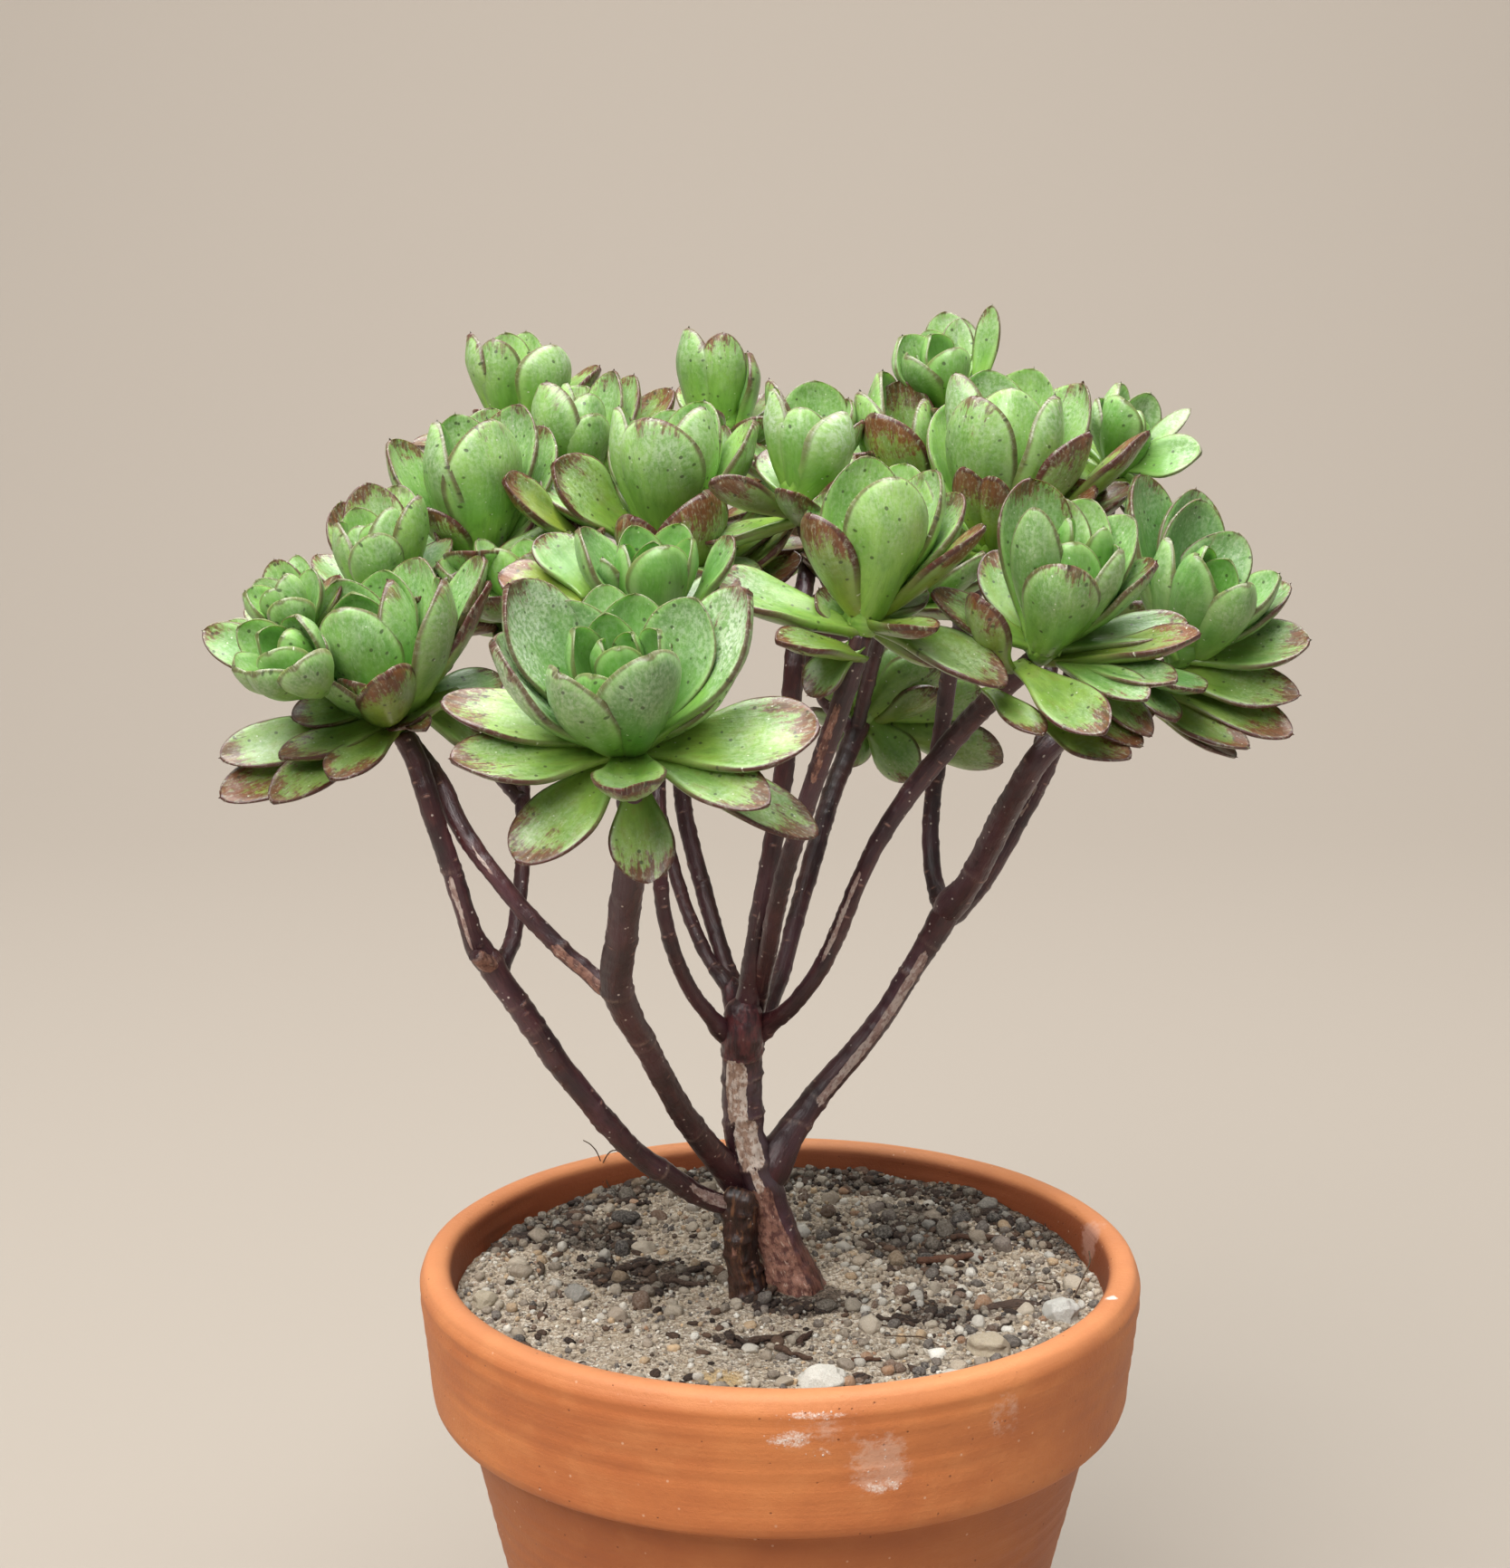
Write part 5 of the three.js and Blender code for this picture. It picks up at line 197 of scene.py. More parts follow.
        (-66.88, -14, 239.44, -74.45, -8, 256.24, 10.85, 0.3, 0.14, 0.4, 0.7, 0),
        (-66.88, -14, 239.44, -69.93, -9, 259.52, 11.71, 0.35, 0.14, 0.42, 0.7, 0),
        (-66.88, -14, 239.44, -60.16, -19, 258.21, 12.04, 0.45, 0.18, 0.5, 0.4, 0),
        (-66.88, -14, 239.44, -64.7, -20, 256.36, 10.13, 0.45, 0.2, 0.5, 0.25, 0),
        (-66.88, -14, 239.44, -67.46, -20, 253.83, 8.74, 0.5, 0.22, 0.6, 0.05, 0),
        (-66.88, -14, 239.44, -66.49, -26, 252.62, 9.98, 0.6, 0.22, 0.58, 0.2, 0),
        (-66.88, -14, 239.44, -64.87, -7, 259.06, 11.72, 0.35, 0.16, 0.45, 0.4, 0),
        (-66.88, -14, 239.44, -71.58, -12, 255.67, 9.53, 0.4, 0.16, 0.5, 0.3, 0),
        (-66.88, -14, 239.44, -56.42, -5.59, 249.77, 8.81, 0.35, 0.14, 0.38, 0.6, -0.05),
        (-66.88, -14, 239.44, -67.51, 0.07, 249.02, 8.86, 0.35, 0.14, 0.38, 0.71, -0.02),
        (-66.88, -14, 239.44, -79.36, -4, 246.8, 9.15, 0.35, 0.14, 0.38, 0.64, 0.14),
        (-66.72, -13.84, 238.41, -85.08, -20.02, 243.58, 10.02, 0.25, 0.13, 0.38, 0.7, 0.07),
        (-66.53, -13.65, 237.18, -74.45, -31.95, 243.07, 10.39, 0.25, 0.13, 0.38, 0.72, 0.03),
        (-66.55, -13.67, 237.31, -58.57, -29.65, 242.7, 9.33, 0.25, 0.13, 0.38, 0.82, 0.1),
        (-66.46, -13.58, 236.68, -49.62, -17.37, 246.98, 10.05, 0.25, 0.13, 0.38, 0.61, -0.21),
        (-66.69, -13.81, 238.19, -57.22, 3.65, 242.13, 10.13, 0.05, 0.13, 0.38, 0.72, 0.19),
        (-66.49, -13.61, 236.91, -77.01, 2.63, 240.19, 9.81, 0.05, 0.13, 0.38, 0.76, -0.4),
        (-66.62, -13.74, 237.75, -84.73, -14.14, 236.45, 9.08, 0.05, 0.13, 0.38, 0.62, -0.35),
        (-66.63, -13.75, 237.8, -75.56, -30.35, 233.03, 9.72, 0.05, 0.13, 0.38, 0.66, -0.31),
        (-66.57, -13.69, 237.44, -55.6, -27.64, 229.99, 9.62, 0.05, 0.13, 0.38, 0.97, -0.2),
        (-66.47, -13.59, 236.75, -48.42, -8.22, 234.73, 9.47, 0.05, 0.13, 0.38, 0.85, -0.13),
    ]},
    'rosette_upper_left': {"C": (-52.2, 4, 243.56), "A": (-0.1, -0.15, 0.98), "L": [
        (-52.2, 4, 243.56, -49.84, -5, 269.9, 17.53, 0.5, 0.2, 0.5, 0.4, 0),
        (-52.2, 4, 243.56, -58.76, -1, 269.22, 16.95, 0.5, 0.18, 0.5, 0.35, 0),
        (-52.2, 4, 243.56, -56.76, 9, 270.09, 15.33, 0.4, 0.18, 0.5, 0.3, 0),
        (-52.2, 4, 243.56, -67.7, 5, 265.78, 15.18, 0.35, 0.14, 0.4, 0.55, 0),
        (-52.2, 4, 243.56, -45.52, 9, 271.81, 16.49, 0.35, 0.16, 0.45, 0.5, 0),
        (-52.2, 4, 243.56, -51.14, 13, 270.98, 16.17, 0.3, 0.16, 0.45, 0.4, 0),
        (-52.2, 4, 243.56, -60.61, -5, 255.06, 9.91, 0.2, 0.12, 0.4, 0.8, 0),
        (-35.08, 4, 248.62, -46.74, -9, 259.98, 11.09, 0.1, 0.14, 0.4, 0.97, -0.77),
        (-52.2, 4, 243.56, -55.4, 20, 262.61, 11.54, 0.4, 0.16, 0.45, 0.4, 0),
        (-39.45, 4, 251.61, -48.69, -9, 245.61, 6.14, 0.1, 0.12, 0.4, 0.85, -0.23),
        (-49.68, 4, 242.93, -59.8, -2, 252.63, 11.89, 0.2, 0.12, 0.42, 0.6, -0.74),
        (-52.2, 4, 243.56, -41.88, 14, 267.77, 15.76, 0.35, 0.14, 0.42, 0.5, 0),
        (-52.5, 4, 244.04, -43.03, 6, 254.11, 11.18, 0.1, 0.12, 0.42, 0.7, 0.47),
        (-52.2, 4, 243.56, -48.26, 26.73, 259.24, 14.5, 0.35, 0.14, 0.38, 0.67, 0.17),
        (-52.2, 4, 243.56, -67.3, 21.13, 257.02, 13.79, 0.35, 0.14, 0.38, 0.6, -0.1),
        (-52.04, 4.24, 241.98, -78.55, 6.3, 250.73, 14, 0.25, 0.13, 0.38, 0.93, 0.15),
        (-52.06, 4.21, 242.22, -50.24, -22.71, 249.23, 13.94, 0.25, 0.13, 0.38, 0.57, -0.11),
        (-51.95, 4.37, 241.14, -30.28, -11.38, 251.59, 14.38, 0.25, 0.13, 0.38, 0.6, -0.1),
        (-51.91, 4.43, 240.78, -33.9, 24.58, 244.84, 13.67, 0.05, 0.13, 0.38, 0.57, -0.06),
        (-52.05, 4.23, 242.09, -60.61, 28.08, 248, 13.01, 0.05, 0.13, 0.38, 0.63, 0.08),
        (-51.96, 4.35, 241.25, -73.82, 14.88, 233.06, 12.8, 0.05, 0.13, 0.38, 0.76, 0.11),
        (-51.93, 4.39, 240.98, -37.42, -15.9, 229.65, 13.7, 0.05, 0.13, 0.38, 0.91, 0.3),
    ]},
    'rosette_top_left': {"C": (-48.87, 44, 265.42), "A": (-0.06, -0.02, 1), "L": [
        (-50.74, 44, 265.42, -52.73, 38, 282.33, 10.04, 0.45, 0.2, 0.55, 0.4, 0),
        (-46.15, 44, 265.42, -42.3, 39, 281.31, 14.65, 0.5, 0.2, 0.55, 0.35, 0),
        (-51.07, 44, 265.75, -57.41, 43, 283.2, 12.5, 0.3, 0.16, 0.45, 0.5, 0),
        (-48.87, 44, 265.42, -51.56, 49, 283.24, 10.48, 0.35, 0.18, 0.5, 0.35, 0),
        (-48.87, 44, 265.42, -47.81, 51, 283.37, 10.81, 0.4, 0.18, 0.5, 0.35, 0),
        (-48.87, 44, 265.42, -33.78, 47, 277.07, 11.58, 0.4, 0.16, 0.45, 0.72, 0),
        (-48.87, 44, 265.42, -45.51, 58, 280.14, 9.47, 0.4, 0.16, 0.45, 0.5, 0),
        (-48.87, 44, 265.42, -54.65, 57, 278.28, 8.82, 0.4, 0.16, 0.45, 0.5, 0),
        (-48.87, 44, 265.42, -38.64, 56.53, 273.55, 9.41, 0.35, 0.14, 0.38, 0.69, 0),
        (-48.71, 44.05, 262.77, -52.82, 25.89, 269.75, 9.94, 0.25, 0.13, 0.38, 0.87, -0.13),
        (-48.7, 44.06, 262.64, -36.69, 29.27, 270.76, 10.35, 0.25, 0.13, 0.38, 0.61, 0.07),
        (-48.69, 44.06, 262.53, -29.34, 42.05, 265.32, 9.83, 0.05, 0.13, 0.38, 0.7, -0),
        (-48.8, 44.02, 264.22, -57.04, 62.2, 264.94, 9.99, 0.05, 0.13, 0.38, 0.7, 0.02),
        (-48.76, 44.04, 263.67, -69.21, 46.1, 262.62, 10.29, 0.05, 0.13, 0.38, 0.7, -0.14),
        (-48.75, 44.04, 263.51, -62.21, 32.02, 258.06, 9.42, 0.05, 0.13, 0.38, 0.77, 0.01),
        (-48.8, 44.02, 264.26, -41.36, 27.66, 258.96, 9.37, 0.05, 0.13, 0.38, 0.94, 0.01),
    ]},
    'rosette_upper_mid_left': {"C": (-36.44, 26, 254.85), "A": (0, -0.08, 1), "L": [
        (-36.44, 26, 254.85, -41.59, 20, 275.12, 15.61, 0.5, 0.2, 0.5, 0.4, 0),
        (-36.44, 26, 254.85, -34.26, 21, 273.16, 10.7, 0.5, 0.2, 0.55, 0.2, 0),
        (-36.44, 26, 254.85, -30.11, 29, 276.87, 12.94, 0.35, 0.16, 0.45, 0.45, 0),
        (-36.44, 26, 254.85, -26.65, 32, 275.95, 13.45, 0.35, 0.16, 0.45, 0.6, 0),
        (-36.44, 26, 254.85, -19.78, 34, 273.41, 14.47, 0.35, 0.16, 0.42, 0.88, 0),
        (-36.44, 26, 254.85, -33.25, 17, 269.83, 9.95, 0.5, 0.2, 0.52, 0.25, 0),
        (-36.44, 26, 254.85, -28.09, 26, 267.1, 11.56, 0.3, 0.14, 0.45, 0.5, 0),
        (-36.38, 26, 258.94, -32, 20, 252.9, 7.66, 0.1, 0.12, 0.45, 0.5, 0.25),
        (-36.44, 26, 254.85, -38.17, 24, 274.8, 11.27, 0.45, 0.2, 0.55, 0.2, 0),
        (-36.44, 26, 254.85, -36.98, 38, 273.9, 12.62, 0.35, 0.16, 0.45, 0.4, 0),
        (-36.44, 26, 254.85, -43.73, 38, 270.59, 9.7, 0.4, 0.16, 0.45, 0.5, 0),
        (-36.44, 26, 254.85, -43.29, 43.77, 264.81, 11.18, 0.35, 0.14, 0.38, 0.6, -0.15),
        (-36.44, 26, 254.85, -20.5, 37.83, 264.77, 11.54, 0.35, 0.14, 0.38, 0.68, -0.31),
        (-36.44, 26, 254.85, -36.9, 29.81, 271.99, 10.89, 0.5, 0.22, 0.55, 0.1, -0.03),
        (-36.44, 26.19, 252.41, -20.49, 12.88, 259.2, 10.93, 0.25, 0.13, 0.38, 0.95, 0.19),
        (-36.44, 26.14, 253.06, -57.01, 29.35, 261.2, 11.18, 0.25, 0.13, 0.38, 0.81, -0.05),
        (-36.44, 26.15, 252.96, -35.12, 4.13, 250.98, 11.07, 0.05, 0.13, 0.38, 0.7, -0.12),
        (-36.44, 26.17, 252.77, -55.18, 13.63, 254.4, 11.31, 0.05, 0.13, 0.38, 0.71, -0.07),
        (-36.44, 26.23, 252.02, -20.69, 41.73, 247.47, 11.28, 0.05, 0.13, 0.38, 0.85, -0.04),
        (-36.44, 26.1, 253.55, -45.99, 46.41, 247.76, 11.59, 0.05, 0.13, 0.38, 0.93, 0.18),
        (-36.44, 26.09, 253.67, -54.91, 24.12, 246.62, 9.94, 0.05, 0.13, 0.38, 1, -0.06),
    ]},
    'rosette_centre_high': {"C": (-19.51, 0, 247.76), "A": (0, -0.12, 0.99), "L": [
        (-19.51, 0, 247.76, -22.03, -11, 270.52, 16.32, 0.55, 0.22, 0.52, 0.45, 0),
        (-19.51, 0, 247.76, -13.82, -6, 272.07, 16.26, 0.5, 0.2, 0.5, 0.3, 0),
        (-19.51, 0, 247.76, -13.26, 5, 272.46, 16.02, 0.4, 0.18, 0.5, 0.25, 0),
        (-19.51, 0, 247.76, -4.5, -2, 269.58, 14.87, 0.35, 0.16, 0.42, 0.45, 0),
        (-19.51, 0, 247.76, -27.56, -3, 271.92, 14.36, 0.45, 0.18, 0.48, 0.35, 0),
        (-17.36, 0, 240.54, -13.27, -13, 258.17, 16.15, 0.45, 0.14, 0.55, 0.9, 0.39),
        (-22.05, 0, 242.12, -24.76, -14, 254.33, 10.25, 0.5, 0.18, 0.55, 0.99, -0.15),
        (-24.51, 0, 248.08, -38.62, -7, 262.57, 13.9, 0.2, 0.14, 0.38, 0.8, -0.86),
        (-12.03, 0, 238.97, 3.6, -2, 246.1, 10.05, 0.05, 0.12, 0.4, 0.97, 0.38),
        (-12.19, 0, 239.76, 2.4, -8, 253.49, 10.38, 0.1, 0.14, 0.38, 0.93, 0.58),
        (-12.96, 0, 242.12, 1.39, -2, 256.66, 9.87, 0.1, 0.14, 0.38, 0.9, 0.57),
        (-19.51, 0, 247.76, -19.31, 8, 270.92, 13.72, 0.4, 0.18, 0.5, 0.3, 0),
        (-19.51, 0, 247.76, -9.91, 12, 267.88, 14.18, 0.4, 0.16, 0.45, 0.5, 0),
        (-19.51, 0, 247.76, -26.41, 11.09, 269.04, 14.98, 0.5, 0.18, 0.46, 0.3, 0.06),
        (-19.51, 0, 247.76, -9.61, 16.43, 259.84, 11.79, 0.35, 0.14, 0.38, 0.62, -0.13),
        (-19.51, 0, 247.76, -26.68, 19.63, 260.2, 12.65, 0.35, 0.14, 0.38, 0.58, 0.18),
        (-19.51, 0, 247.76, -41.65, 8.16, 258.99, 13.59, 0.35, 0.14, 0.38, 0.61, -0.02),
        (-19.51, 0.28, 245.44, -4.58, -17.63, 244.16, 11.67, 0.05, 0.13, 0.38, 0.66, 0.04),
        (-19.51, 0.27, 245.52, 4.88, 4.22, 247.82, 12.41, 0.05, 0.13, 0.38, 0.76, -0.02),
        (-19.51, 0.16, 246.42, -10.38, 24.79, 248.98, 13.19, 0.05, 0.13, 0.38, 0.6, -0.34),
        (-19.51, 0.18, 246.31, -28.72, -24.5, 242.01, 13.35, 0.05, 0.13, 0.38, 0.94, 0.14),
        (-19.51, 0.13, 246.69, -45.03, -0.02, 239.31, 13.29, 0.05, 0.13, 0.38, 0.83, 0.45),
        (-19.51, 0.23, 245.85, -27.53, 22.3, 243.72, 11.79, 0.05, 0.13, 0.38, 0.97, -0.04),
    ]},
    'rosette_top_centre': {"C": (-10.84, 48, 263.83), "A": (0, 0, 1), "L": [
        (-10.84, 48, 263.83, -10.39, 42, 283.39, 10.11, 0.45, 0.2, 0.5, 0.5, 0),
        (-12.9, 48, 264.17, -16.89, 47, 284.12, 14.24, 0.35, 0.18, 0.45, 0.5, 0),
        (-8.96, 48, 263.83, -5.87, 49, 279.54, 13.22, 0.4, 0.16, 0.45, 0.6, 0),
        (-10.84, 48, 263.83, -12.11, 56, 280.88, 10.57, 0.35, 0.18, 0.5, 0.4, 0),
        (-10.84, 48, 263.83, -8.34, 60, 277.67, 10.36, 0.4, 0.16, 0.45, 0.5, 0),
        (-10.84, 48, 263.83, -14.8, 60, 278.19, 10.71, 0.4, 0.16, 0.45, 0.5, 0),
        (-10.84, 48, 263.83, -2.71, 62.29, 271.13, 9.35, 0.35, 0.14, 0.38, 0.72, -0.16),
        (-10.84, 48, 263.83, -16.53, 65.14, 273.17, 10.57, 0.35, 0.14, 0.38, 0.59, 0.03),
        (-10.84, 48, 261.96, -16.43, 29.69, 269.91, 10.37, 0.25, 0.13, 0.38, 0.72, 0.09),
        (-10.84, 48, 261.49, -0.84, 33.72, 268.06, 9.31, 0.25, 0.13, 0.38, 0.63, -0.08),
        (-10.84, 48, 261.37, 5.63, 47.14, 267.8, 8.85, 0.25, 0.13, 0.38, 0.56, 0.32),
        (-10.84, 48, 261.39, -26.18, 55.81, 269.16, 9.44, 0.25, 0.13, 0.38, 0.76, 0.2),
        (-10.84, 48, 260.96, -27.72, 57.54, 261.43, 9.7, 0.05, 0.13, 0.38, 0.57, -0.09),
        (-10.84, 48, 262.68, -27.53, 38.17, 262.91, 9.68, 0.05, 0.13, 0.38, 0.79, -0.21),
        (-10.84, 48, 261.92, -5.11, 64.1, 255.77, 9.08, 0.05, 0.13, 0.38, 0.94, -0.13),
        (-10.84, 48, 261.89, -5.37, 29.38, 256.13, 10.12, 0.05, 0.13, 0.38, 0.91, -0.16),
        (-10.84, 48, 262.01, 7.89, 47.48, 256, 9.84, 0.05, 0.13, 0.38, 0.89, -0.03),
    ]},
    'rosette_closed_bud': {"C": (3.05, -14, 256.44), "A": (0.02, -0.05, 1), "L": [
        (3.05, -14, 256.44, 3.05, -20, 272.75, 9.73, 0.6, 0.26, 0.6, 0.15, 0),
        (3.05, -14, 256.44, 9.74, -19, 271.97, 13.75, 0.65, 0.26, 0.6, 0.2, 0),
        (3.05, -14, 256.44, -1.21, -15, 275.47, 10.93, 0.4, 0.2, 0.5, 0.3, 0),
        (3.05, -14, 256.44, 7.8, -9, 270.56, 9.4, 0.5, 0.22, 0.55, 0.3, 0),
        (3.05, -14, 256.44, 3.96, -11, 271.42, 8.57, 0.5, 0.24, 0.6, 0.1, 0),
        (3.05, -14, 256.44, 3.72, -4.03, 271.32, 10.75, 0.5, 0.18, 0.46, 0.33, -0.21),
        (3.05, -14, 256.44, 11.19, -0.28, 263.89, 9.15, 0.35, 0.14, 0.38, 0.66, -0.09),
        (3.05, -14, 256.44, -1.85, 0.81, 264.62, 9.16, 0.35, 0.14, 0.38, 0.64, -0.09),
        (3.02, -13.92, 254.91, -11.62, -23.86, 261.17, 9.38, 0.25, 0.13, 0.38, 0.9, 0.38),
        (3, -13.86, 253.72, 1.72, -30.54, 259.6, 8.87, 0.25, 0.13, 0.38, 0.68, -0.2),
        (3, -13.87, 253.79, 15.5, -25.75, 261.55, 9.46, 0.25, 0.13, 0.38, 0.88, -0.28),
        (3.02, -13.91, 254.7, 20.67, -11.45, 261.41, 9.52, 0.25, 0.13, 0.38, 0.77, -0.22),
        (3.03, -13.94, 255.33, -5.14, 4.41, 256.39, 10.06, 0.05, 0.13, 0.38, 0.84, 0.28),
        (3.01, -13.89, 254.17, -13.99, -7.69, 249.19, 9.38, 0.05, 0.13, 0.38, 0.81, -0.22),
        (3.02, -13.92, 254.83, 12.71, -27.79, 247.43, 9.23, 0.05, 0.13, 0.38, 0.81, -0.12),
        (3, -13.88, 254.03, 21.5, -8.05, 248.66, 10.06, 0.05, 0.13, 0.38, 0.8, -0.02),
    ]},
    'rosette_centre_right': {"C": (13.16, -36, 239.54), "A": (0.06, -0.1, 0.99), "L": [
        (13.16, -36, 239.54, 16.98, -47, 263.43, 15, 0.5, 0.22, 0.48, 0.3, 0),
        (13.16, -36, 239.54, 4.21, -45, 257.54, 12.33, 0.3, 0.14, 0.4, 0.9, 0),
        (13.16, -36, 239.54, 31.22, -45, 255.58, 9.28, 0.1, 0.16, 0.36, 0.95, 0),
        (13.16, -36, 239.54, 24.34, -33, 263.39, 14.84, 0.4, 0.18, 0.45, 0.4, 0),
        (13.16, -36, 239.54, 13.36, -33, 265.68, 14.73, 0.4, 0.18, 0.45, 0.35, 0),
        (13.16, -36, 239.54, 20, -28, 264.04, 14.93, 0.35, 0.18, 0.45, 0.3, 0),
        (11.57, -36, 238.38, -11.11, -38, 246.45, 13.9, 0.15, 0.14, 0.3, 0.66, -0.32),
        (13.16, -36, 239.54, 23.35, -52, 240.5, 7.24, 0.15, 0.2, 0.5, 0.9, 0),
        (13.16, -36, 239.54, 35.05, -45, 230.54, 11.52, -0.25, 0.12, 0.32, 0.84, 0.45),
        (12.33, -36, 233.99, -1.12, -48, 237.98, 8.62, -0.15, 0.14, 0.38, 0.86, -0.35),
        (12.03, -36, 235.75, 3.9, -38, 227.85, 8.12, -0.2, 0.12, 0.4, 0.7, -0.51),
        (13.16, -36, 239.54, 28.51, -32, 259.57, 14.31, 0.35, 0.16, 0.42, 0.45, 0),
        (12.6, -36, 236.77, 5.82, -33, 244.42, 8.52, 0.2, 0.14, 0.4, 0.7, -0.42),
        (13.16, -36, 239.54, 22.74, -30, 244.07, 9.74, 0.25, 0.14, 0.4, 0.6, 0),
        (13.16, -36, 239.54, 25.83, -30, 232.24, 10.43, 0, 0.12, 0.4, 0.75, 0.37),
        (13.16, -36, 239.54, 7.66, -24.22, 259.27, 14.18, 0.5, 0.18, 0.46, 0.42, -0.03),
        (13.16, -36, 239.54, 19.12, -23.83, 258.22, 13.85, 0.5, 0.18, 0.46, 0.31, -0.16),
        (13.16, -36, 239.54, 8.75, -16.99, 253.39, 12.44, 0.35, 0.14, 0.38, 0.67, 0.02),
    ]},
    'rosette_right_high': {"C": (37.04, 10, 246.75), "A": (0.08, -0.1, 0.99), "L": [
        (37.04, 10, 246.75, 33.38, 0, 273.62, 16.18, 0.55, 0.22, 0.5, 0.45, 0),
        (37.04, 10, 246.75, 39.72, 5, 274.79, 16.02, 0.5, 0.2, 0.5, 0.3, 0),
        (37.04, 10, 246.75, 47.36, 6, 273.35, 16.13, 0.45, 0.2, 0.48, 0.35, 0),
        (37.04, 10, 246.75, 53.27, 15, 275.16, 18.54, 0.4, 0.18, 0.45, 0.45, 0),
        (37.04, 10, 246.75, 30.38, 8, 277.15, 11.03, 0.4, 0.18, 0.5, 0.4, 1.09),
        (37.04, 10, 246.75, 36.9, 18, 277.42, 17.75, 0.4, 0.2, 0.5, 0.2, 0),
        (37.04, 10, 246.75, 44.92, 18, 277.58, 18.37, 0.4, 0.2, 0.5, 0.2, 0),
        (37.04, 10, 246.75, 53.08, 3, 267.3, 15.12, 0.25, 0.18, 0.42, 0.85, 0),
        (45.9, 10, 250.9, 63.97, 7, 267.22, 10.66, 0.15, 0.16, 0.36, 0.9, 0),
        (37.04, 10, 246.75, 31.24, -4, 261.74, 7.67, 0.5, 0.18, 0.5, 0.93, 0),
        (38.02, 10, 245.47, 35.8, -5, 260.28, 7.63, 0.4, 0.2, 0.5, 0.93, 0),
        (37.04, 10, 246.75, 40.66, 26, 270.35, 16.09, 0.4, 0.16, 0.45, 0.4, 0),
        (42.74, 10, 248.99, 54.86, 4, 257.42, 10.52, 0.05, 0.12, 0.4, 0.97, 0.56),
        (37.04, 10, 246.75, 29.26, 12, 253.59, 8.44, 0.25, 0.14, 0.45, 0.6, 0),
        (37.16, 10, 248.99, 46.54, 14, 240.52, 10.6, 0.1, 0.12, 0.4, 0.7, 0.44),
        (37.04, 10, 246.75, 51.55, 15.61, 268.34, 15.97, 0.5, 0.18, 0.46, 0.3, -0.14),
        (37.04, 10, 246.75, 30.81, 20.92, 271.6, 16.71, 0.5, 0.18, 0.46, 0.3, -0.02),
        (37.04, 10, 246.75, 54.35, 31.6, 259.32, 15.81, 0.35, 0.14, 0.38, 0.68, 0.05),
        (37.04, 10, 246.75, 32.46, 34.42, 261.83, 15.11, 0.35, 0.14, 0.38, 0.69, 0.14),
        (36.95, 10.11, 245.69, 62.16, 13.7, 257.18, 13.97, 0.25, 0.13, 0.38, 0.88, 0.08),
        (36.85, 10.23, 244.44, 16.06, -8.35, 253.96, 14.73, 0.25, 0.13, 0.38, 0.82, -0.07),
        (36.87, 10.2, 244.74, 63.62, 2.16, 242.22, 14.02, 0.05, 0.13, 0.38, 0.56, -0.25),
        (36.82, 10.27, 244.07, 30.5, 37.85, 247.39, 14.24, 0.05, 0.13, 0.38, 0.85, 0.2),
        (36.93, 10.14, 245.39, 11.59, 17.5, 251.13, 13.5, 0.05, 0.13, 0.38, 0.67, 0.21),
        (36.81, 10.28, 243.97, 42.88, -16.45, 239.67, 13.88, 0.05, 0.13, 0.38, 0.82, -0.33),
        (36.92, 10.15, 245.27, 12.06, 27.47, 243.17, 15.18, 0.05, 0.13, 0.38, 0.79, -0.12),
        (36.91, 10.15, 245.23, 15.52, -4.85, 236.96, 13.71, 0.05, 0.13, 0.38, 0.98, 0.08),
    ]},
    'rosette_top_right': {"C": (31.86, 40, 270.32), "A": (-0.1, -0.36, 0.93), "L": [
        (29.16, 40, 270.32, 22.75, 39, 282.8, 13.09, 0.5, 0.2, 0.55, 0.2, 0),
        (31.86, 40, 270.32, 27.57, 44, 283.85, 8.62, 0.4, 0.2, 0.55, 0.2, 0),
        (31.86, 40, 270.32, 31.04, 46, 287.14, 10.01, 0.35, 0.18, 0.5, 0.35, 0),
        (31.86, 40, 270.32, 34.03, 45, 285.99, 8.04, 0.4, 0.18, 0.5, 0.35, 0),
        (31.86, 40, 270.32, 31.46, 32, 280.84, 9.87, 0.65, 0.24, 0.6, 0.15, 0),
        (31.86, 40, 270.32, 23.45, 33, 279.51, 11.14, 0.6, 0.22, 0.55, 0.25, 0),
        (31.86, 40, 270.32, 27.8, 37, 283.01, 10.92, 0.5, 0.22, 0.6, 0.05, 0),
        (36.56, 40, 271.32, 39.38, 41, 288.37, 5.79, 0.2, 0.12, 0.5, 0.5, 0),
        (31.86, 40, 270.32, 35.87, 50, 280.19, 8.17, 0.4, 0.16, 0.5, 0.4, 0),
        (31.86, 40, 270.32, 25.75, 49.72, 279.97, 7.8, 0.35, 0.14, 0.38, 0.62, -0),
        (32.03, 40.63, 268.69, 32.16, 20.63, 269.27, 10.01, 0.25, 0.13, 0.38, 0.84, -0.19),
        (32.15, 41.05, 267.61, 44.34, 29.35, 272.43, 8.79, 0.25, 0.13, 0.38, 0.84, -0.3),
        (32.14, 41.02, 267.68, 51.51, 36.47, 269.83, 10, 0.05, 0.13, 0.38, 0.66, -0.18),
        (32.13, 40.99, 267.75, 15.07, 42.24, 262.47, 8.95, 0.05, 0.13, 0.38, 0.87, -0.13),
        (32.13, 40.98, 267.79, 27.42, 25.42, 257.01, 9.76, 0.05, 0.13, 0.38, 0.97, 0.01),
        (32.11, 40.91, 267.99, 46.66, 52.71, 268.48, 9.37, 0.05, 0.13, 0.38, 0.77, 0.02),
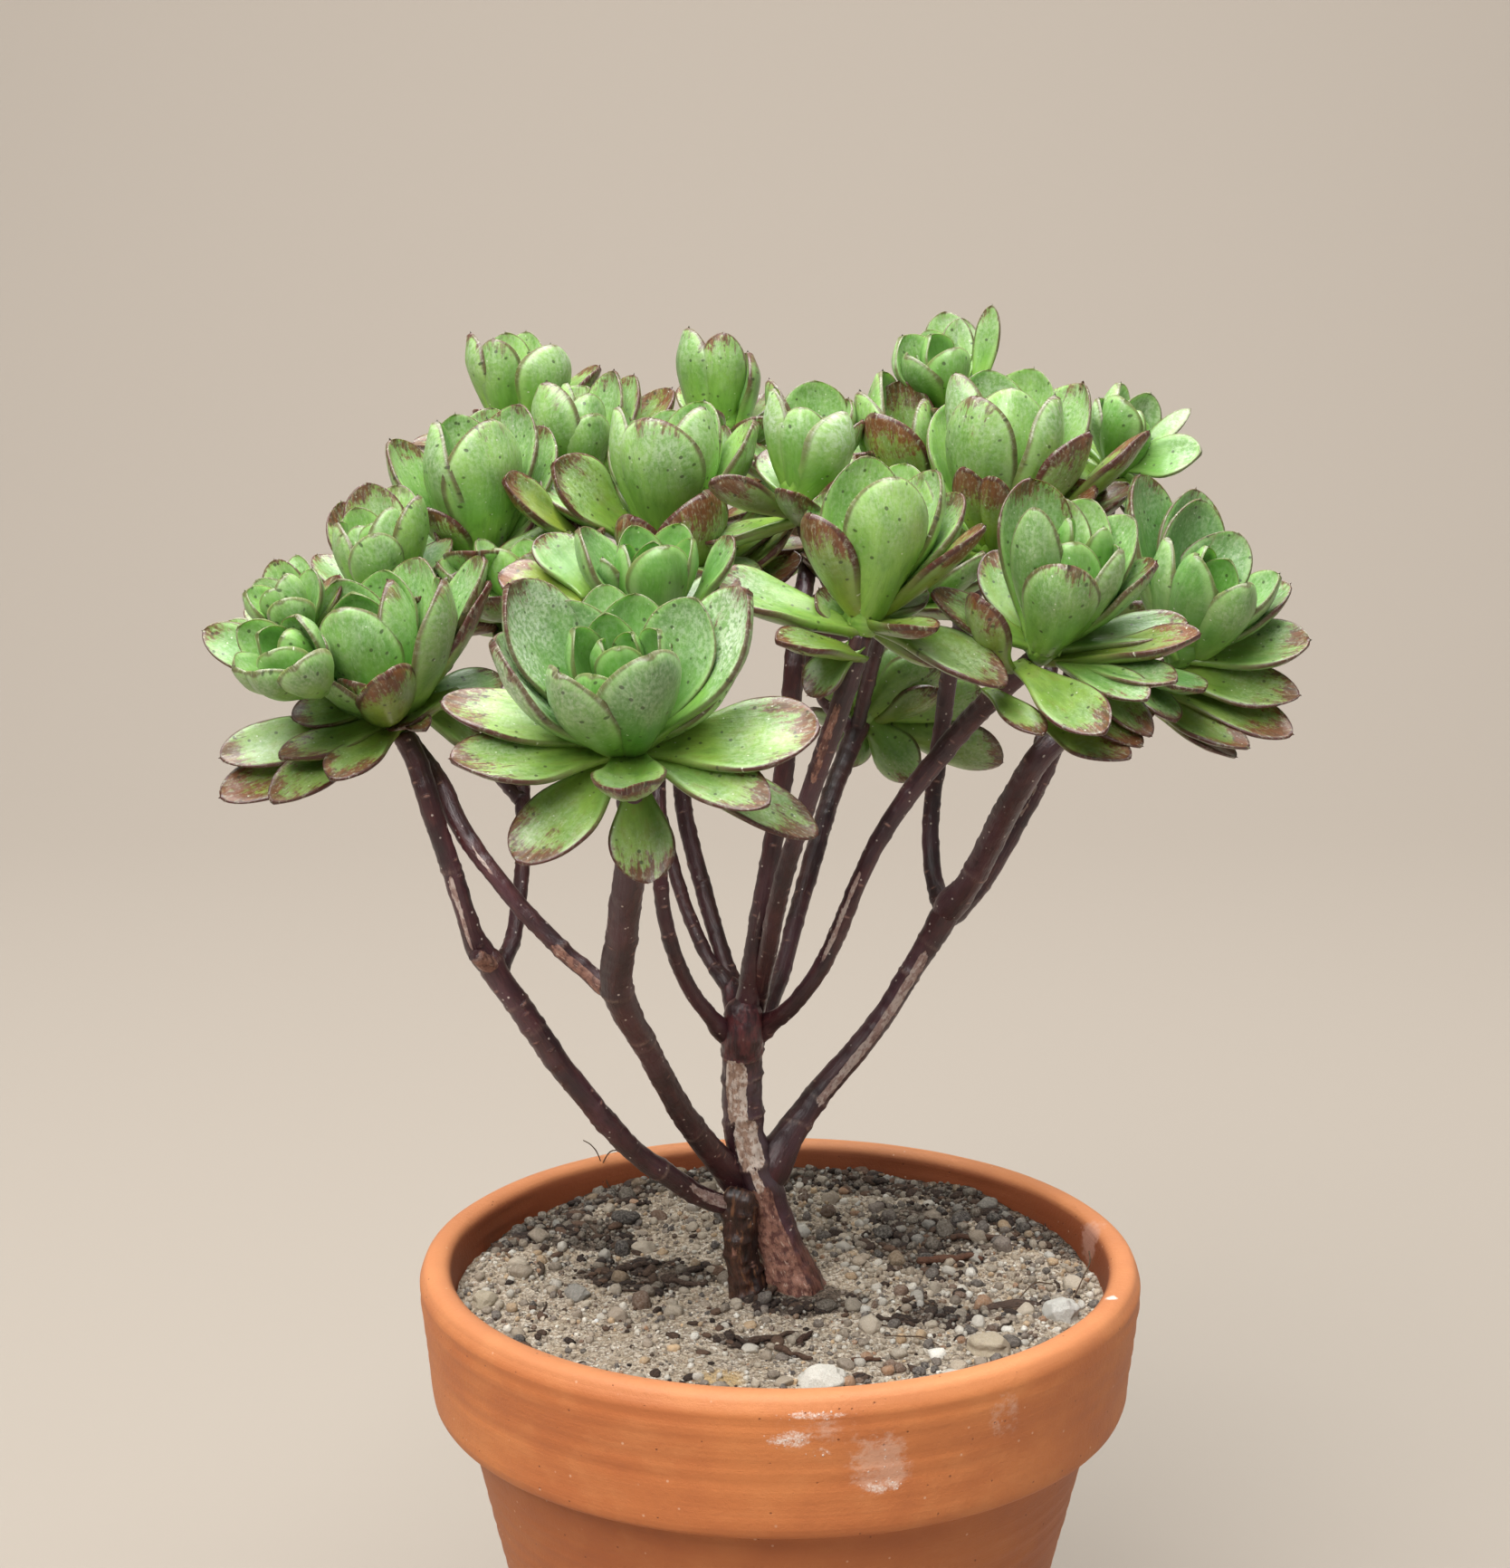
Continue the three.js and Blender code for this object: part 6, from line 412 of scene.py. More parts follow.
        (32.05, 40.68, 268.56, 26.41, 58.92, 268.27, 9.54, 0.05, 0.13, 0.38, 0.99, 0.13),
    ]},
    'rosette_right_tip': {"C": (60.88, 26, 260.25), "A": (0.51, -0.3, 0.81), "L": [
        (60.88, 26, 260.25, 61.48, 26, 274.72, 11.29, 0.45, 0.2, 0.5, 0.25, 0),
        (60.88, 26, 260.25, 67.07, 27, 272.89, 9.28, 0.45, 0.2, 0.5, 0.25, 0),
        (60.88, 26, 260.25, 61.26, 18, 272.17, 11.2, 0.55, 0.22, 0.55, 0.1, 0),
        (60.88, 26, 260.25, 74.37, 27, 269.97, 4.52, 0.2, 0.14, 0.4, 0.3, 0),
        (60.88, 26, 260.25, 75.07, 18, 262.9, 9.67, 0.3, 0.14, 0.4, 0.2, 1.15),
        (60.88, 26, 260.25, 68.73, 26, 255.5, 7.35, 0.1, 0.14, 0.4, 0.5, 0),
        (60.88, 26, 260.25, 57.37, 24, 272.06, 9.98, 0.45, 0.2, 0.5, 0.3, 0),
        (60.88, 26, 260.25, 64.96, 22, 269.74, 8.86, 0.5, 0.22, 0.6, 0.05, 0),
        (60.88, 26, 260.25, 69.74, 39, 264.7, 8.53, 0.3, 0.16, 0.42, 0.4, 0),
        (59.63, 26.75, 258.26, 51.48, 9.23, 259.14, 9.67, 0.05, 0.13, 0.38, 0.71, -0.07),
        (59.68, 26.72, 258.33, 67.73, 11.78, 249.07, 9.67, 0.05, 0.13, 0.38, 0.77, 0.38),
        (60.27, 26.36, 259.28, 52.04, 42.1, 269.8, 10.32, 0.05, 0.13, 0.38, 0.65, -0.14),
        (60.04, 26.5, 258.91, 43.41, 30.42, 263.27, 8.82, 0.05, 0.13, 0.38, 0.8, -0.34),
    ]},
    'rosette_right_front': {"C": (42.05, -32, 234.6), "A": (0.12, -0.36, 0.92), "L": [
        (42.05, -32, 234.6, 43.8, -48, 249.84, 13.24, 0.65, 0.22, 0.55, 0.45, 0),
        (42.05, -32, 234.6, 39.01, -44, 258.44, 9.48, 0.5, 0.2, 0.5, 0.3, 0.9),
        (42.05, -32, 234.6, 39.67, -30, 261.87, 15.37, 0.4, 0.18, 0.48, 0.62, 0),
        (42.05, -32, 234.6, 45.17, -27, 258.58, 13.82, 0.35, 0.18, 0.5, 0.35, 0),
        (42.05, -32, 234.6, 49.88, -28, 258.37, 14.19, 0.4, 0.2, 0.5, 0.2, 0),
        (42.05, -32, 234.6, 56.11, -31, 255.86, 14.28, 0.35, 0.16, 0.45, 0.3, 0),
        (42.05, -32, 234.6, 52.82, -40, 251.54, 14.26, 0.5, 0.2, 0.5, 0.25, 0),
        (42.05, -32, 234.6, 59.34, -36, 249.11, 12.84, 0.35, 0.16, 0.42, 0.5, 0),
        (46.81, -32, 244.3, 45.49, -36, 255.88, 7.41, 0.5, 0.22, 0.6, 0.05, 0),
        (48.87, -32, 243.57, 50.71, -37, 254.68, 6.9, 0.5, 0.22, 0.6, 0.05, 0),
        (42.05, -32, 234.6, 45.42, -42, 252.88, 11.82, 0.55, 0.22, 0.6, 0.1, 0),
        (43.26, -32, 232.83, 65.58, -43, 238.44, 9.19, 0.2, 0.18, 0.34, 0.95, 0),
        (42.05, -32, 234.6, 64.85, -35, 239.12, 10.3, 0.15, 0.14, 0.32, 0.6, 0),
        (36.24, -32, 232.24, 30.7, -45, 244.41, 10.44, 0.4, 0.16, 0.5, 0.92, -0.31),
        (42.05, -32, 234.6, 23.46, -39, 244.41, 8.59, 0.2, 0.14, 0.38, 0.82, -0.44),
        (38.15, -32, 231.79, 49.54, -54, 224.6, 10.32, -0.1, 0.12, 0.36, 0.78, 0.22),
        (33.38, -32, 227.79, 40.94, -46, 222.92, 6.3, -0.15, 0.12, 0.38, 0.85, 0.22),
        (45.92, -32, 231.79, 58.2, -44, 222.28, 7.07, -0.1, 0.12, 0.36, 0.88, 0.23),
        (40.51, -32, 223.62, 54.71, -46, 219.16, 7.36, -0.05, 0.1, 0.36, 0.95, 0.24),
        (41.89, -32, 228.09, 56.81, -44, 220.68, 7.39, -0.08, 0.1, 0.36, 0.95, 0.25),
        (44.43, -32, 232.83, 56.86, -48, 228.86, 8.26, -0.05, 0.12, 0.38, 0.6, 0.18),
        (45.89, -32, 233.12, 61.62, -46, 231.42, 8.45, 0.05, 0.12, 0.36, 0.62, 0.27),
        (47.69, -32, 231.35, 54.1, -38, 224.33, 6.89, -0.1, 0.12, 0.38, 0.75, 0.23),
        (42.05, -32, 234.6, 49.74, -19.18, 248.45, 10.59, 0.35, 0.14, 0.38, 0.63, 0.24),
        (42.05, -32, 234.6, 34.8, -19.93, 249.2, 10.55, 0.35, 0.14, 0.38, 0.7, -0.14),
    ]},
    'rosette_right': {"C": (69.55, 2, 228.87), "A": (0.36, -0.26, 0.9), "L": [
        (70.78, 2, 229.99, 70.46, -10, 247.4, 11.84, 0.6, 0.24, 0.58, 0.15, 0),
        (72.71, 2, 228.87, 78.36, -12, 242.87, 11.53, 0.55, 0.22, 0.54, 0.22, 0.42),
        (69.55, 2, 228.87, 85.99, -1, 243.17, 12.32, 0.4, 0.18, 0.45, 0.2, 0),
        (69.55, 2, 228.87, 88.94, 4, 240.87, 12.82, 0.3, 0.14, 0.42, 0.5, 0),
        (69.55, 2, 228.87, 66.42, -3, 249.62, 12.08, 0.45, 0.2, 0.5, 0.25, 0),
        (69.55, 2, 228.87, 73.15, 6, 255.53, 15.23, 0.4, 0.18, 0.48, 0.4, 0),
        (69.55, 2, 228.87, 62.32, 5, 259.85, 17.89, 0.35, 0.16, 0.45, 0.5, 0),
        (69.55, 2, 228.87, 79.99, 6, 249.69, 13.23, 0.4, 0.18, 0.48, 0.35, 0),
        (69.55, 2, 228.87, 72.98, 10, 256.94, 16.46, 0.35, 0.16, 0.45, 0.45, 0),
        (69.55, 2, 228.87, 77.3, -1, 245.68, 10.5, 0.5, 0.22, 0.6, 0.05, 0),
        (69.55, 2, 228.87, 73.64, -1, 247.87, 11.07, 0.5, 0.22, 0.58, 0.1, 0),
        (69.55, 2, 228.87, 91.76, -1, 231.67, 13.5, 0.25, 0.14, 0.38, 0.66, 0.57),
        (63.29, 2, 226.31, 89.78, -4, 222.46, 10.97, 0.08, 0.12, 0.36, 0.8, 0.45),
        (62.39, 2, 224.39, 88.38, -6, 215.97, 10.25, 0.06, 0.12, 0.36, 0.9, 0.42),
        (61.18, 2, 222.47, 80.2, -10, 214.3, 8.61, 0, 0.12, 0.36, 0.9, 0.46),
        (63.44, 2, 220.86, 79.2, -4, 211.63, 7.61, 0, 0.1, 0.36, 0.97, 0.25),
        (59.81, 2, 225.99, 67.32, -12, 219.36, 7.66, 0, 0.1, 0.4, 0.66, 0.33),
        (58.87, 2, 225.67, 62.08, -12, 219.36, 6.7, 0, 0.1, 0.45, 0.62, 0.24),
        (59.8, 2, 226.63, 71.43, -14, 224.97, 9.13, 0.08, 0.12, 0.4, 0.55, 0.35),
        (69.55, 2, 228.87, 80.66, 15.81, 239.01, 10.62, 0.35, 0.14, 0.38, 0.6, -0),
        (69.55, 2, 228.87, 66.56, 16.15, 244.76, 11.17, 0.35, 0.14, 0.38, 0.66, 0.08),
    ]},
    'rosette_mid_rear': {"C": (6.68, 26, 257.63), "A": (0, 0, 1), "L": [
        (6.68, 26, 257.63, 6.34, 29, 275.08, 13.26, 0.4, 0.18, 0.5, 0.35, 0),
        (6.68, 26, 257.63, -1.89, 26, 275.36, 11.59, 0.35, 0.16, 0.45, 0.55, 0),
        (6.68, 26, 257.63, 12.41, 28, 271.87, 11.65, 0.4, 0.18, 0.48, 0.4, 0),
        (6.68, 26, 257.63, 14.91, 24, 268.18, 8.42, 0.3, 0.16, 0.45, 0.6, 0),
        (6.68, 26, 257.63, 5.72, 38, 271.42, 10.25, 0.4, 0.16, 0.48, 0.4, 0),
        (6.68, 26, 257.63, 15.51, 38.77, 264.58, 8.85, 0.35, 0.14, 0.38, 0.59, 0.06),
        (6.68, 26, 257.63, 2.72, 42.68, 265.69, 9.85, 0.35, 0.14, 0.38, 0.59, 0.11),
        (6.68, 26, 254.76, -6.1, 36.31, 263.52, 9.31, 0.25, 0.13, 0.38, 0.56, 0.12),
        (6.68, 26, 255.5, -9.21, 22.3, 262.38, 8.85, 0.25, 0.13, 0.38, 0.73, -0.13),
        (6.68, 26, 254.64, -1.06, 9.3, 261.94, 9.9, 0.25, 0.13, 0.38, 0.61, -0.3),
        (6.68, 26, 254.85, 15.02, 9.72, 263.33, 10.08, 0.25, 0.13, 0.38, 0.95, -0.04),
        (6.68, 26, 255.89, 11.36, 5.84, 255.01, 10.36, 0.05, 0.13, 0.38, 0.93, -0.13),
        (6.68, 26, 255.69, 25.85, 20.16, 256.83, 10.03, 0.05, 0.13, 0.38, 0.73, -0.02),
        (6.68, 26, 256.51, 19.79, 38.25, 257.35, 8.98, 0.05, 0.13, 0.38, 0.85, 0.25),
        (6.68, 26, 256.17, 2.11, 45.7, 256.27, 10.11, 0.05, 0.13, 0.38, 0.64, -0.03),
        (6.68, 26, 255.99, -11.09, 25.56, 250, 9.38, 0.05, 0.13, 0.38, 0.91, -0.24),
    ]},
    'rosette_mid_right_rear': {"C": (23.54, 32, 250.86), "A": (0, -0.05, 1), "L": [
        (23.54, 32, 250.86, 18.8, 32, 276.6, 15.99, 0.4, 0.2, 0.48, 0.35, 0),
        (23.54, 32, 250.86, 14.54, 28, 273.17, 13.66, 0.4, 0.18, 0.46, 0.45, 0),
        (23.54, 32, 250.86, 22.28, 35, 274.85, 13.56, 0.3, 0.16, 0.42, 0.8, 0),
        (26.89, 32, 249.36, 17.04, 21, 269.63, 14.04, 0.3, 0.16, 0.5, 0.95, 0),
        (23.54, 32, 250.86, 26.16, 30, 271.78, 12.76, 0.4, 0.18, 0.46, 0.4, 0),
        (23.54, 32, 250.86, 23.66, 44, 271.14, 13.2, 0.4, 0.16, 0.46, 0.4, 0),
        (23.54, 32, 250.86, 40.38, 45.54, 263.63, 13.05, 0.35, 0.14, 0.38, 0.58, -0.14),
        (23.54, 32, 250.86, 24.23, 51.94, 262.97, 12.14, 0.35, 0.14, 0.38, 0.6, -0.11),
        (23.54, 32, 250.86, 7.79, 46.59, 263.09, 12.85, 0.35, 0.14, 0.38, 0.73, -0.05),
        (23.54, 32.05, 249.85, 17.22, 11.07, 259.11, 11.89, 0.25, 0.13, 0.38, 0.56, 0.13),
        (23.54, 32.08, 249.2, 35.24, 14.76, 259.34, 11.62, 0.25, 0.13, 0.38, 0.58, 0.04),
        (23.54, 32.07, 249.45, 46.34, 30.41, 257.57, 12.13, 0.25, 0.13, 0.38, 0.83, -0.03),
        (23.54, 32.11, 248.59, 24.36, 58.38, 248.71, 13.14, 0.05, 0.13, 0.38, 0.59, 0.24),
        (23.54, 32.05, 249.81, 3.86, 44.1, 253.15, 11.66, 0.05, 0.13, 0.38, 0.6, 0.02),
        (23.54, 32.14, 248.06, 3.35, 21.2, 249.92, 11.52, 0.05, 0.13, 0.38, 0.68, 0.17),
        (23.54, 32.12, 248.51, 22.73, 6.34, 249.99, 12.92, 0.05, 0.13, 0.38, 0.77, 0.36),
        (23.54, 32.15, 247.96, 43.09, 46.7, 242.82, 12.45, 0.05, 0.13, 0.38, 0.95, 0.06),
        (23.54, 32.14, 248.08, 16.93, 11.98, 240.82, 11.21, 0.05, 0.13, 0.38, 0.77, -0),
        (23.54, 32.13, 248.29, 43.51, 18.1, 239.6, 12.95, 0.05, 0.13, 0.38, 0.86, -0.21),
    ]},
    'rosette_rear_low': {"C": (16.81, 60, 208.32), "A": (0.05, 0.62, 0.78), "L": [
        (16.81, 60, 208.32, 32.05, 57, 218.17, 14.35, 0.1, 0.12, 0.4, 0.45, -0.34),
        (16.81, 60, 208.32, 42.03, 64, 209.85, 15.21, 0, 0.12, 0.36, 0.5, -0.39),
        (16.81, 60, 208.32, 26.57, 56, 195.95, 10.72, -0.2, 0.12, 0.36, 0.5, -0.38),
        (20.78, 60, 205.59, 45.22, 65, 197.92, 12.05, -0.1, 0.12, 0.34, 0.7, -0.36),
        (16.81, 60, 208.32, 7.3, 60, 213.75, 8.77, 0.1, 0.12, 0.36, 0.7, 0),
        (16.81, 60, 208.32, 14.27, 62, 197.38, 8.04, -0.2, 0.12, 0.38, 0.6, 0.08),
        (18.08, 60, 206.5, 31.9, 54, 214.33, 7.63, 0, 0.1, 0.36, 0.75, -0.19),
        (16.81, 60, 208.32, 28.89, 70.08, 216.86, 10.74, 0.5, 0.18, 0.46, 0.31, 0.24),
        (16.81, 60, 208.32, 22.66, 74.28, 213.02, 9.68, 0.5, 0.18, 0.46, 0.35, 0.01),
        (16.81, 60, 208.32, 15.32, 75.24, 212.36, 9.5, 0.5, 0.18, 0.46, 0.38, -0.01),
        (16.81, 60, 208.32, 7.69, 73.46, 215.29, 10.61, 0.5, 0.18, 0.46, 0.32, 0.03),
        (16.81, 60, 208.32, 6.69, 66.18, 220, 9.99, 0.5, 0.18, 0.46, 0.29, -0.06),
        (16.81, 60, 208.32, 25.46, 64.35, 221.88, 10, 0.5, 0.18, 0.46, 0.35, 0.12),
        (16.81, 60, 208.32, 20.07, 75, 203.96, 8.3, 0.35, 0.14, 0.38, 0.59, -0.02),
        (16.81, 60, 208.32, 7.72, 74.56, 206.09, 9, 0.35, 0.14, 0.38, 0.69, -0.08),
        (16.81, 60, 208.32, 18.81, 66.17, 220.74, 8.69, 0.5, 0.22, 0.55, 0.1, 0.11),
        (16.81, 60, 208.32, 22.27, 68.21, 217.78, 8.47, 0.5, 0.22, 0.55, 0.08, 0.09),
        (16.81, 60, 208.32, 18.21, 70.46, 215.24, 7.82, 0.5, 0.22, 0.55, 0.11, -0.06),
        (16.81, 60, 208.32, 14.01, 69.55, 217.18, 8.26, 0.5, 0.22, 0.55, 0.15, -0.07),
        (16.81, 60, 208.32, 14.45, 65.56, 219.68, 7.98, 0.5, 0.22, 0.55, 0.22, 0.11),
    ]},
    'rosette_inner_left': {"C": (-42, -14, 238), "A": (-0.1, -0.05, 0.99), "L": [
        (-42, -14, 238, -45.35, -14.43, 248.47, 6.6, 0.5, 0.18, 0.5, 0.1, 0.07),
        (-42, -14, 238, -40.83, -16.93, 249.58, 7.17, 0.49, 0.18, 0.5, 0.14, 0.27),
        (-42, -14, 238, -43.42, -9.74, 250.2, 7.73, 0.49, 0.18, 0.5, 0.19, -0.1),
        (-42, -14, 238, -47.45, -19.63, 249.61, 8.3, 0.48, 0.18, 0.5, 0.23, 0.1),
        (-42, -14, 238, -35.2, -13.61, 251.37, 8.85, 0.47, 0.18, 0.5, 0.28, -0.04),
        (-42, -14, 238, -51.29, -8.95, 250.01, 9.4, 0.47, 0.18, 0.5, 0.32, 0.22),
        (-42, -14, 238, -40.7, -26, 249.69, 9.83, 0.46, 0.18, 0.5, 0.36, 0.2),
        (-42, -14, 238, -36.55, -3.13, 250.72, 10.25, 0.46, 0.18, 0.38, 0.41, -0.23),
        (-42, -14, 238, -57.21, -18.94, 247.1, 10.67, 0.45, 0.18, 0.38, 0.45, -0.12),
        (-42, -14, 238, -27.97, -21.58, 248.69, 10.75, 0.4, 0.12, 0.38, 0.52, 0.08),
        (-42, -14, 238, -49.77, 2.49, 246.23, 10.8, 0.35, 0.12, 0.38, 0.58, 0.09),
        (-42, -14, 238, -49.1, -32.13, 242.59, 10.4, 0.3, 0.12, 0.38, 0.65, 0.09),
        (-42, -14, 238, -25.15, -5.28, 244.33, 10, 0.25, 0.12, 0.38, 0.72, -0.01),
        (-42, -14, 238, -61.31, -8.92, 239.11, 9.6, 0.2, 0.12, 0.38, 0.78, 0.05),
        (-42, -14, 238, -31.48, -30.93, 239.61, 9.2, 0.15, 0.12, 0.38, 0.85, 0.08),
    ]},
    'rosette_inner_right': {"C": (21, -3, 238), "A": (0.12, -0.05, 0.99), "L": [
        (21, -3, 238, 22.17, -1.26, 248.8, 6.6, 0.5, 0.18, 0.5, 0.1, 0.12),
        (21, -3, 238, 20.3, -6.14, 249.56, 7.17, 0.49, 0.18, 0.5, 0.14, -0.27),
        (21, -3, 238, 27.24, -2.9, 249.41, 7.73, 0.49, 0.18, 0.5, 0.19, 0.08),
        (21, -3, 238, 17.11, 0.06, 251.09, 8.3, 0.48, 0.18, 0.5, 0.23, -0.12),
        (21, -3, 238, 24.34, -11.57, 249.85, 8.85, 0.47, 0.18, 0.5, 0.28, 0.12),
        (21, -3, 238, 27.33, 4.96, 250.35, 9.4, 0.47, 0.18, 0.5, 0.32, -0.03),
        (21, -3, 238, 11.43, -7.28, 251.13, 9.83, 0.46, 0.18, 0.5, 0.36, -0.11),
        (21, -3, 238, 34.39, -9, 247.72, 10.25, 0.46, 0.18, 0.38, 0.41, 0.04),
        (21, -3, 238, 16.52, 10.11, 250.11, 10.67, 0.45, 0.18, 0.38, 0.45, -0.11),
        (21, -3, 238, 16.65, -19.17, 247.39, 10.75, 0.4, 0.12, 0.38, 0.52, -0.11),
        (21, -3, 238, 37.99, 5.26, 244.56, 10.8, 0.35, 0.12, 0.38, 0.58, -0.19),
        (21, -3, 238, 3.46, 1.33, 246.58, 10.4, 0.3, 0.12, 0.38, 0.65, -0),
        (21, -3, 238, 32.08, -19.53, 240.02, 10, 0.25, 0.12, 0.38, 0.72, 0.06),
        (21, -3, 238, 24.57, 16.39, 241.35, 9.6, 0.2, 0.12, 0.38, 0.78, 0.12),
        (21, -3, 238, 5.56, -15.44, 240.65, 9.2, 0.15, 0.12, 0.38, 0.85, -0.02),
    ]},
    'rosette_rear_left': {"C": (-38, 64, 226), "A": (-0.25, 0.35, 0.9), "L": [
        (-38, 64, 226, -42.4, 71.81, 237.84, 8.91, 0.5, 0.18, 0.5, 0.1, 0),
        (-38, 64, 226, -43.92, 65.6, 240.99, 9.68, 0.49, 0.18, 0.5, 0.14, -0.01),
        (-38, 64, 226, -36.08, 72.33, 241.33, 10.44, 0.49, 0.18, 0.5, 0.19, 0.07),
        (-38, 64, 226, -50.1, 72.33, 237.9, 11.2, 0.48, 0.18, 0.5, 0.23, 0.13),
        (-38, 64, 226, -37.81, 61.03, 246.03, 11.95, 0.47, 0.18, 0.5, 0.28, -0.04),
        (-38, 64, 226, -38.31, 82.14, 237.72, 12.69, 0.47, 0.18, 0.5, 0.32, -0.03),
        (-38, 64, 226, -55.35, 61.22, 240.34, 13.27, 0.46, 0.18, 0.5, 0.36, -0.02),
        (-38, 64, 226, -24.98, 67.33, 245.6, 13.84, 0.46, 0.18, 0.38, 0.41, 0.01),
        (-38, 64, 226, -52.71, 83.5, 230.51, 14.41, 0.45, 0.18, 0.38, 0.45, -0.11),
        (-38, 64, 226, -44.23, 47.54, 245.03, 14.52, 0.4, 0.12, 0.38, 0.52, 0.12),
        (-38, 64, 226, -22.36, 84.24, 234.65, 14.58, 0.35, 0.12, 0.38, 0.58, -0.05),
        (-38, 64, 226, -64.92, 65.8, 227.07, 14.04, 0.3, 0.12, 0.38, 0.65, 0.06),
        (-38, 64, 226, -21.45, 50.14, 242.21, 13.5, 0.25, 0.12, 0.38, 0.72, -0.1),
        (-38, 64, 226, -39.9, 90.13, 219.47, 12.96, 0.2, 0.12, 0.38, 0.78, 0.04),
        (-38, 64, 226, -55.36, 43.95, 231.06, 12.42, 0.15, 0.12, 0.38, 0.85, 0.05),
    ]},
    'rosette_rear_centre': {"C": (2, 66, 238), "A": (0, 0.4, 0.92), "L": [
        (2, 66, 238, -0.12, 72.4, 248.7, 7.59, 0.5, 0.18, 0.5, 0.1, 0.24),
        (2, 66, 238, 2.74, 67.92, 251.65, 8.25, 0.49, 0.18, 0.5, 0.14, 0.04),
        (2, 66, 238, 4.91, 75.96, 248.76, 8.9, 0.49, 0.18, 0.5, 0.19, 0.21),
        (2, 66, 238, -5.26, 69.79, 251.86, 9.54, 0.48, 0.18, 0.5, 0.23, 0.12),
        (2, 66, 238, 10.42, 68.01, 252.92, 10.18, 0.47, 0.18, 0.5, 0.28, -0.08),
        (2, 66, 238, -2.1, 81.5, 247.02, 10.81, 0.47, 0.18, 0.5, 0.32, -0.05),
        (2, 66, 238, -2.88, 60.15, 255.75, 11.3, 0.46, 0.18, 0.5, 0.36, 0.05),
        (2, 66, 238, 15.71, 77.52, 247.44, 11.79, 0.46, 0.18, 0.38, 0.41, 0.01),
        (2, 66, 238, -14.43, 75.41, 247.45, 12.27, 0.45, 0.18, 0.38, 0.45, 0.01),
        (2, 66, 238, 11.9, 55.47, 254.69, 12.36, 0.4, 0.12, 0.38, 0.52, -0.03),
        (2, 66, 238, 6.12, 88.63, 238.27, 12.42, 0.35, 0.12, 0.38, 0.58, -0.22),
        (2, 66, 238, -15.65, 57.04, 249.7, 11.96, 0.3, 0.12, 0.38, 0.65, -0.03),
        (2, 66, 238, 24.36, 65.66, 243.37, 11.5, 0.25, 0.12, 0.38, 0.72, -0.27),
        (2, 66, 238, -13, 82.98, 234.03, 11.04, 0.2, 0.12, 0.38, 0.78, 0.04),
        (2, 66, 238, 1.48, 45.65, 248.7, 10.58, 0.15, 0.12, 0.38, 0.85, -0.09),
    ]},
    'rosette_rear_right': {"C": (56, 62, 228), "A": (0.28, 0.35, 0.89), "L": [
        (56, 62, 228, 62.95, 66.06, 240.48, 8.91, 0.5, 0.18, 0.5, 0.1, -0.03),
        (56, 62, 228, 58.06, 71.21, 241.16, 9.68, 0.49, 0.18, 0.5, 0.14, 0.03),
        (56, 62, 228, 59.5, 61.8, 245.2, 10.44, 0.49, 0.18, 0.5, 0.19, -0.17),
        (56, 62, 228, 67.43, 72.19, 239.08, 11.2, 0.48, 0.18, 0.5, 0.23, -0.21),
        (56, 62, 228, 50.22, 69.95, 245.7, 11.95, 0.47, 0.18, 0.5, 0.28, -0.13),
        (56, 62, 228, 69.44, 57.96, 244.42, 12.69, 0.47, 0.18, 0.5, 0.32, -0.25),
        (56, 62, 228, 60.53, 82.4, 236.82, 13.27, 0.46, 0.18, 0.5, 0.36, -0.12),
        (56, 62, 228, 48.8, 56.37, 249.93, 13.84, 0.46, 0.18, 0.38, 0.41, 0.19),
        (56, 62, 228, 79.31, 66.77, 235.14, 14.41, 0.45, 0.18, 0.38, 0.45, -0.13),
        (56, 62, 228, 42.5, 81.05, 239.27, 14.52, 0.4, 0.12, 0.38, 0.52, 0.08),
        (56, 62, 228, 63.28, 42.82, 245.55, 14.58, 0.35, 0.12, 0.38, 0.58, -0.16),
        (56, 62, 228, 71.51, 83.72, 223.92, 14.04, 0.3, 0.12, 0.38, 0.65, 0.04),
        (56, 62, 228, 33.12, 60.15, 242.21, 13.5, 0.25, 0.12, 0.38, 0.72, -0.04),
        (56, 62, 228, 79.86, 49.47, 229.63, 12.96, 0.2, 0.12, 0.38, 0.78, -0.01),
        (56, 62, 228, 47.6, 87.14, 222.86, 12.42, 0.15, 0.12, 0.38, 0.85, 0.07),
    ]},
    'rosette_rear_far_left': {"C": (-70.5, 34, 226), "A": (-0.5, 0.22, 0.84), "L": [
        (-70.5, 34, 226, -75.18, 35.01, 237.71, 7.59, 0.5, 0.18, 0.5, 0.1, 0.02),
        (-70.5, 34, 226, -77.03, 40.6, 236.21, 8.25, 0.49, 0.18, 0.5, 0.14, 0.01),
        (-70.5, 34, 226, -80.79, 32.65, 236.76, 8.9, 0.49, 0.18, 0.5, 0.19, -0.12),
        (-70.5, 34, 226, -71.06, 38.52, 241.44, 9.54, 0.48, 0.18, 0.5, 0.23, 0.07),
        (-70.5, 34, 226, -84.05, 41.97, 233.11, 10.18, 0.47, 0.18, 0.5, 0.28, -0.03),
        (-70.5, 34, 226, -76.29, 26.56, 241.8, 10.81, 0.47, 0.18, 0.5, 0.32, 0.1),
        (-70.5, 34, 226, -70.93, 48.76, 238.46, 11.3, 0.46, 0.18, 0.5, 0.36, -0.01),
        (-70.5, 34, 226, -90, 31.59, 230.86, 11.79, 0.46, 0.18, 0.38, 0.41, 0.21),
        (-70.5, 34, 226, -63.73, 30.59, 245.76, 12.27, 0.45, 0.18, 0.38, 0.45, -0.24),
        (-70.5, 34, 226, -81.26, 53.2, 227.73, 12.36, 0.4, 0.12, 0.38, 0.52, -0.04),
        (-70.5, 34, 226, -82.58, 16.41, 234.58, 12.42, 0.35, 0.12, 0.38, 0.58, 0.11),
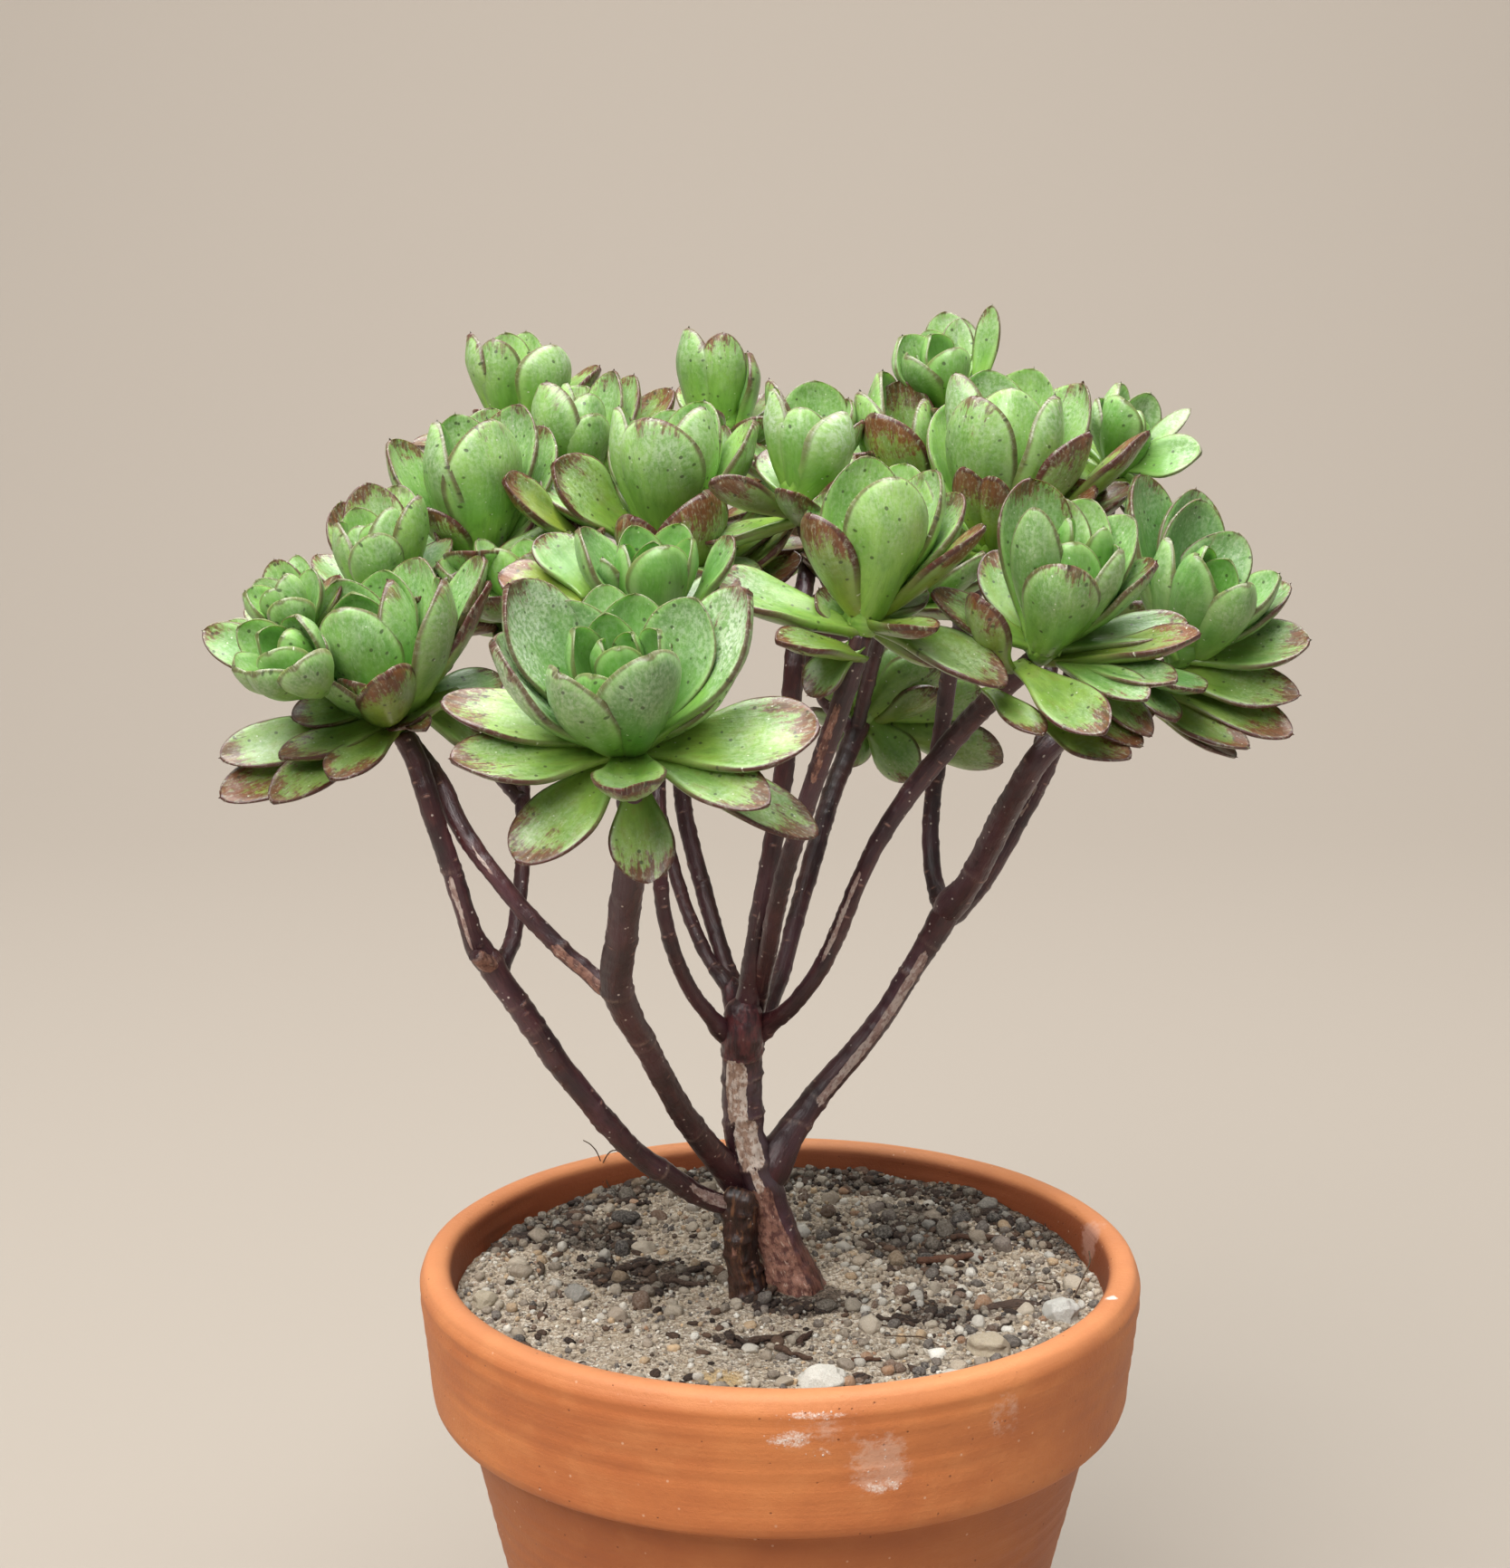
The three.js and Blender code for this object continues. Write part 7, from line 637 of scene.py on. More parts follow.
        (-70.5, 34, 226, -56.66, 46.53, 239.43, 11.96, 0.3, 0.12, 0.38, 0.65, -0.04),
        (-70.5, 34, 226, -91.32, 39.45, 217.88, 11.5, 0.25, 0.12, 0.38, 0.72, -0.1),
        (-70.5, 34, 226, -62.68, 16.71, 239, 11.04, 0.2, 0.12, 0.38, 0.78, -0.03),
        (-70.5, 34, 226, -66.49, 56.59, 224.39, 10.58, 0.15, 0.12, 0.38, 0.85, -0.17),
    ]},
}
# loose stones: name, x, y, three half-widths, turn, colour, slot
STONES = [
    ("stone_white_front", 6.6, -42.6, 4.4, 3.2, 2.9, 0.4, (222, 217, 206), "pale_stone"),
    ("stone_pumice_right", 49.5, -14.2, 3.8, 3.1, 2.9, 1.1, (207, 205, 198), "pale_stone"),
    ("stone_beige_right", 35.5, -30.5, 3.9, 3.2, 2.6, 0.2, (185, 170, 146), "beige_stone"),
    ("stone_beige_left", -53.0, -7.0, 2.5, 2.1, 1.9, 0.8, (179, 166, 143), "beige_stone"),
    ("stone_grey_left", -36.5, -5.5, 2.8, 2.0, 1.8, 2.0, (143, 139, 132), "grey_stone"),
    ("bark_chip_right", 41.5, -9.0, 6.2, 1.9, 1.3, 0.15, (74, 59, 52), "bark_chip"),
]
# bluish tone of each rosette, which also paints shade (higher is darker), waxy film with painted sheen, and the ones
# nearest the front
TONE_SHADE = {"rosette_front": 0.75, "rosette_bud_rear": 0.85, "rosette_left": 0.5, "rosette_far_left_low": 0.45, "rosette_far_left_high": 0.4,
        "rosette_top_right": 0.35, "rosette_right_front": 0.42, "rosette_right": 0.8, "rosette_right_tip": 0.5,
        "rosette_closed_bud": 0.0, "rosette_centre_high": 0.02, "rosette_centre_right": 0.08, "rosette_upper_left": 0.18, "rosette_top_left": 0.15, "rosette_right_high": 0.15}
WAX_SHEEN = {"rosette_front": 0.40, "rosette_bud_rear": 0.18, "rosette_right_front": 0.40, "rosette_closed_bud": 0.75, "rosette_centre_right": 0.5, "rosette_centre_high": 0.55,
          "rosette_upper_left": 0.45, "rosette_top_left": 0.45, "rosette_right_tip": 0.65, "rosette_top_right": 0.45, "rosette_right_high": 0.45}
CLOSE = {"rosette_front", "rosette_bud_rear", "rosette_left", "rosette_right_front", "rosette_centre_right", "rosette_centre_high", "rosette_closed_bud", "rosette_right", "rosette_upper_left", "rosette_right_high"}


# ---------------------------------------------------------------- helpers


def hashed(ix, iy, iz, seed):
    n = (ix * 374761393 + iy * 668265263 + iz * 1274126177 + seed * 97463477) & 0xFFFFFFFF
    n = ((n ^ (n >> 13)) * 1103515245) & 0xFFFFFFFF
    return ((n ^ (n >> 16)) & 0xFFFFFF) / 16777215.0


def noise(p, seed=0):
    """Smooth value noise from 0 to 1 at points p (N, 3)."""
    p = np.asarray(p, float)
    i = np.floor(p).astype(np.int64)
    f = p - i
    f = f * f * (3 - 2 * f)
    out = 0
    for dx in (0, 1):
        for dy in (0, 1):
            for dz in (0, 1):
                w = (f[..., 0] if dx else 1 - f[..., 0]) * (f[..., 1] if dy else 1 - f[..., 1]) * (f[..., 2] if dz else 1 - f[..., 2])
                out = out + w * hashed(i[..., 0] + dx, i[..., 1] + dy, i[..., 2] + dz, seed)
    return out


def fbm(p, octaves=4, seed=0, gain=0.5):
    p = np.asarray(p, float)
    a, s, t = 1.0, 0.0, 0.0
    for o in range(octaves):
        s = s + a * noise(p * 2 ** o + 17.3 * o, seed + o)
        t += a
        a *= gain
    return s / t


def smooth(a, b, x):
    t = np.clip((np.asarray(x, float) - a) / (b - a), 0, 1)
    return t * t * (3 - 2 * t)


def unit(v):
    v = np.asarray(v, float)
    return v / (np.linalg.norm(v, axis=-1, keepdims=True) + 1e-12)


class Build:
    """Gathers vertices, faces and point attributes of one piece."""

    def __init__(self):
        self.v, self.q, self.t, self.mq, self.mt, self.n = [], [], [], [], [], 0
        self.a = {}

    def add(self, verts, quads=None, tris=None, mat=0, **attrs):
        verts = np.asarray(verts, float)
        k = len(verts)
        if quads is not None and len(quads):
            self.q.append(np.asarray(quads, int) + self.n)
            self.mq.append(np.full(len(quads), mat))
        if tris is not None and len(tris):
            self.t.append(np.asarray(tris, int) + self.n)
            self.mt.append(np.full(len(tris), mat))
        self.v.append(verts)
        for name, val in attrs.items():
            val = np.asarray(val, float)
            if val.ndim == 1:
                val = np.tile(val, (k, 1))
            self.a.setdefault(name, []).append((self.n, val))
        self.n += k

    def make(self, name, mats, node=None, slot=None, flat=False, body="root", stage=False):
        v = np.concatenate(self.v) * MM
        q = np.concatenate(self.q) if self.q else np.zeros((0, 4), int)
        t = np.concatenate(self.t) if self.t else np.zeros((0, 3), int)
        me = bpy.data.meshes.new(name)
        me.vertices.add(len(v))
        me.vertices.foreach_set("co", v.ravel())
        loops = np.concatenate([q.ravel(), t.ravel()])
        me.loops.add(len(loops))
        me.loops.foreach_set("vertex_index", loops)
        start = np.concatenate([np.arange(len(q)) * 4, len(q) * 4 + np.arange(len(t)) * 3])
        me.polygons.add(len(start))
        me.polygons.foreach_set("loop_start", start)
        mi = np.concatenate((self.mq or [np.zeros(0, int)]) + (self.mt or [np.zeros(0, int)]))
        me.polygons.foreach_set("material_index", mi.astype(np.int32))
        me.polygons.foreach_set("use_smooth", np.full(len(start), not flat))
        me.update(calc_edges=True)
        me.validate()
        for key, parts in self.a.items():
            width = parts[0][1].shape[1]
            full = np.zeros((len(v), width))
            for at, val in parts:
                full[at:at + len(val)] = val
            if width == 4:
                me.attributes.new(key, "FLOAT_COLOR", "POINT").data.foreach_set("color", full.ravel())
            elif width == 3:
                me.attributes.new(key, "FLOAT_VECTOR", "POINT").data.foreach_set("vector", full.ravel())
            else:
                me.attributes.new(key, "FLOAT", "POINT").data.foreach_set("value", full.ravel())
        for m in mats:
            me.materials.append(m)
        o = bpy.data.objects.new(name, me)
        bpy.context.scene.collection.objects.link(o)
        if stage:
            return o
        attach(o, body)
        if node:
            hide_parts(*([node] if isinstance(node, str) else node))
        return o


def ring_quads(rows, cols, closed=True):
    """Quads between rows rings of cols points each."""
    i = np.arange(rows - 1)[:, None]
    k = np.arange(cols if closed else cols - 1)[None, :]
    k2 = (k + 1) % cols
    q = np.stack(np.broadcast_arrays(i * cols + k, i * cols + k2, (i + 1) * cols + k2, (i + 1) * cols + k), -1)
    return q.reshape(-1, 4)


def fan(centre, first, cols, flip=False):
    k = np.arange(cols)
    t = np.stack([np.full(cols, centre), first + k, first + (k + 1) % cols], -1)
    return t[:, ::-1] if flip else t


def spline(line, step):
    """Catmull-Rom curve through (x, y, z, r) points, resampled every step mm: (points, radii, arc)."""
    p = np.asarray(line, float)
    if len(p) == 2:
        p = np.array([p[0], (p[0] * 2 + p[1]) / 3, (p[0] + p[1] * 2) / 3, p[1]])
    e = np.vstack([2 * p[0] - p[1], p, 2 * p[-1] - p[-2]])
    out = []
    for i in range(1, len(e) - 2):
        a, b, c, d = e[i - 1], e[i], e[i + 1], e[i + 2]
        u = np.linspace(0, 1, 16, endpoint=False)[:, None]
        out.append(0.5 * (2 * b + (c - a) * u + (2 * a - 5 * b + 4 * c - d) * u ** 2 + (3 * b - a - 3 * c + d) * u ** 3))
    out.append(e[-2][None, :])
    q = np.concatenate(out)
    arc = np.concatenate([[0], np.cumsum(np.linalg.norm(np.diff(q[:, :3], axis=0), axis=1))])
    n = max(3, int(round(arc[-1] / step)) + 1)
    at = np.linspace(0, arc[-1], n)
    r = np.stack([np.interp(at, arc, q[:, k]) for k in range(4)], 1)
    return r[:, :3], r[:, 3], at


def frames(pts):
    """Rotation-minimising frames along a curve: tangents and two normals."""
    t = np.gradient(pts, axis=0)
    t = unit(t)
    n = len(pts)
    x = np.zeros((n, 3))
    ref = np.array([0.31, 0.9, 0.22])
    x[0] = unit(ref - t[0] * (ref @ t[0]))
    for i in range(1, n):
        v = x[i - 1] - t[i] * (x[i - 1] @ t[i])
        x[i] = unit(v)
    return t, x, np.cross(t, x)


# ---------------------------------------------------------------- materials


def rgb(r, g, b):
    def lin(c):
        c /= 255.0
        return c / 12.92 if c <= 0.04045 else ((c + 0.055) / 1.055) ** 2.4
    return (lin(r), lin(g), lin(b), 1.0)


class Look:
    """A node material round one Principled shader."""

    def __init__(self, name, **fixed):
        self.m = bpy.data.materials.new(name)
        self.m.use_nodes = True
        self.t = self.m.node_tree
        self.t.nodes.clear()
        out = self.t.nodes.new("ShaderNodeOutputMaterial")
        self.b = self.t.nodes.new("ShaderNodeBsdfPrincipled")
        self.t.links.new(self.b.outputs["BSDF"], out.inputs["Surface"])
        for k, v in fixed.items():
            self.put(self.b.inputs[k.replace("_", " ")], v)

    def put(self, sock, v):
        if isinstance(v, bpy.types.NodeSocket):
            self.t.links.new(v, sock)
        elif v is not None:
            sock.default_value = v

    def set(self, name, v):
        self.put(self.b.inputs[name], v)

    def attr(self, name, out="Color"):
        n = self.t.nodes.new("ShaderNodeAttribute")
        n.attribute_name = name
        return n.outputs[out]

    def attr4(self, name):
        n = self.t.nodes.new("ShaderNodeAttribute")
        n.attribute_name = name
        s = self.t.nodes.new("ShaderNodeSeparateColor")
        self.t.links.new(n.outputs["Color"], s.inputs[0])
        return s.outputs[0], s.outputs[1], s.outputs[2], n.outputs["Alpha"]

    def xyz(self, v):
        s = self.t.nodes.new("ShaderNodeSeparateXYZ")
        self.put(s.inputs[0], v)
        return s.outputs[0], s.outputs[1], s.outputs[2]

    def f(self, op, a, b=None, c=None, clamp=False):
        n = self.t.nodes.new("ShaderNodeMath")
        n.operation = op
        n.use_clamp = clamp
        for i, v in enumerate((a, b, c)):
            if v is not None:
                self.put(n.inputs[i], v)
        return n.outputs[0]

    def scale(self, v, s):
        n = self.t.nodes.new("ShaderNodeVectorMath")
        n.operation = "MULTIPLY"
        self.put(n.inputs[0], v)
        n.inputs[1].default_value = s
        return n.outputs[0]

    def shift(self, v, s):
        n = self.t.nodes.new("ShaderNodeVectorMath")
        n.operation = "ADD"
        self.put(n.inputs[0], v)
        self.put(n.inputs[1], s)
        return n.outputs[0]

    def noise(self, v, scale=1.0, detail=3.0, rough=0.55, distort=0.0, out=0):
        n = self.t.nodes.new("ShaderNodeTexNoise")
        self.put(n.inputs["Vector"], v)
        n.inputs["Scale"].default_value = scale
        n.inputs["Detail"].default_value = detail
        n.inputs["Roughness"].default_value = rough
        n.inputs["Distortion"].default_value = distort
        return n.outputs[out]

    def cells(self, v, scale=1.0, rand=1.0, out="Distance", feature="F1"):
        n = self.t.nodes.new("ShaderNodeTexVoronoi")
        n.feature = feature
        self.put(n.inputs["Vector"], v)
        n.inputs["Scale"].default_value = scale
        n.inputs["Randomness"].default_value = rand
        return n.outputs[out] if out != "both" else (n.outputs["Distance"], n.outputs["Color"])

    def step(self, x, lo, hi, a=0.0, b=1.0):
        """Smooth step of x from lo to hi, giving a to b."""
        n = self.t.nodes.new("ShaderNodeMapRange")
        n.interpolation_type = "SMOOTHSTEP"
        self.put(n.inputs[0], x)
        n.inputs[1].default_value = lo
        n.inputs[2].default_value = hi
        n.inputs[3].default_value = a
        n.inputs[4].default_value = b
        return n.outputs[0]

    def ramp(self, x, *stops):
        n = self.t.nodes.new("ShaderNodeValToRGB")
        e = n.color_ramp.elements
        while len(e) > 1:
            e.remove(e[-1])
        e[0].position, e[0].color = stops[0]
        for p, c in stops[1:]:
            k = e.new(p)
            k.color = c
        self.put(n.inputs[0], x)
        return n.outputs[0]

    def mix(self, fac, a, b, mode="MIX"):
        n = self.t.nodes.new("ShaderNodeMix")
        n.data_type = "RGBA"
        n.blend_type = mode
        n.clamp_factor = True
        self.put(n.inputs[0], fac)
        self.put(n.inputs[6], a)
        self.put(n.inputs[7], b)
        return n.outputs[2]

    def bump(self, height, distance, strength=1.0, under=None):
        n = self.t.nodes.new("ShaderNodeBump")
        n.inputs["Strength"].default_value = strength
        n.inputs["Distance"].default_value = distance
        self.put(n.inputs["Height"], height)
        if under is not None:
            self.put(n.inputs["Normal"], under)
        return n.outputs[0]


def leaf_look():
    k = Look("aeonium_leaf", IOR=1.45)
    s, v, side, age = k.attr4("leafA")
    e10, seed, wax_sheen, tone_shade = k.attr4("leafB")
    P = k.attr("leafP", "Vector")
    edge = k.f("MULTIPLY", e10, 10.0)
    broad = k.noise(k.scale(P, (0.11, 0.20, 1.0)), 1.0, 2.0)
    streak = k.noise(k.scale(P, (0.16, 1.55, 1.0)), 1.0, 3.0, 0.6)
    dash = k.noise(k.scale(P, (0.42, 2.6, 1.0)), 1.0, 2.0, 0.6)
    fine = k.noise(k.scale(P, (1.5, 1.5, 1.0)), 1.0, 3.0, 0.6)
    # young to mature green; young leaves turn bluer and darker by their tone, which is painted shade; paler towards the
    # base
    green = k.mix(k.step(broad, 0.3, 0.7), LEAF["deep"], LEAF["light"])
    green = k.mix(k.f("MULTIPLY", k.f("MULTIPLY", tone_shade, 0.9), k.step(age, 0.80, 0.55)), green, LEAF["blue_shade"])
    basal = k.step(s, 0.5, 0.02)
    green = k.mix(k.f("MULTIPLY", basal, 0.42), green, LEAF["base"])
    green = k.mix(k.f("MULTIPLY", k.step(age, 0.26, 0.06), 0.60), green, LEAF["heart"])
    green = k.mix(k.f("MULTIPLY", k.step(streak, 0.45, 0.78), 0.13), green, LEAF["pale"])
    mottle = k.noise(k.scale(P, (0.34, 0.75, 1.1)), 1.0, 4.0, 0.62)
    green = k.mix(k.f("MULTIPLY", k.step(dash, 0.50, 0.30), 0.12), green, LEAF["dark"])
    green = k.mix(k.f("MULTIPLY", k.step(mottle, 0.50, 0.32), k.f("ADD", 0.10, k.f("MULTIPLY", age, 0.34))), green, LEAF["dark"])
    # old leaves turn yellow-green
    old = k.f("ADD", k.f("MULTIPLY", k.step(age, 0.55, 0.80), 0.25), k.f("MULTIPLY", k.step(age, 0.82, 0.97), 0.75))
    yellow = k.mix(k.step(broad, 0.35, 0.65), LEAF["olive"], LEAF["yellow"])
    green = k.mix(k.f("MULTIPLY", old, k.f("ADD", 0.55, k.f("MULTIPLY", broad, 0.5))), green, yellow)
    # painted shade: old lower leaves, shaded by those above, darken towards dark olive by their tone; olive clouding on
    # old leaves
    lower_leaf_shade = k.f("MULTIPLY", k.step(age, 0.52, 0.80), tone_shade)
    green = k.mix(k.f("MULTIPLY", lower_leaf_shade, 0.62), green, rgb(82, 106, 38))
    green = k.mix(k.f("MULTIPLY", k.f("MULTIPLY", k.step(mottle, 0.50, 0.64), k.step(age, 0.45, 0.80)), 0.36), green, rgb(120, 124, 54))
    # waxy silver film on the outer half, partly a painted sheen of bright sky light
    patch = k.noise(k.scale(P, (0.20, 0.24, 1.3)), 1.0, 3.0, 0.55)
    wax_and_sheen = k.f("MULTIPLY", k.step(k.f("ADD", s, k.f("MULTIPLY", k.f("SUBTRACT", patch, 0.5), 0.7)), 0.35, 1.0), wax_sheen)
    wax_and_sheen = k.f("MULTIPLY", wax_and_sheen, k.f("ADD", 0.30, k.f("MULTIPLY", k.step(fine, 0.36, 0.66), 1.0)), clamp=True)
    green = k.mix(wax_and_sheen, green, LEAF["wax_sheen"])
    # a paler line just inside the margin
    rimlight = k.f("MULTIPLY", k.step(edge, 1.5, 0.7), k.step(s, 0.2, 0.5))
    green = k.mix(k.f("MULTIPLY", rimlight, 0.26), green, LEAF["pale"])
    # brown strokes that creep in from the tip and the margin with age
    reach = k.f("MULTIPLY", k.f("SUBTRACT", s, k.f("SUBTRACT", 1.08, k.f("MULTIPLY", age, 0.42))), 2.1)
    near = k.f("MULTIPLY", k.step(edge, 3.4, 0.1), k.f("MULTIPLY", age, 0.42))
    near = k.f("MULTIPLY", near, k.step(s, 0.35, 0.85))
    cloud = k.noise(k.scale(P, (0.14, 0.26, 1.7)), 1.0, 2.0, 0.5)
    m = k.f("ADD", k.f("ADD", reach, near), k.f("MULTIPLY", k.f("SUBTRACT", cloud, 0.5), 1.5))
    m = k.f("ADD", m, k.f("MULTIPLY", k.f("SUBTRACT", dash, 0.5), 1.1))
    m = k.f("ADD", m, k.f("MULTIPLY", k.f("SUBTRACT", fine, 0.5), 1.1))
    m = k.f("ADD", m, k.f("MULTIPLY", k.f("SUBTRACT", mottle, 0.5), 0.9))
    blot = k.step(m, 0.08, 0.56)
    blot = k.f("MULTIPLY", blot, k.step(age, 0.22, 0.50))
    brown = k.mix(k.step(streak, 0.3, 0.7), LEAF["wine"], LEAF["rust"])
    brown = k.mix(k.f("MULTIPLY", wax_sheen, 0.35), brown, LEAF["greyrust"])
    brown = k.mix(k.f("MULTIPLY", k.step(age, 0.86, 0.92), 0.50), brown, rgb(126, 58, 34))
    halo = k.f("MULTIPLY", k.step(m, -0.20, 0.35), k.step(age, 0.35, 0.80))
    green = k.mix(k.f("MULTIPLY", halo, 0.34), green, LEAF["olive"])
    col = k.mix(k.f("MULTIPLY", blot, 0.90), green, brown)
    # worn silvery skin inside the brown
    scuff = k.f("MULTIPLY", k.f("MULTIPLY", k.step(patch, 0.56, 0.72), blot), k.f("MULTIPLY", wax_sheen, 0.42))
    col = k.mix(scuff, col, rgb(176, 158, 148))
    # thin brown margin
    wob = k.f("SUBTRACT", edge, k.f("MULTIPLY", cloud, 0.30))
    line = k.step(k.f("SUBTRACT", wob, k.f("MULTIPLY", age, 0.20)), 0.29, -0.04)
    line = k.f("MULTIPLY", line, k.step(s, 0.20, 0.70))
    line = k.f("MULTIPLY", line, k.f("ADD", 0.58, k.f("MULTIPLY", age, 0.55)), clamp=True)
    col = k.mix(line, col, LEAF["margin"])
    # a dry dusting of pale scurf on the outer half
    scurf = k.noise(k.scale(P, (1.1, 2.3, 1.9)), 1.0, 5.0, 0.72)
    dusty = k.f("MULTIPLY", k.step(scurf, 0.50, 0.66), k.step(k.f("ADD", s, k.f("MULTIPLY", k.f("SUBTRACT", cloud, 0.5), 0.9)), 0.30, 0.95))
    dusty = k.f("MULTIPLY", dusty, k.step(age, 0.02, 0.30))
    col = k.mix(k.f("MULTIPLY", dusty, 0.34), col, rgb(196, 204, 176))
    pit = k.f("MULTIPLY", k.step(scurf, 0.44, 0.34), k.step(s, 0.25, 0.9))
    col = k.mix(k.f("MULTIPLY", pit, 0.22), col, rgb(84, 78, 48))
    # specks of dust and soil
    d, c = k.cells(k.shift(k.scale(P, (1.0, 1.0, 1.0)), (3.1, 7.7, 0.0)), 0.62, 1.0, "both")
    pick = k.xyz(c)[0]
    dot = k.f("MULTIPLY", k.step(d, 0.23, 0.13), k.step(pick, 0.58, 0.60))
    col = k.mix(k.f("MULTIPLY", dot, 0.72), col, rgb(48, 50, 30))
    d2, c2 = k.cells(k.shift(P, (9.3, 2.1, 4.0)), 0.95, 1.0, "both")
    wdot = k.f("MULTIPLY", k.step(d2, 0.18, 0.09), k.step(k.xyz(c2)[1], 0.86, 0.88))
    col = k.mix(k.f("MULTIPLY", wdot, 0.60), col, rgb(226, 226, 210))
    k.set("Base Color", col)
    r = k.f("ADD", 0.29, k.f("MULTIPLY", fine, 0.14))
    r = k.f("ADD", r, k.f("MULTIPLY", wax_and_sheen, 0.10))
    k.set("Roughness", r)
    k.set("Specular IOR Level", 0.55)
    k.set("Coat Weight", 0.26)
    k.set("Coat Roughness", 0.36)
    k.set("Subsurface Weight", 0.16)
    k.set("Subsurface Radius", (0.9, 1.5, 0.35))
    k.set("Subsurface Scale", 0.0016)
    h = k.f("ADD", k.f("MULTIPLY", fine, 0.5), k.f("MULTIPLY", streak, 0.6))
    k.set("Normal", k.bump(h, 0.00022, 0.5))
    return k.m


LEAF = dict(
    deep=rgb(108, 156, 58), light=rgb(144, 188, 82), blue_shade=rgb(73, 125, 56), base=rgb(162, 192, 86), heart=rgb(94, 152, 50),
    pale=rgb(178, 208, 136), dark=rgb(54, 92, 34), olive=rgb(118, 136, 44), yellow=rgb(172, 184, 60),
    wax_sheen=rgb(194, 210, 178), wine=rgb(70, 30, 28), rust=rgb(118, 52, 32), greyrust=rgb(100, 64, 56),
    margin=rgb(80, 40, 32))


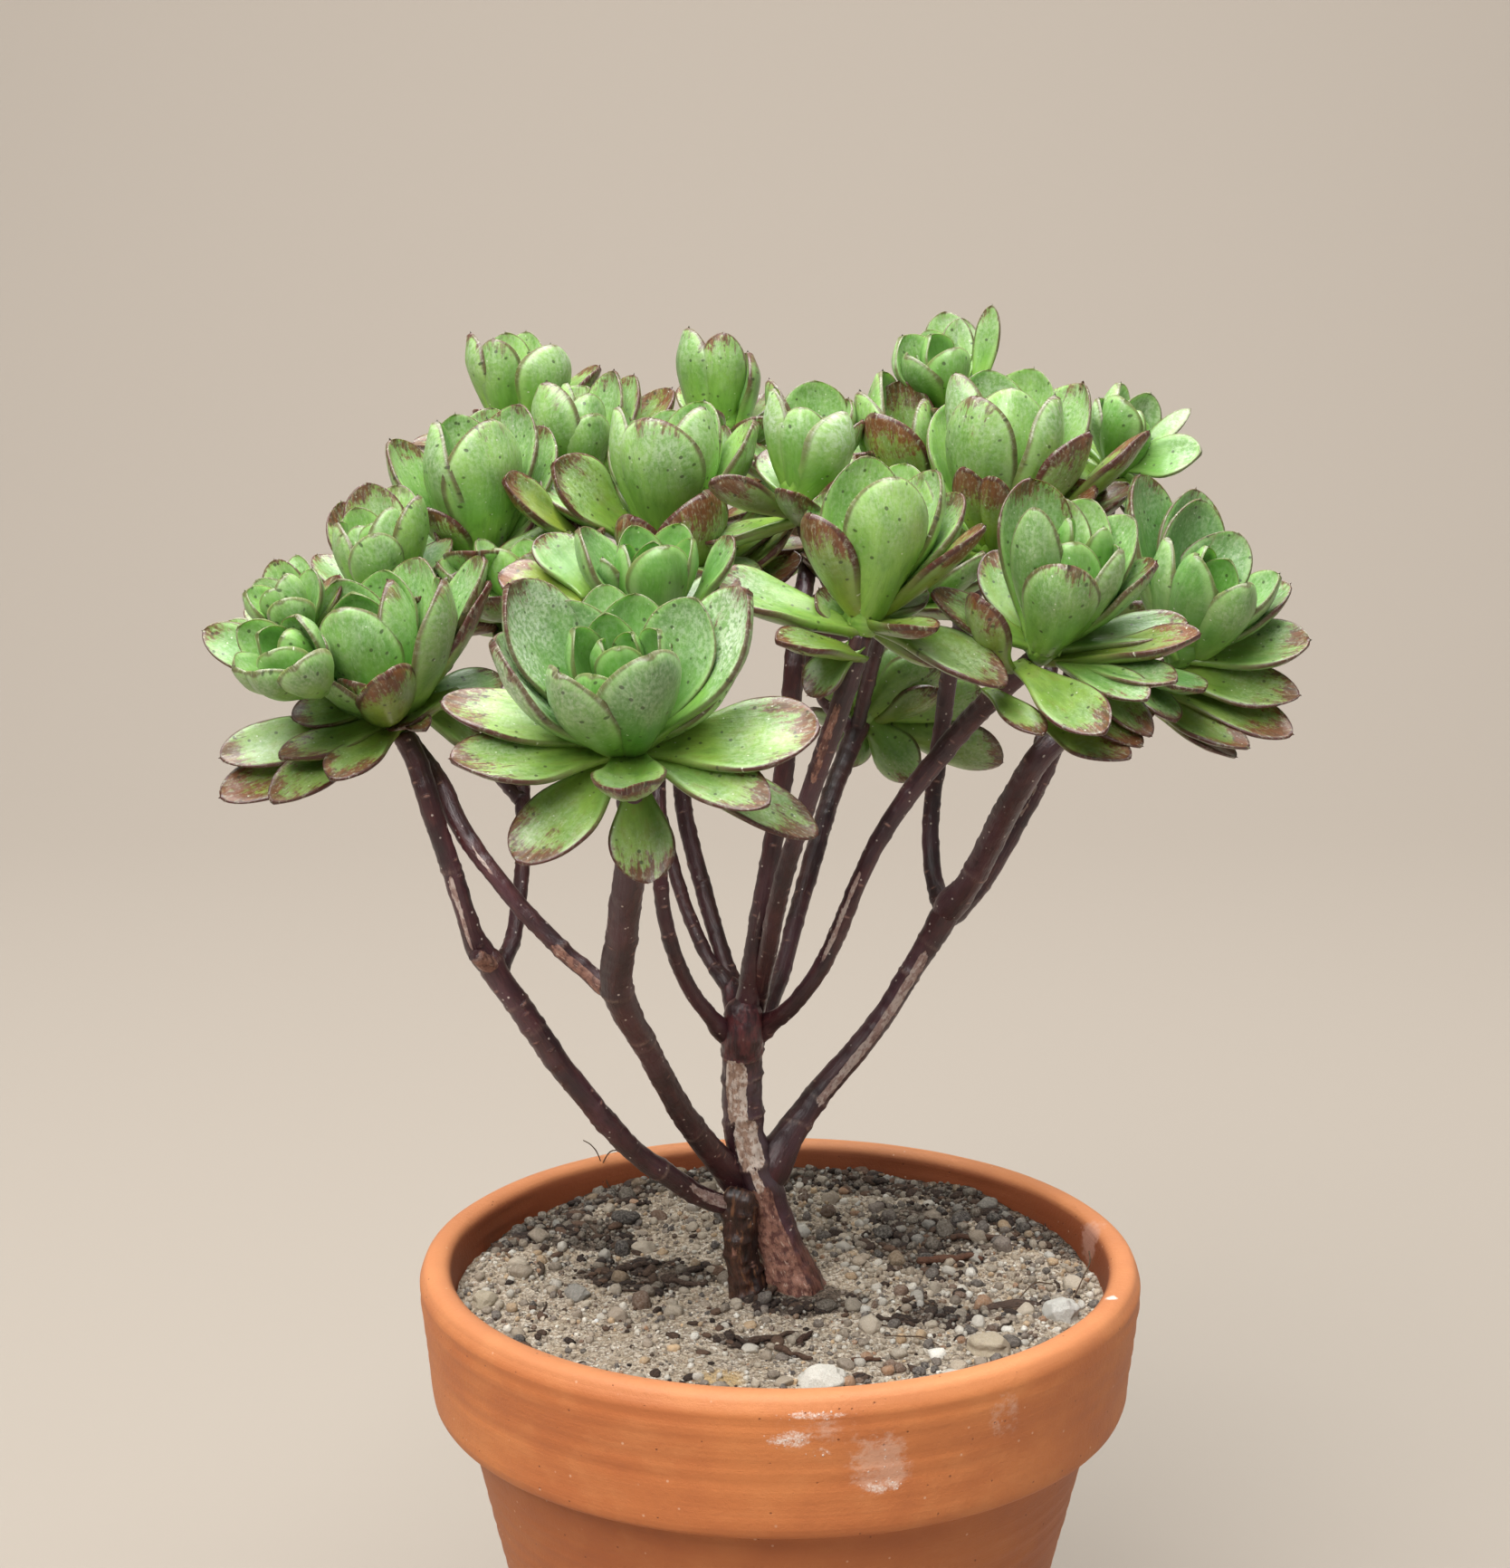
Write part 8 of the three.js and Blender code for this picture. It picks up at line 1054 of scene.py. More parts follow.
def stem_look(name, base, tip, tan, tan_dark, tan_light):
    k = Look(name)
    up, wear_highlight, bare, seam = k.attr4("stemA")
    P = k.attr("stemP", "Vector")
    n1 = k.noise(k.scale(P, (0.22, 0.22, 0.10)), 1.0, 3.0)
    n2 = k.noise(k.scale(P, (0.9, 0.9, 0.35)), 1.0, 4.0, 0.62)
    n3 = k.noise(k.scale(P, (3.0, 3.0, 1.4)), 1.0, 3.0, 0.6)
    long = k.noise(k.scale(P, (1.6, 1.6, 0.13)), 1.0, 4.0, 0.62)
    col = k.mix(k.step(n1, 0.32, 0.68), base, tip)
    col = k.mix(k.f("MULTIPLY", k.step(k.noise(k.scale(P, (0.10, 0.10, 0.05)), 1.0, 2.0), 0.46, 0.66), 0.75), col, rgb(70, 46, 36) if name == "stump_bark" else rgb(84, 50, 60))
    if name == "stump_bark":
        fibre = k.noise(k.scale(P, (0.9, 0.9, 0.16)), 1.0, 4.0, 0.68)
        col = k.mix(k.f("MULTIPLY", k.step(fibre, 0.52, 0.66), 0.75), col, rgb(136, 92, 62))
        col = k.mix(k.f("MULTIPLY", k.step(fibre, 0.44, 0.36), 0.85), col, rgb(18, 12, 11))
    col = k.mix(k.f("MULTIPLY", k.step(n2, 0.52, 0.80), 0.16 if name == "trunk_bark" else 0.34), col, rgb(112, 58, 50))
    col = k.mix(k.f("MULTIPLY", k.step(n2, 0.46, 0.24), 0.55), col, rgb(28, 14, 18))
    col = k.mix(k.f("MULTIPLY", k.step(long, 0.56, 0.78), 0.20 if name == "trunk_bark" else 0.42), col, rgb(128, 84, 74))
    # lens-shaped leaf scars: pale rim, darker middle
    d, c = k.cells(k.scale(P, (0.26, 0.26, 0.62)), 1.0, 0.95, "both")
    r0 = k.f("ADD", d, k.f("MULTIPLY", k.f("SUBTRACT", n3, 0.5), 0.16))
    some = k.step(k.xyz(c)[0], 0.52, 0.62)
    rim = k.f("MULTIPLY", k.f("MULTIPLY", k.step(r0, 0.14, 0.18), k.step(r0, 0.26, 0.20)), some)
    inner = k.f("MULTIPLY", k.step(r0, 0.17, 0.10), some)
    col = k.mix(k.f("MULTIPLY", rim, 0.26), col, rgb(118, 80, 72))
    col = k.mix(k.f("MULTIPLY", inner, 0.72), col, rgb(160, 118, 106))
    # fine pale specks, partly painted glints
    d2, c2 = k.cells(P, 0.80, 1.0, "both")
    speck_glint = k.f("MULTIPLY", k.step(d2, 0.20, 0.10), k.step(k.xyz(c2)[2], 0.72, 0.76))
    col = k.mix(k.f("MULTIPLY", speck_glint, 0.80), col, rgb(206, 190, 180))
    if name == "trunk_bark":
        # the foot of the trunk is flaky and redder
        low = k.step(k.f("ADD", k.xyz(P)[2], k.f("MULTIPLY", n2, 5.0)), 50.0, 42.0)
        flaky = k.mix(k.step(n2, 0.36, 0.62), rgb(70, 38, 34), rgb(142, 92, 76))
        col = k.mix(k.f("MULTIPLY", low, 0.75), col, flaky)
        # purple-grey smooth skin on the middle, wine-red knuckle at the top
        skin = k.step(k.noise(k.scale(P, (0.16, 0.16, 0.06)), 1.0, 2.0), 0.44, 0.58)
        col = k.mix(k.f("MULTIPLY", k.f("MULTIPLY", skin, k.step(k.xyz(P)[2], 42.0, 50.0)), 0.55), col, rgb(92, 76, 82))
        col = k.mix(k.f("MULTIPLY", k.step(k.xyz(P)[2], 74.0, 80.0), 0.80), col, k.mix(k.step(n2, 0.40, 0.62), rgb(54, 20, 26), rgb(108, 46, 48)))
    # weathered bark where the skin has worn off, partly a painted highlight on the side facing the camera
    w = k.f("ADD", k.f("MULTIPLY", wear_highlight, 1.2), k.f("MULTIPLY", k.f("SUBTRACT", long, 0.5), 1.1))
    w = k.f("ADD", w, k.f("MULTIPLY", k.f("SUBTRACT", n2, 0.5), 1.0))
    w = k.step(w, 0.56, 0.64)
    grain = k.noise(k.scale(P, (2.0, 2.0, 0.55)), 1.0, 4.0, 0.65)
    scale = k.noise(k.scale(P, (0.9, 0.9, 0.7)), 1.0, 3.0, 0.6)
    worn_highlight = k.mix(k.f("MULTIPLY", k.step(grain, 0.46, 0.64), 0.7), tan, tan_dark)
    worn_highlight = k.mix(k.f("MULTIPLY", k.step(k.f("ADD", k.f("MULTIPLY", scale, 0.65), k.f("MULTIPLY", k.noise(k.scale(P, (0.5, 0.5, 0.16)), 1.0, 2.0), 0.35)), 0.46, 0.56), 0.80), worn_highlight, tan_light)
    flake = k.mix(k.step(scale, 0.36, 0.60), rgb(96, 56, 48), rgb(158, 112, 94))
    flake = k.mix(k.f("MULTIPLY", k.step(grain, 0.58, 0.68), 0.8), flake, rgb(206, 178, 160))
    flake = k.mix(k.f("MULTIPLY", k.step(grain, 0.42, 0.34), 0.6), flake, rgb(58, 34, 32))
    worn_highlight = k.mix(bare, worn_highlight, flake)
    worn_highlight = k.mix(k.f("MULTIPLY", k.step(n3, 0.46, 0.28), 0.50), worn_highlight, rgb(92, 62, 54))
    col = k.mix(k.f("MULTIPLY", w, 0.94), col, worn_highlight)
    # growth rings
    ring = k.f("MULTIPLY", seam, k.step(n3, 0.3, 0.6))
    col = k.mix(k.f("MULTIPLY", ring, 0.70), col, rgb(176, 146, 130))
    k.set("Base Color", col)
    rough = k.f("ADD", 0.31, k.f("MULTIPLY", n2, 0.16))
    rough = k.f("ADD", rough, k.f("MULTIPLY", w, 0.30), clamp=True)
    k.set("Roughness", rough)
    k.set("Specular IOR Level", 0.55)
    k.set("Coat Weight", 0.22)
    k.set("Coat Roughness", 0.30)
    h = k.f("ADD", k.f("MULTIPLY", n2, 0.6), k.f("MULTIPLY", n3, 0.30))
    h = k.f("ADD", h, k.f("MULTIPLY", long, 0.9))
    h = k.f("ADD", h, k.f("MULTIPLY", k.f("ADD", rim, inner), 0.30))
    h = k.f("SUBTRACT", h, k.f("MULTIPLY", w, 0.55))
    k.set("Normal", k.bump(h, 0.00042, 0.7))
    return k.m


def clay_look():
    k = Look("terracotta")
    P = k.attr("P", "Vector")
    face, lip, inner, under = k.attr4("potA")
    x, y, z = k.xyz(P)
    big = k.noise(k.scale(P, (0.028, 0.028, 0.040)), 1.0, 3.0)
    mid = k.noise(k.scale(P, (0.11, 0.11, 0.16)), 1.0, 4.0, 0.6)
    fine = k.noise(P, 0.9, 4.0, 0.65)
    turn = k.noise(k.scale(P, (0.012, 0.012, 1.1)), 1.0, 3.0, 0.6)
    grain = k.noise(P, 4.0, 2.0, 0.6)
    col = k.mix(k.step(big, 0.30, 0.70), CLAY["red"], CLAY["orange"])
    col = k.mix(k.f("MULTIPLY", k.step(mid, 0.45, 0.75), 0.30), col, CLAY["light"])
    col = k.mix(k.f("MULTIPLY", k.step(mid, 0.48, 0.25), 0.16), col, CLAY["brown"])
    col = k.mix(k.f("MULTIPLY", k.step(turn, 0.50, 0.70), 0.06), col, CLAY["light"])
    col = k.mix(k.f("MULTIPLY", k.step(fine, 0.55, 0.80), 0.18), col, CLAY["brown"])
    # painted highlight: the top of the rim is painted lighter
    col = k.mix(k.f("MULTIPLY", lip, 0.42), col, CLAY["lip"])
    # darker on the inside wall below the lip
    inner_dark = k.f("MULTIPLY", inner, 0.80)
    col = k.mix(inner_dark, col, CLAY["inner"])
    # painted shade: the outer wall below the rim band is darker, as in the band's shadow
    col = k.mix(k.f("MULTIPLY", under, 0.34), col, rgb(138, 70, 38))
    # pinholes and pale grains
    d, c = k.cells(P, 0.55, 1.0, "both")
    pin = k.f("MULTIPLY", k.step(d, 0.13, 0.06), k.step(k.xyz(c)[0], 0.78, 0.82))
    col = k.mix(k.f("MULTIPLY", pin, 0.6), col, rgb(96, 48, 30))
    d2, c2 = k.cells(k.shift(P, (4.0, 9.0, 2.0)), 0.5, 1.0, "both")
    pale = k.f("MULTIPLY", k.step(d2, 0.15, 0.08), k.step(k.xyz(c2)[1], 0.86, 0.90))
    col = k.mix(k.f("MULTIPLY", pale, 0.55), col, rgb(226, 186, 156))
    # lime bloom: a smear low on the rim band at the front, another just under the lip, a dab at the right
    def patch(cx, cz, wx, wz, front=True):
        dx = k.f("DIVIDE", k.f("SUBTRACT", x, cx), wx)
        dz = k.f("DIVIDE", k.f("SUBTRACT", z, cz), wz)
        q = k.f("ADD", k.f("MULTIPLY", dx, dx), k.f("MULTIPLY", dz, dz))
        m = k.step(q, 1.6, 0.0)
        return k.f("MULTIPLY", m, k.step(y, -20.0, -40.0))
    warp = k.noise(k.scale(P, (0.26, 0.26, 0.30)), 1.0, 4.0, 0.65)
    scum = k.noise(k.scale(P, (0.75, 0.75, 1.0)), 1.0, 5.0, 0.70)
    dense = k.f("MAXIMUM", patch(5.0, 116.9, 6.5, 0.9), patch(1.0, 113.0, 4.6, 1.9))
    dense = k.f("MAXIMUM", dense, k.f("MULTIPLY", patch(15.6, 103.2, 4.2, 1.7), 0.9))
    dense = k.f("MAXIMUM", dense, k.f("MULTIPLY", patch(5.6, 110.6, 2.6, 1.3), 0.75))
    veil = k.f("MAXIMUM", patch(15.5, 107.5, 6.0, 6.5), k.f("MULTIPLY", patch(36.0, 112.0, 3.0, 5.0), 0.7))
    veil = k.f("MAXIMUM", veil, k.f("MULTIPLY", patch(5.0, 114.0, 9.0, 4.0), 0.55))
    grainy = k.f("ADD", k.f("MULTIPLY", k.f("SUBTRACT", warp, 0.5), 1.6), k.f("MULTIPLY", k.f("SUBTRACT", scum, 0.5), 1.8))
    speckle = k.step(k.noise(P, 2.6, 3.0, 0.7), 0.44, 0.56)
    bloom = k.step(k.f("ADD", dense, grainy), 0.62, 1.15)
    bloom = k.f("MULTIPLY", bloom, k.step(dense, 0.05, 0.4))
    bloom = k.f("MULTIPLY", bloom, k.f("ADD", 0.30, k.f("MULTIPLY", speckle, 0.60)))
    col = k.mix(bloom, col, rgb(240, 222, 210))
    haze = k.f("MULTIPLY", k.step(k.f("ADD", veil, grainy), 0.35, 1.1), k.step(veil, 0.05, 0.5))
    col = k.mix(k.f("MULTIPLY", haze, 0.34), col, CLAY["lime"])
    d3, c3 = k.cells(k.shift(P, (1.0, 3.0, 8.0)), 1.5, 1.0, "both")
    chalk = k.f("MULTIPLY", k.step(d3, 0.34, 0.16), k.step(k.xyz(c3)[0], 0.78, 0.84))
    chalk = k.f("MULTIPLY", chalk, k.step(k.f("MAXIMUM", dense, k.f("MULTIPLY", veil, 0.5)), 0.2, 0.7))
    col = k.mix(k.f("MULTIPLY", chalk, 0.75), col, rgb(244, 234, 224))
    # dab of lime on the lip at the right and a crust on the inside wall there
    def dab(px, py, pz, rad):
        n = k.t.nodes.new("ShaderNodeVectorMath")
        n.operation = "DISTANCE"
        k.put(n.inputs[0], P)
        n.inputs[1].default_value = (px, py, pz)
        return k.step(k.f("ADD", n.outputs["Value"], k.f("MULTIPLY", k.f("SUBTRACT", scum, 0.5), rad * 1.4)), rad, rad * 0.55)
    col = k.mix(k.f("MULTIPLY", dab(57.2, -23.5, 119.5, 1.3), 0.9), col, rgb(244, 232, 222))
    col = k.mix(k.f("MULTIPLY", dab(57.8, 12.0, 117.0, 4.6), 0.5), col, rgb(216, 168, 150))
    # tide mark where the soil met the wall
    tide = k.f("MULTIPLY", k.step(z, 117.5, 113.5), inner)
    tide = k.f("MULTIPLY", tide, k.step(mid, 0.35, 0.7))
    col = k.mix(k.f("MULTIPLY", tide, 0.32), col, rgb(104, 70, 52))
    k.set("Base Color", col)
    rough = k.f("ADD", 0.47, k.f("MULTIPLY", mid, 0.22))
    rough = k.f("ADD", rough, k.f("MULTIPLY", inner, 0.1))
    k.set("Roughness", rough)
    k.set("Specular IOR Level", 0.4)
    h = k.f("ADD", k.f("MULTIPLY", fine, 0.5), k.f("MULTIPLY", grain, 0.18))
    h = k.f("ADD", h, k.f("MULTIPLY", turn, 0.35))
    h = k.f("SUBTRACT", h, k.f("MULTIPLY", pin, 0.9))
    h = k.f("ADD", h, k.f("MULTIPLY", chalk, 0.5))
    k.set("Normal", k.bump(h, 0.0004, 0.6))
    return k.m


CLAY = dict(
    red=rgb(188, 108, 60), orange=rgb(204, 124, 70), light=rgb(216, 144, 90), brown=rgb(160, 88, 52),
    lip=rgb(232, 160, 112), inner=rgb(132, 62, 34), lime=rgb(230, 204, 186))


def soil_look():
    k = Look("soil")
    P = k.attr("P", "Vector")
    humus, sand, wet, q = k.attr4("soilA")
    d, c = k.cells(P, 1.7, 1.0, "both")
    a = k.xyz(c)[0]
    grey = k.ramp(a, (0.0, rgb(104, 92, 82)), (0.3, rgb(160, 144, 126)), (0.55, rgb(190, 174, 154)), (0.8, rgb(212, 198, 180)), (1.0, rgb(236, 228, 216)))
    d2, c2 = k.cells(k.shift(P, (5.0, 2.0, 1.0)), 3.6, 1.0, "both")
    grey = k.mix(0.35, grey, k.ramp(k.xyz(c2)[1], (0.0, rgb(84, 74, 66)), (0.5, rgb(160, 144, 126)), (1.0, rgb(216, 204, 186))))
    n = k.noise(P, 0.16, 4.0, 0.6)
    col = k.mix(k.f("MULTIPLY", k.step(n, 0.4, 0.7), 0.35), grey, rgb(178, 156, 126))
    h2 = k.f("ADD", humus, k.f("MULTIPLY", k.f("SUBTRACT", k.noise(P, 0.7, 4.0, 0.65), 0.5), 1.1))
    col = k.mix(k.f("MULTIPLY", k.step(h2, 0.35, 0.65), 0.85), col, k.ramp(a, (0.0, rgb(36, 28, 24)), (0.5, rgb(72, 58, 50)), (1.0, rgb(112, 96, 84))))
    x, y, z = k.xyz(P)
    yx = k.f("DIVIDE", k.f("ADD", x, 10.5), 5.2)
    yy = k.f("DIVIDE", k.f("ADD", y, 41.0), 4.0)
    yq = k.f("ADD", k.f("MULTIPLY", yx, yx), k.f("MULTIPLY", yy, yy))
    ym = k.step(k.f("ADD", yq, k.f("MULTIPLY", n, 0.9)), 1.5, 0.6)
    col = k.mix(k.f("MULTIPLY", ym, 0.55), col, rgb(190, 154, 92))
    k.set("Base Color", col)
    k.set("Roughness", 0.95)
    k.set("Specular IOR Level", 0.2)
    h = k.f("ADD", k.f("MULTIPLY", d, -0.8), k.f("MULTIPLY", d2, -0.3))
    k.set("Normal", k.bump(h, 0.0006, 0.9))
    return k.m


def grit_look(name, rough, spec, grainy=1.0):
    k = Look(name)
    P = k.attr("P", "Vector")
    tint = k.attr("tint")
    n = k.noise(P, 2.3, 4.0, 0.65)
    n2 = k.noise(P, 7.0, 3.0, 0.6)
    col = k.mix(k.f("MULTIPLY", k.step(n, 0.35, 0.75), 0.40 * grainy), tint, rgb(214, 204, 190), "MIX")
    col = k.mix(k.f("MULTIPLY", k.step(n2, 0.52, 0.30), 0.42 * grainy), col, rgb(84, 72, 62))
    k.set("Base Color", col)
    k.set("Roughness", rough)
    k.set("Specular IOR Level", spec)
    k.set("Normal", k.bump(k.f("ADD", n, k.f("MULTIPLY", n2, 0.5)), 0.00035, 0.8))
    return k.m


def bark_look():
    k = Look("bark_litter")
    P = k.attr("P", "Vector")
    tint = k.attr("tint")
    n = k.noise(k.scale(P, (1.2, 5.0, 5.0)), 1.0, 4.0, 0.65)
    n2 = k.noise(P, 1.6, 3.0, 0.6)
    col = k.mix(k.f("MULTIPLY", k.step(n, 0.4, 0.7), 0.5), tint, rgb(120, 96, 80))
    col = k.mix(k.f("MULTIPLY", k.step(n2, 0.5, 0.3), 0.5), col, rgb(34, 26, 22))
    k.set("Base Color", col)
    k.set("Roughness", 0.86)
    k.set("Specular IOR Level", 0.3)
    k.set("Normal", k.bump(n, 0.0004, 0.8))
    return k.m


leaf_mat = leaf_look()
stem_mat = stem_look("stem_bark", rgb(46, 20, 27), rgb(76, 35, 37), rgb(170, 140, 130), rgb(108, 76, 72), rgb(208, 190, 180))
trunk_mat = stem_look("trunk_bark", rgb(44, 22, 28), rgb(68, 38, 42), rgb(188, 156, 136), rgb(118, 84, 68), rgb(240, 226, 214))
stump_mat = stem_look("stump_bark", rgb(34, 21, 20), rgb(64, 40, 33), rgb(140, 98, 70), rgb(82, 54, 40), rgb(176, 136, 104))
clay_mat = clay_look()
soil_mat = soil_look()
grit_mat = grit_look("grit", 0.9, 0.25)
stone_mat = grit_look("stone", 0.82, 0.3, 0.7)
bark_mat = bark_look()

# ---------------------------------------------------------------- pot

GAP, POT_H, RIM_R, BAND_H, BAND_FOOT_R = 0.3, 120.0, 65.0, 25.7, 63.1
BODY_TOP_R, FOOT_R, LIP_T, WALL_T, FLOOR_T, HOLE_R, SOIL_Z, SOIL_RISE = 58.0, 35.5, 5.8, 6.0, 9.0, 7.0, 112.6, 2.9
LIP_IN = RIM_R - LIP_T


def chaikin(p, times, closed=True):
    for _ in range(times):
        a = p
        b = np.roll(p, -1, axis=0)
        p = np.stack([0.75 * a + 0.25 * b, 0.25 * a + 0.75 * b], 1).reshape(-1, 2)
    return p


def dense(p, step):
    """A closed outline with points no further apart than step."""
    out = []
    for i in range(len(p)):
        a, b = p[i], p[(i + 1) % len(p)]
        n = max(1, int(np.ceil(np.linalg.norm(b - a) / step)))
        for j in range(n):
            out.append(a + (b - a) * j / n)
    return np.array(out)


pot_profile = np.array([
    [HOLE_R, 1.4], [HOLE_R + 0.5, 0.2], [HOLE_R + 2.0, 0.0], [20, 0], [FOOT_R - 2.4, 0], [FOOT_R - 0.5, 0.25], [FOOT_R + 0.1, 1.6], [FOOT_R + 0.9, 4.0],
    [BODY_TOP_R - 1.0, POT_H - BAND_H - 3.6], [BODY_TOP_R + 0.1, POT_H - BAND_H - 0.2],
    [BAND_FOOT_R - 2.6, POT_H - BAND_H - 0.25], [BAND_FOOT_R - 0.35, POT_H - BAND_H + 0.35], [BAND_FOOT_R + 0.12, POT_H - BAND_H + 2.6],
    [63.75, 104.0], [RIM_R - 0.25, 112.5], [RIM_R + 0.05, 116.0], [RIM_R - 0.35, 118.6], [RIM_R - 1.7, 119.9],
    [RIM_R - 3.2, 120.1], [LIP_IN + 1.0, 119.7], [LIP_IN + 0.1, 118.2], [LIP_IN - 0.3, 115.0], [LIP_IN - 1.1, 105.0], [LIP_IN - 1.8, POT_H - BAND_H + 0.6],
    [BODY_TOP_R - WALL_T, POT_H - BAND_H - 5], [FOOT_R - WALL_T + 3.2, FLOOR_T + 4], [FOOT_R - WALL_T + 0.6, FLOOR_T + 0.8], [FOOT_R - WALL_T - 2, FLOOR_T],
    [HOLE_R + 1.6, FLOOR_T], [HOLE_R + 0.2, FLOOR_T - 0.3], [HOLE_R, FLOOR_T - 1.8],
])
prof = chaikin(dense(pot_profile, 9.0), 2)
fine_wall = dense(prof, 1.9)
top_at = int(np.argmax(fine_wall[:, 1]))
buried = (np.arange(len(fine_wall)) > top_at) & (fine_wall[:, 1] < 104.0)
prof = fine_wall[~buried | (np.arange(len(fine_wall)) % 4 == 0)]
SEG = 184
th = np.linspace(0, 2 * np.pi, SEG, endpoint=False)
pr, pz = prof[:, 0][:, None], prof[:, 1][:, None]
X = pr * np.cos(th)[None, :]
Y = pr * np.sin(th)[None, :]
Z = pz + 0 * th[None, :]
flat = np.stack([X, Y, Z], -1).reshape(-1, 3)
# hand-turned unevenness: faint throwing rings on the walls and a rim that is not quite flat
radial = unit(flat * [1, 1, 0])
wall = smooth(2, 12, flat[:, 2])
amp = 0.16 * np.sin(flat[:, 2] * 1.9 + 0.6 * np.sin(flat[:, 2] * 0.37)) * smooth(0.3, 0.7, fbm(flat * 0.045, 2, 5))
amp += 0.34 * (fbm(flat * [0.05, 0.05, 0.12], 3, 9) - 0.5)
flat += radial * (amp * wall)[:, None]
flat[:, 2] += 0.28 * (fbm(flat * [0.03, 0.03, 0.0] + 3.0, 2, 4) - 0.5) * smooth(112, 120, flat[:, 2])
rr = np.hypot(flat[:, 0], flat[:, 1])
outer = (np.broadcast_to(np.arange(len(prof))[:, None], X.shape).ravel() < np.argmax(prof[:, 1])).astype(float)
# pot channels: outer wall, top of the rim for the painted highlight, inside wall below the lip, outer wall below the
# band for the painted shade
potA = np.stack([outer, smooth(116.0, 119.6, flat[:, 2]), (1 - outer) * smooth(119.6, 118.2, flat[:, 2]), smooth(94.5, 90, flat[:, 2]) * outer], 1)
pot = Build()
q = ring_quads(len(prof), SEG)
last = ring_quads(2, SEG)
last = np.where(last >= SEG, last - SEG, last + (len(prof) - 1) * SEG)
pot.add(flat, quads=np.vstack([q, last]), P=flat, potA=potA)
pot.make("visual_clay_pot", [clay_mat], "clay_pot", "clay")

# ---------------------------------------------------------------- soil


def soil_z(x, y):
    r = np.hypot(x, y)
    return (SOIL_Z + 0.55 * np.sin(x * 0.11 + 0.6) * np.cos(y * 0.09 - 0.4) + 0.35 * np.sin(x * 0.21 - y * 0.17 + 1.3)
            + 1.1 * np.exp(-((x - 4) ** 2 + (y + 1) ** 2) / 260) - 0.5 * np.maximum(0, (r - 46) / 12)
            + SOIL_RISE * smooth(4, 54, y))


def soil_fine(x, y):
    p = np.stack([x, y, 0 * x], -1)
    return soil_z(x, y) + 1.3 * (fbm(p * 0.16, 3, 31) - 0.5) + 0.8 * (fbm(p * 0.9, 2, 33) - 0.5)


def humus_mask(x, y):
    """Where dark litter shows: behind and to the left of the trunk, and in pockets."""
    p = np.stack([x, y, 0 * x], -1)
    m = 0.95 * np.exp(-(((x + 26) / 17) ** 2 + ((y - 6) / 9) ** 2))
    m = np.maximum(m, 0.85 * np.exp(-(((x - 4) / 14) ** 2 + ((y + 9) / 7) ** 2)))
    m = np.maximum(m, 0.75 * np.exp(-(((x - 26) / 16) ** 2 + ((y - 22) / 20) ** 2)))
    m = np.maximum(m, 0.65 * np.exp(-(((x - 30) / 12) ** 2 + ((y + 12) / 8) ** 2)))
    m = np.maximum(m, 0.70 * np.exp(-(((x + 6) / 11) ** 2 + ((y + 25) / 4.5) ** 2)))
    m = np.maximum(m, 0.85 * smooth(40, 55, np.hypot(x, y)) * smooth(0, 30, y))
    m = np.maximum(m, 0.80 * np.exp(-(((x + 37) / 12) ** 2 + ((y - 22) / 12) ** 2)))
    m = np.maximum(m, 0.40 * np.exp(-(((x + 44) / 9) ** 2 + ((y + 14) / 5) ** 2)))
    m = np.maximum(m, 0.22)
    return np.clip(smooth(0.22, 0.72, m * (0.30 + 1.5 * fbm(p * 0.26, 3, 40))) * (0.35 + m), 0, 1)


SS = 290
rs = np.concatenate([np.linspace(59.0, 4.0, 84), [2.0]])
tt = np.linspace(0, 2 * np.pi, SS, endpoint=False)
soil = Build()
low = np.array([[8.5, FLOOR_T + 5], [10.5, FLOOR_T + GAP], [27.2, FLOOR_T + GAP], [29.6, FLOOR_T + 1.2], [32.2, FLOOR_T + 4.2], [51.6, 89.3], [57.0, 94.6], [58.6, 108.5]])
rad = np.concatenate([low[:, 0], rs])
X = rad[:, None] * np.cos(tt)[None, :]
Y = rad[:, None] * np.sin(tt)[None, :]
Zt = soil_fine(X.ravel(), Y.ravel()).reshape(X.shape)
Z = Zt.copy()
Z[:len(low)] = low[:, 1][:, None]
V = np.stack([X, Y, Z], -1).reshape(-1, 3)
hum = humus_mask(V[:, 0], V[:, 1])
n0 = len(V)
V = np.vstack([V, [[0, 0, FLOOR_T + 7]], [[0, 0, float(soil_fine(np.zeros(1), np.zeros(1))[0])]]])
hum = np.append(hum, [0.3, 0.3])
soilA = np.stack([hum, 0 * hum, 0 * hum, 0 * hum + 1], 1)
tris = np.vstack([fan(n0, 0, SS), fan(n0 + 1, (len(rad) - 1) * SS, SS, True)])
soil.add(V, quads=ring_quads(len(rad), SS)[:, ::-1], tris=tris, P=V, soilA=soilA)
soil.make("visual_soil", [soil_mat], "soil", "soil")

# ---------------------------------------------------------------- stones


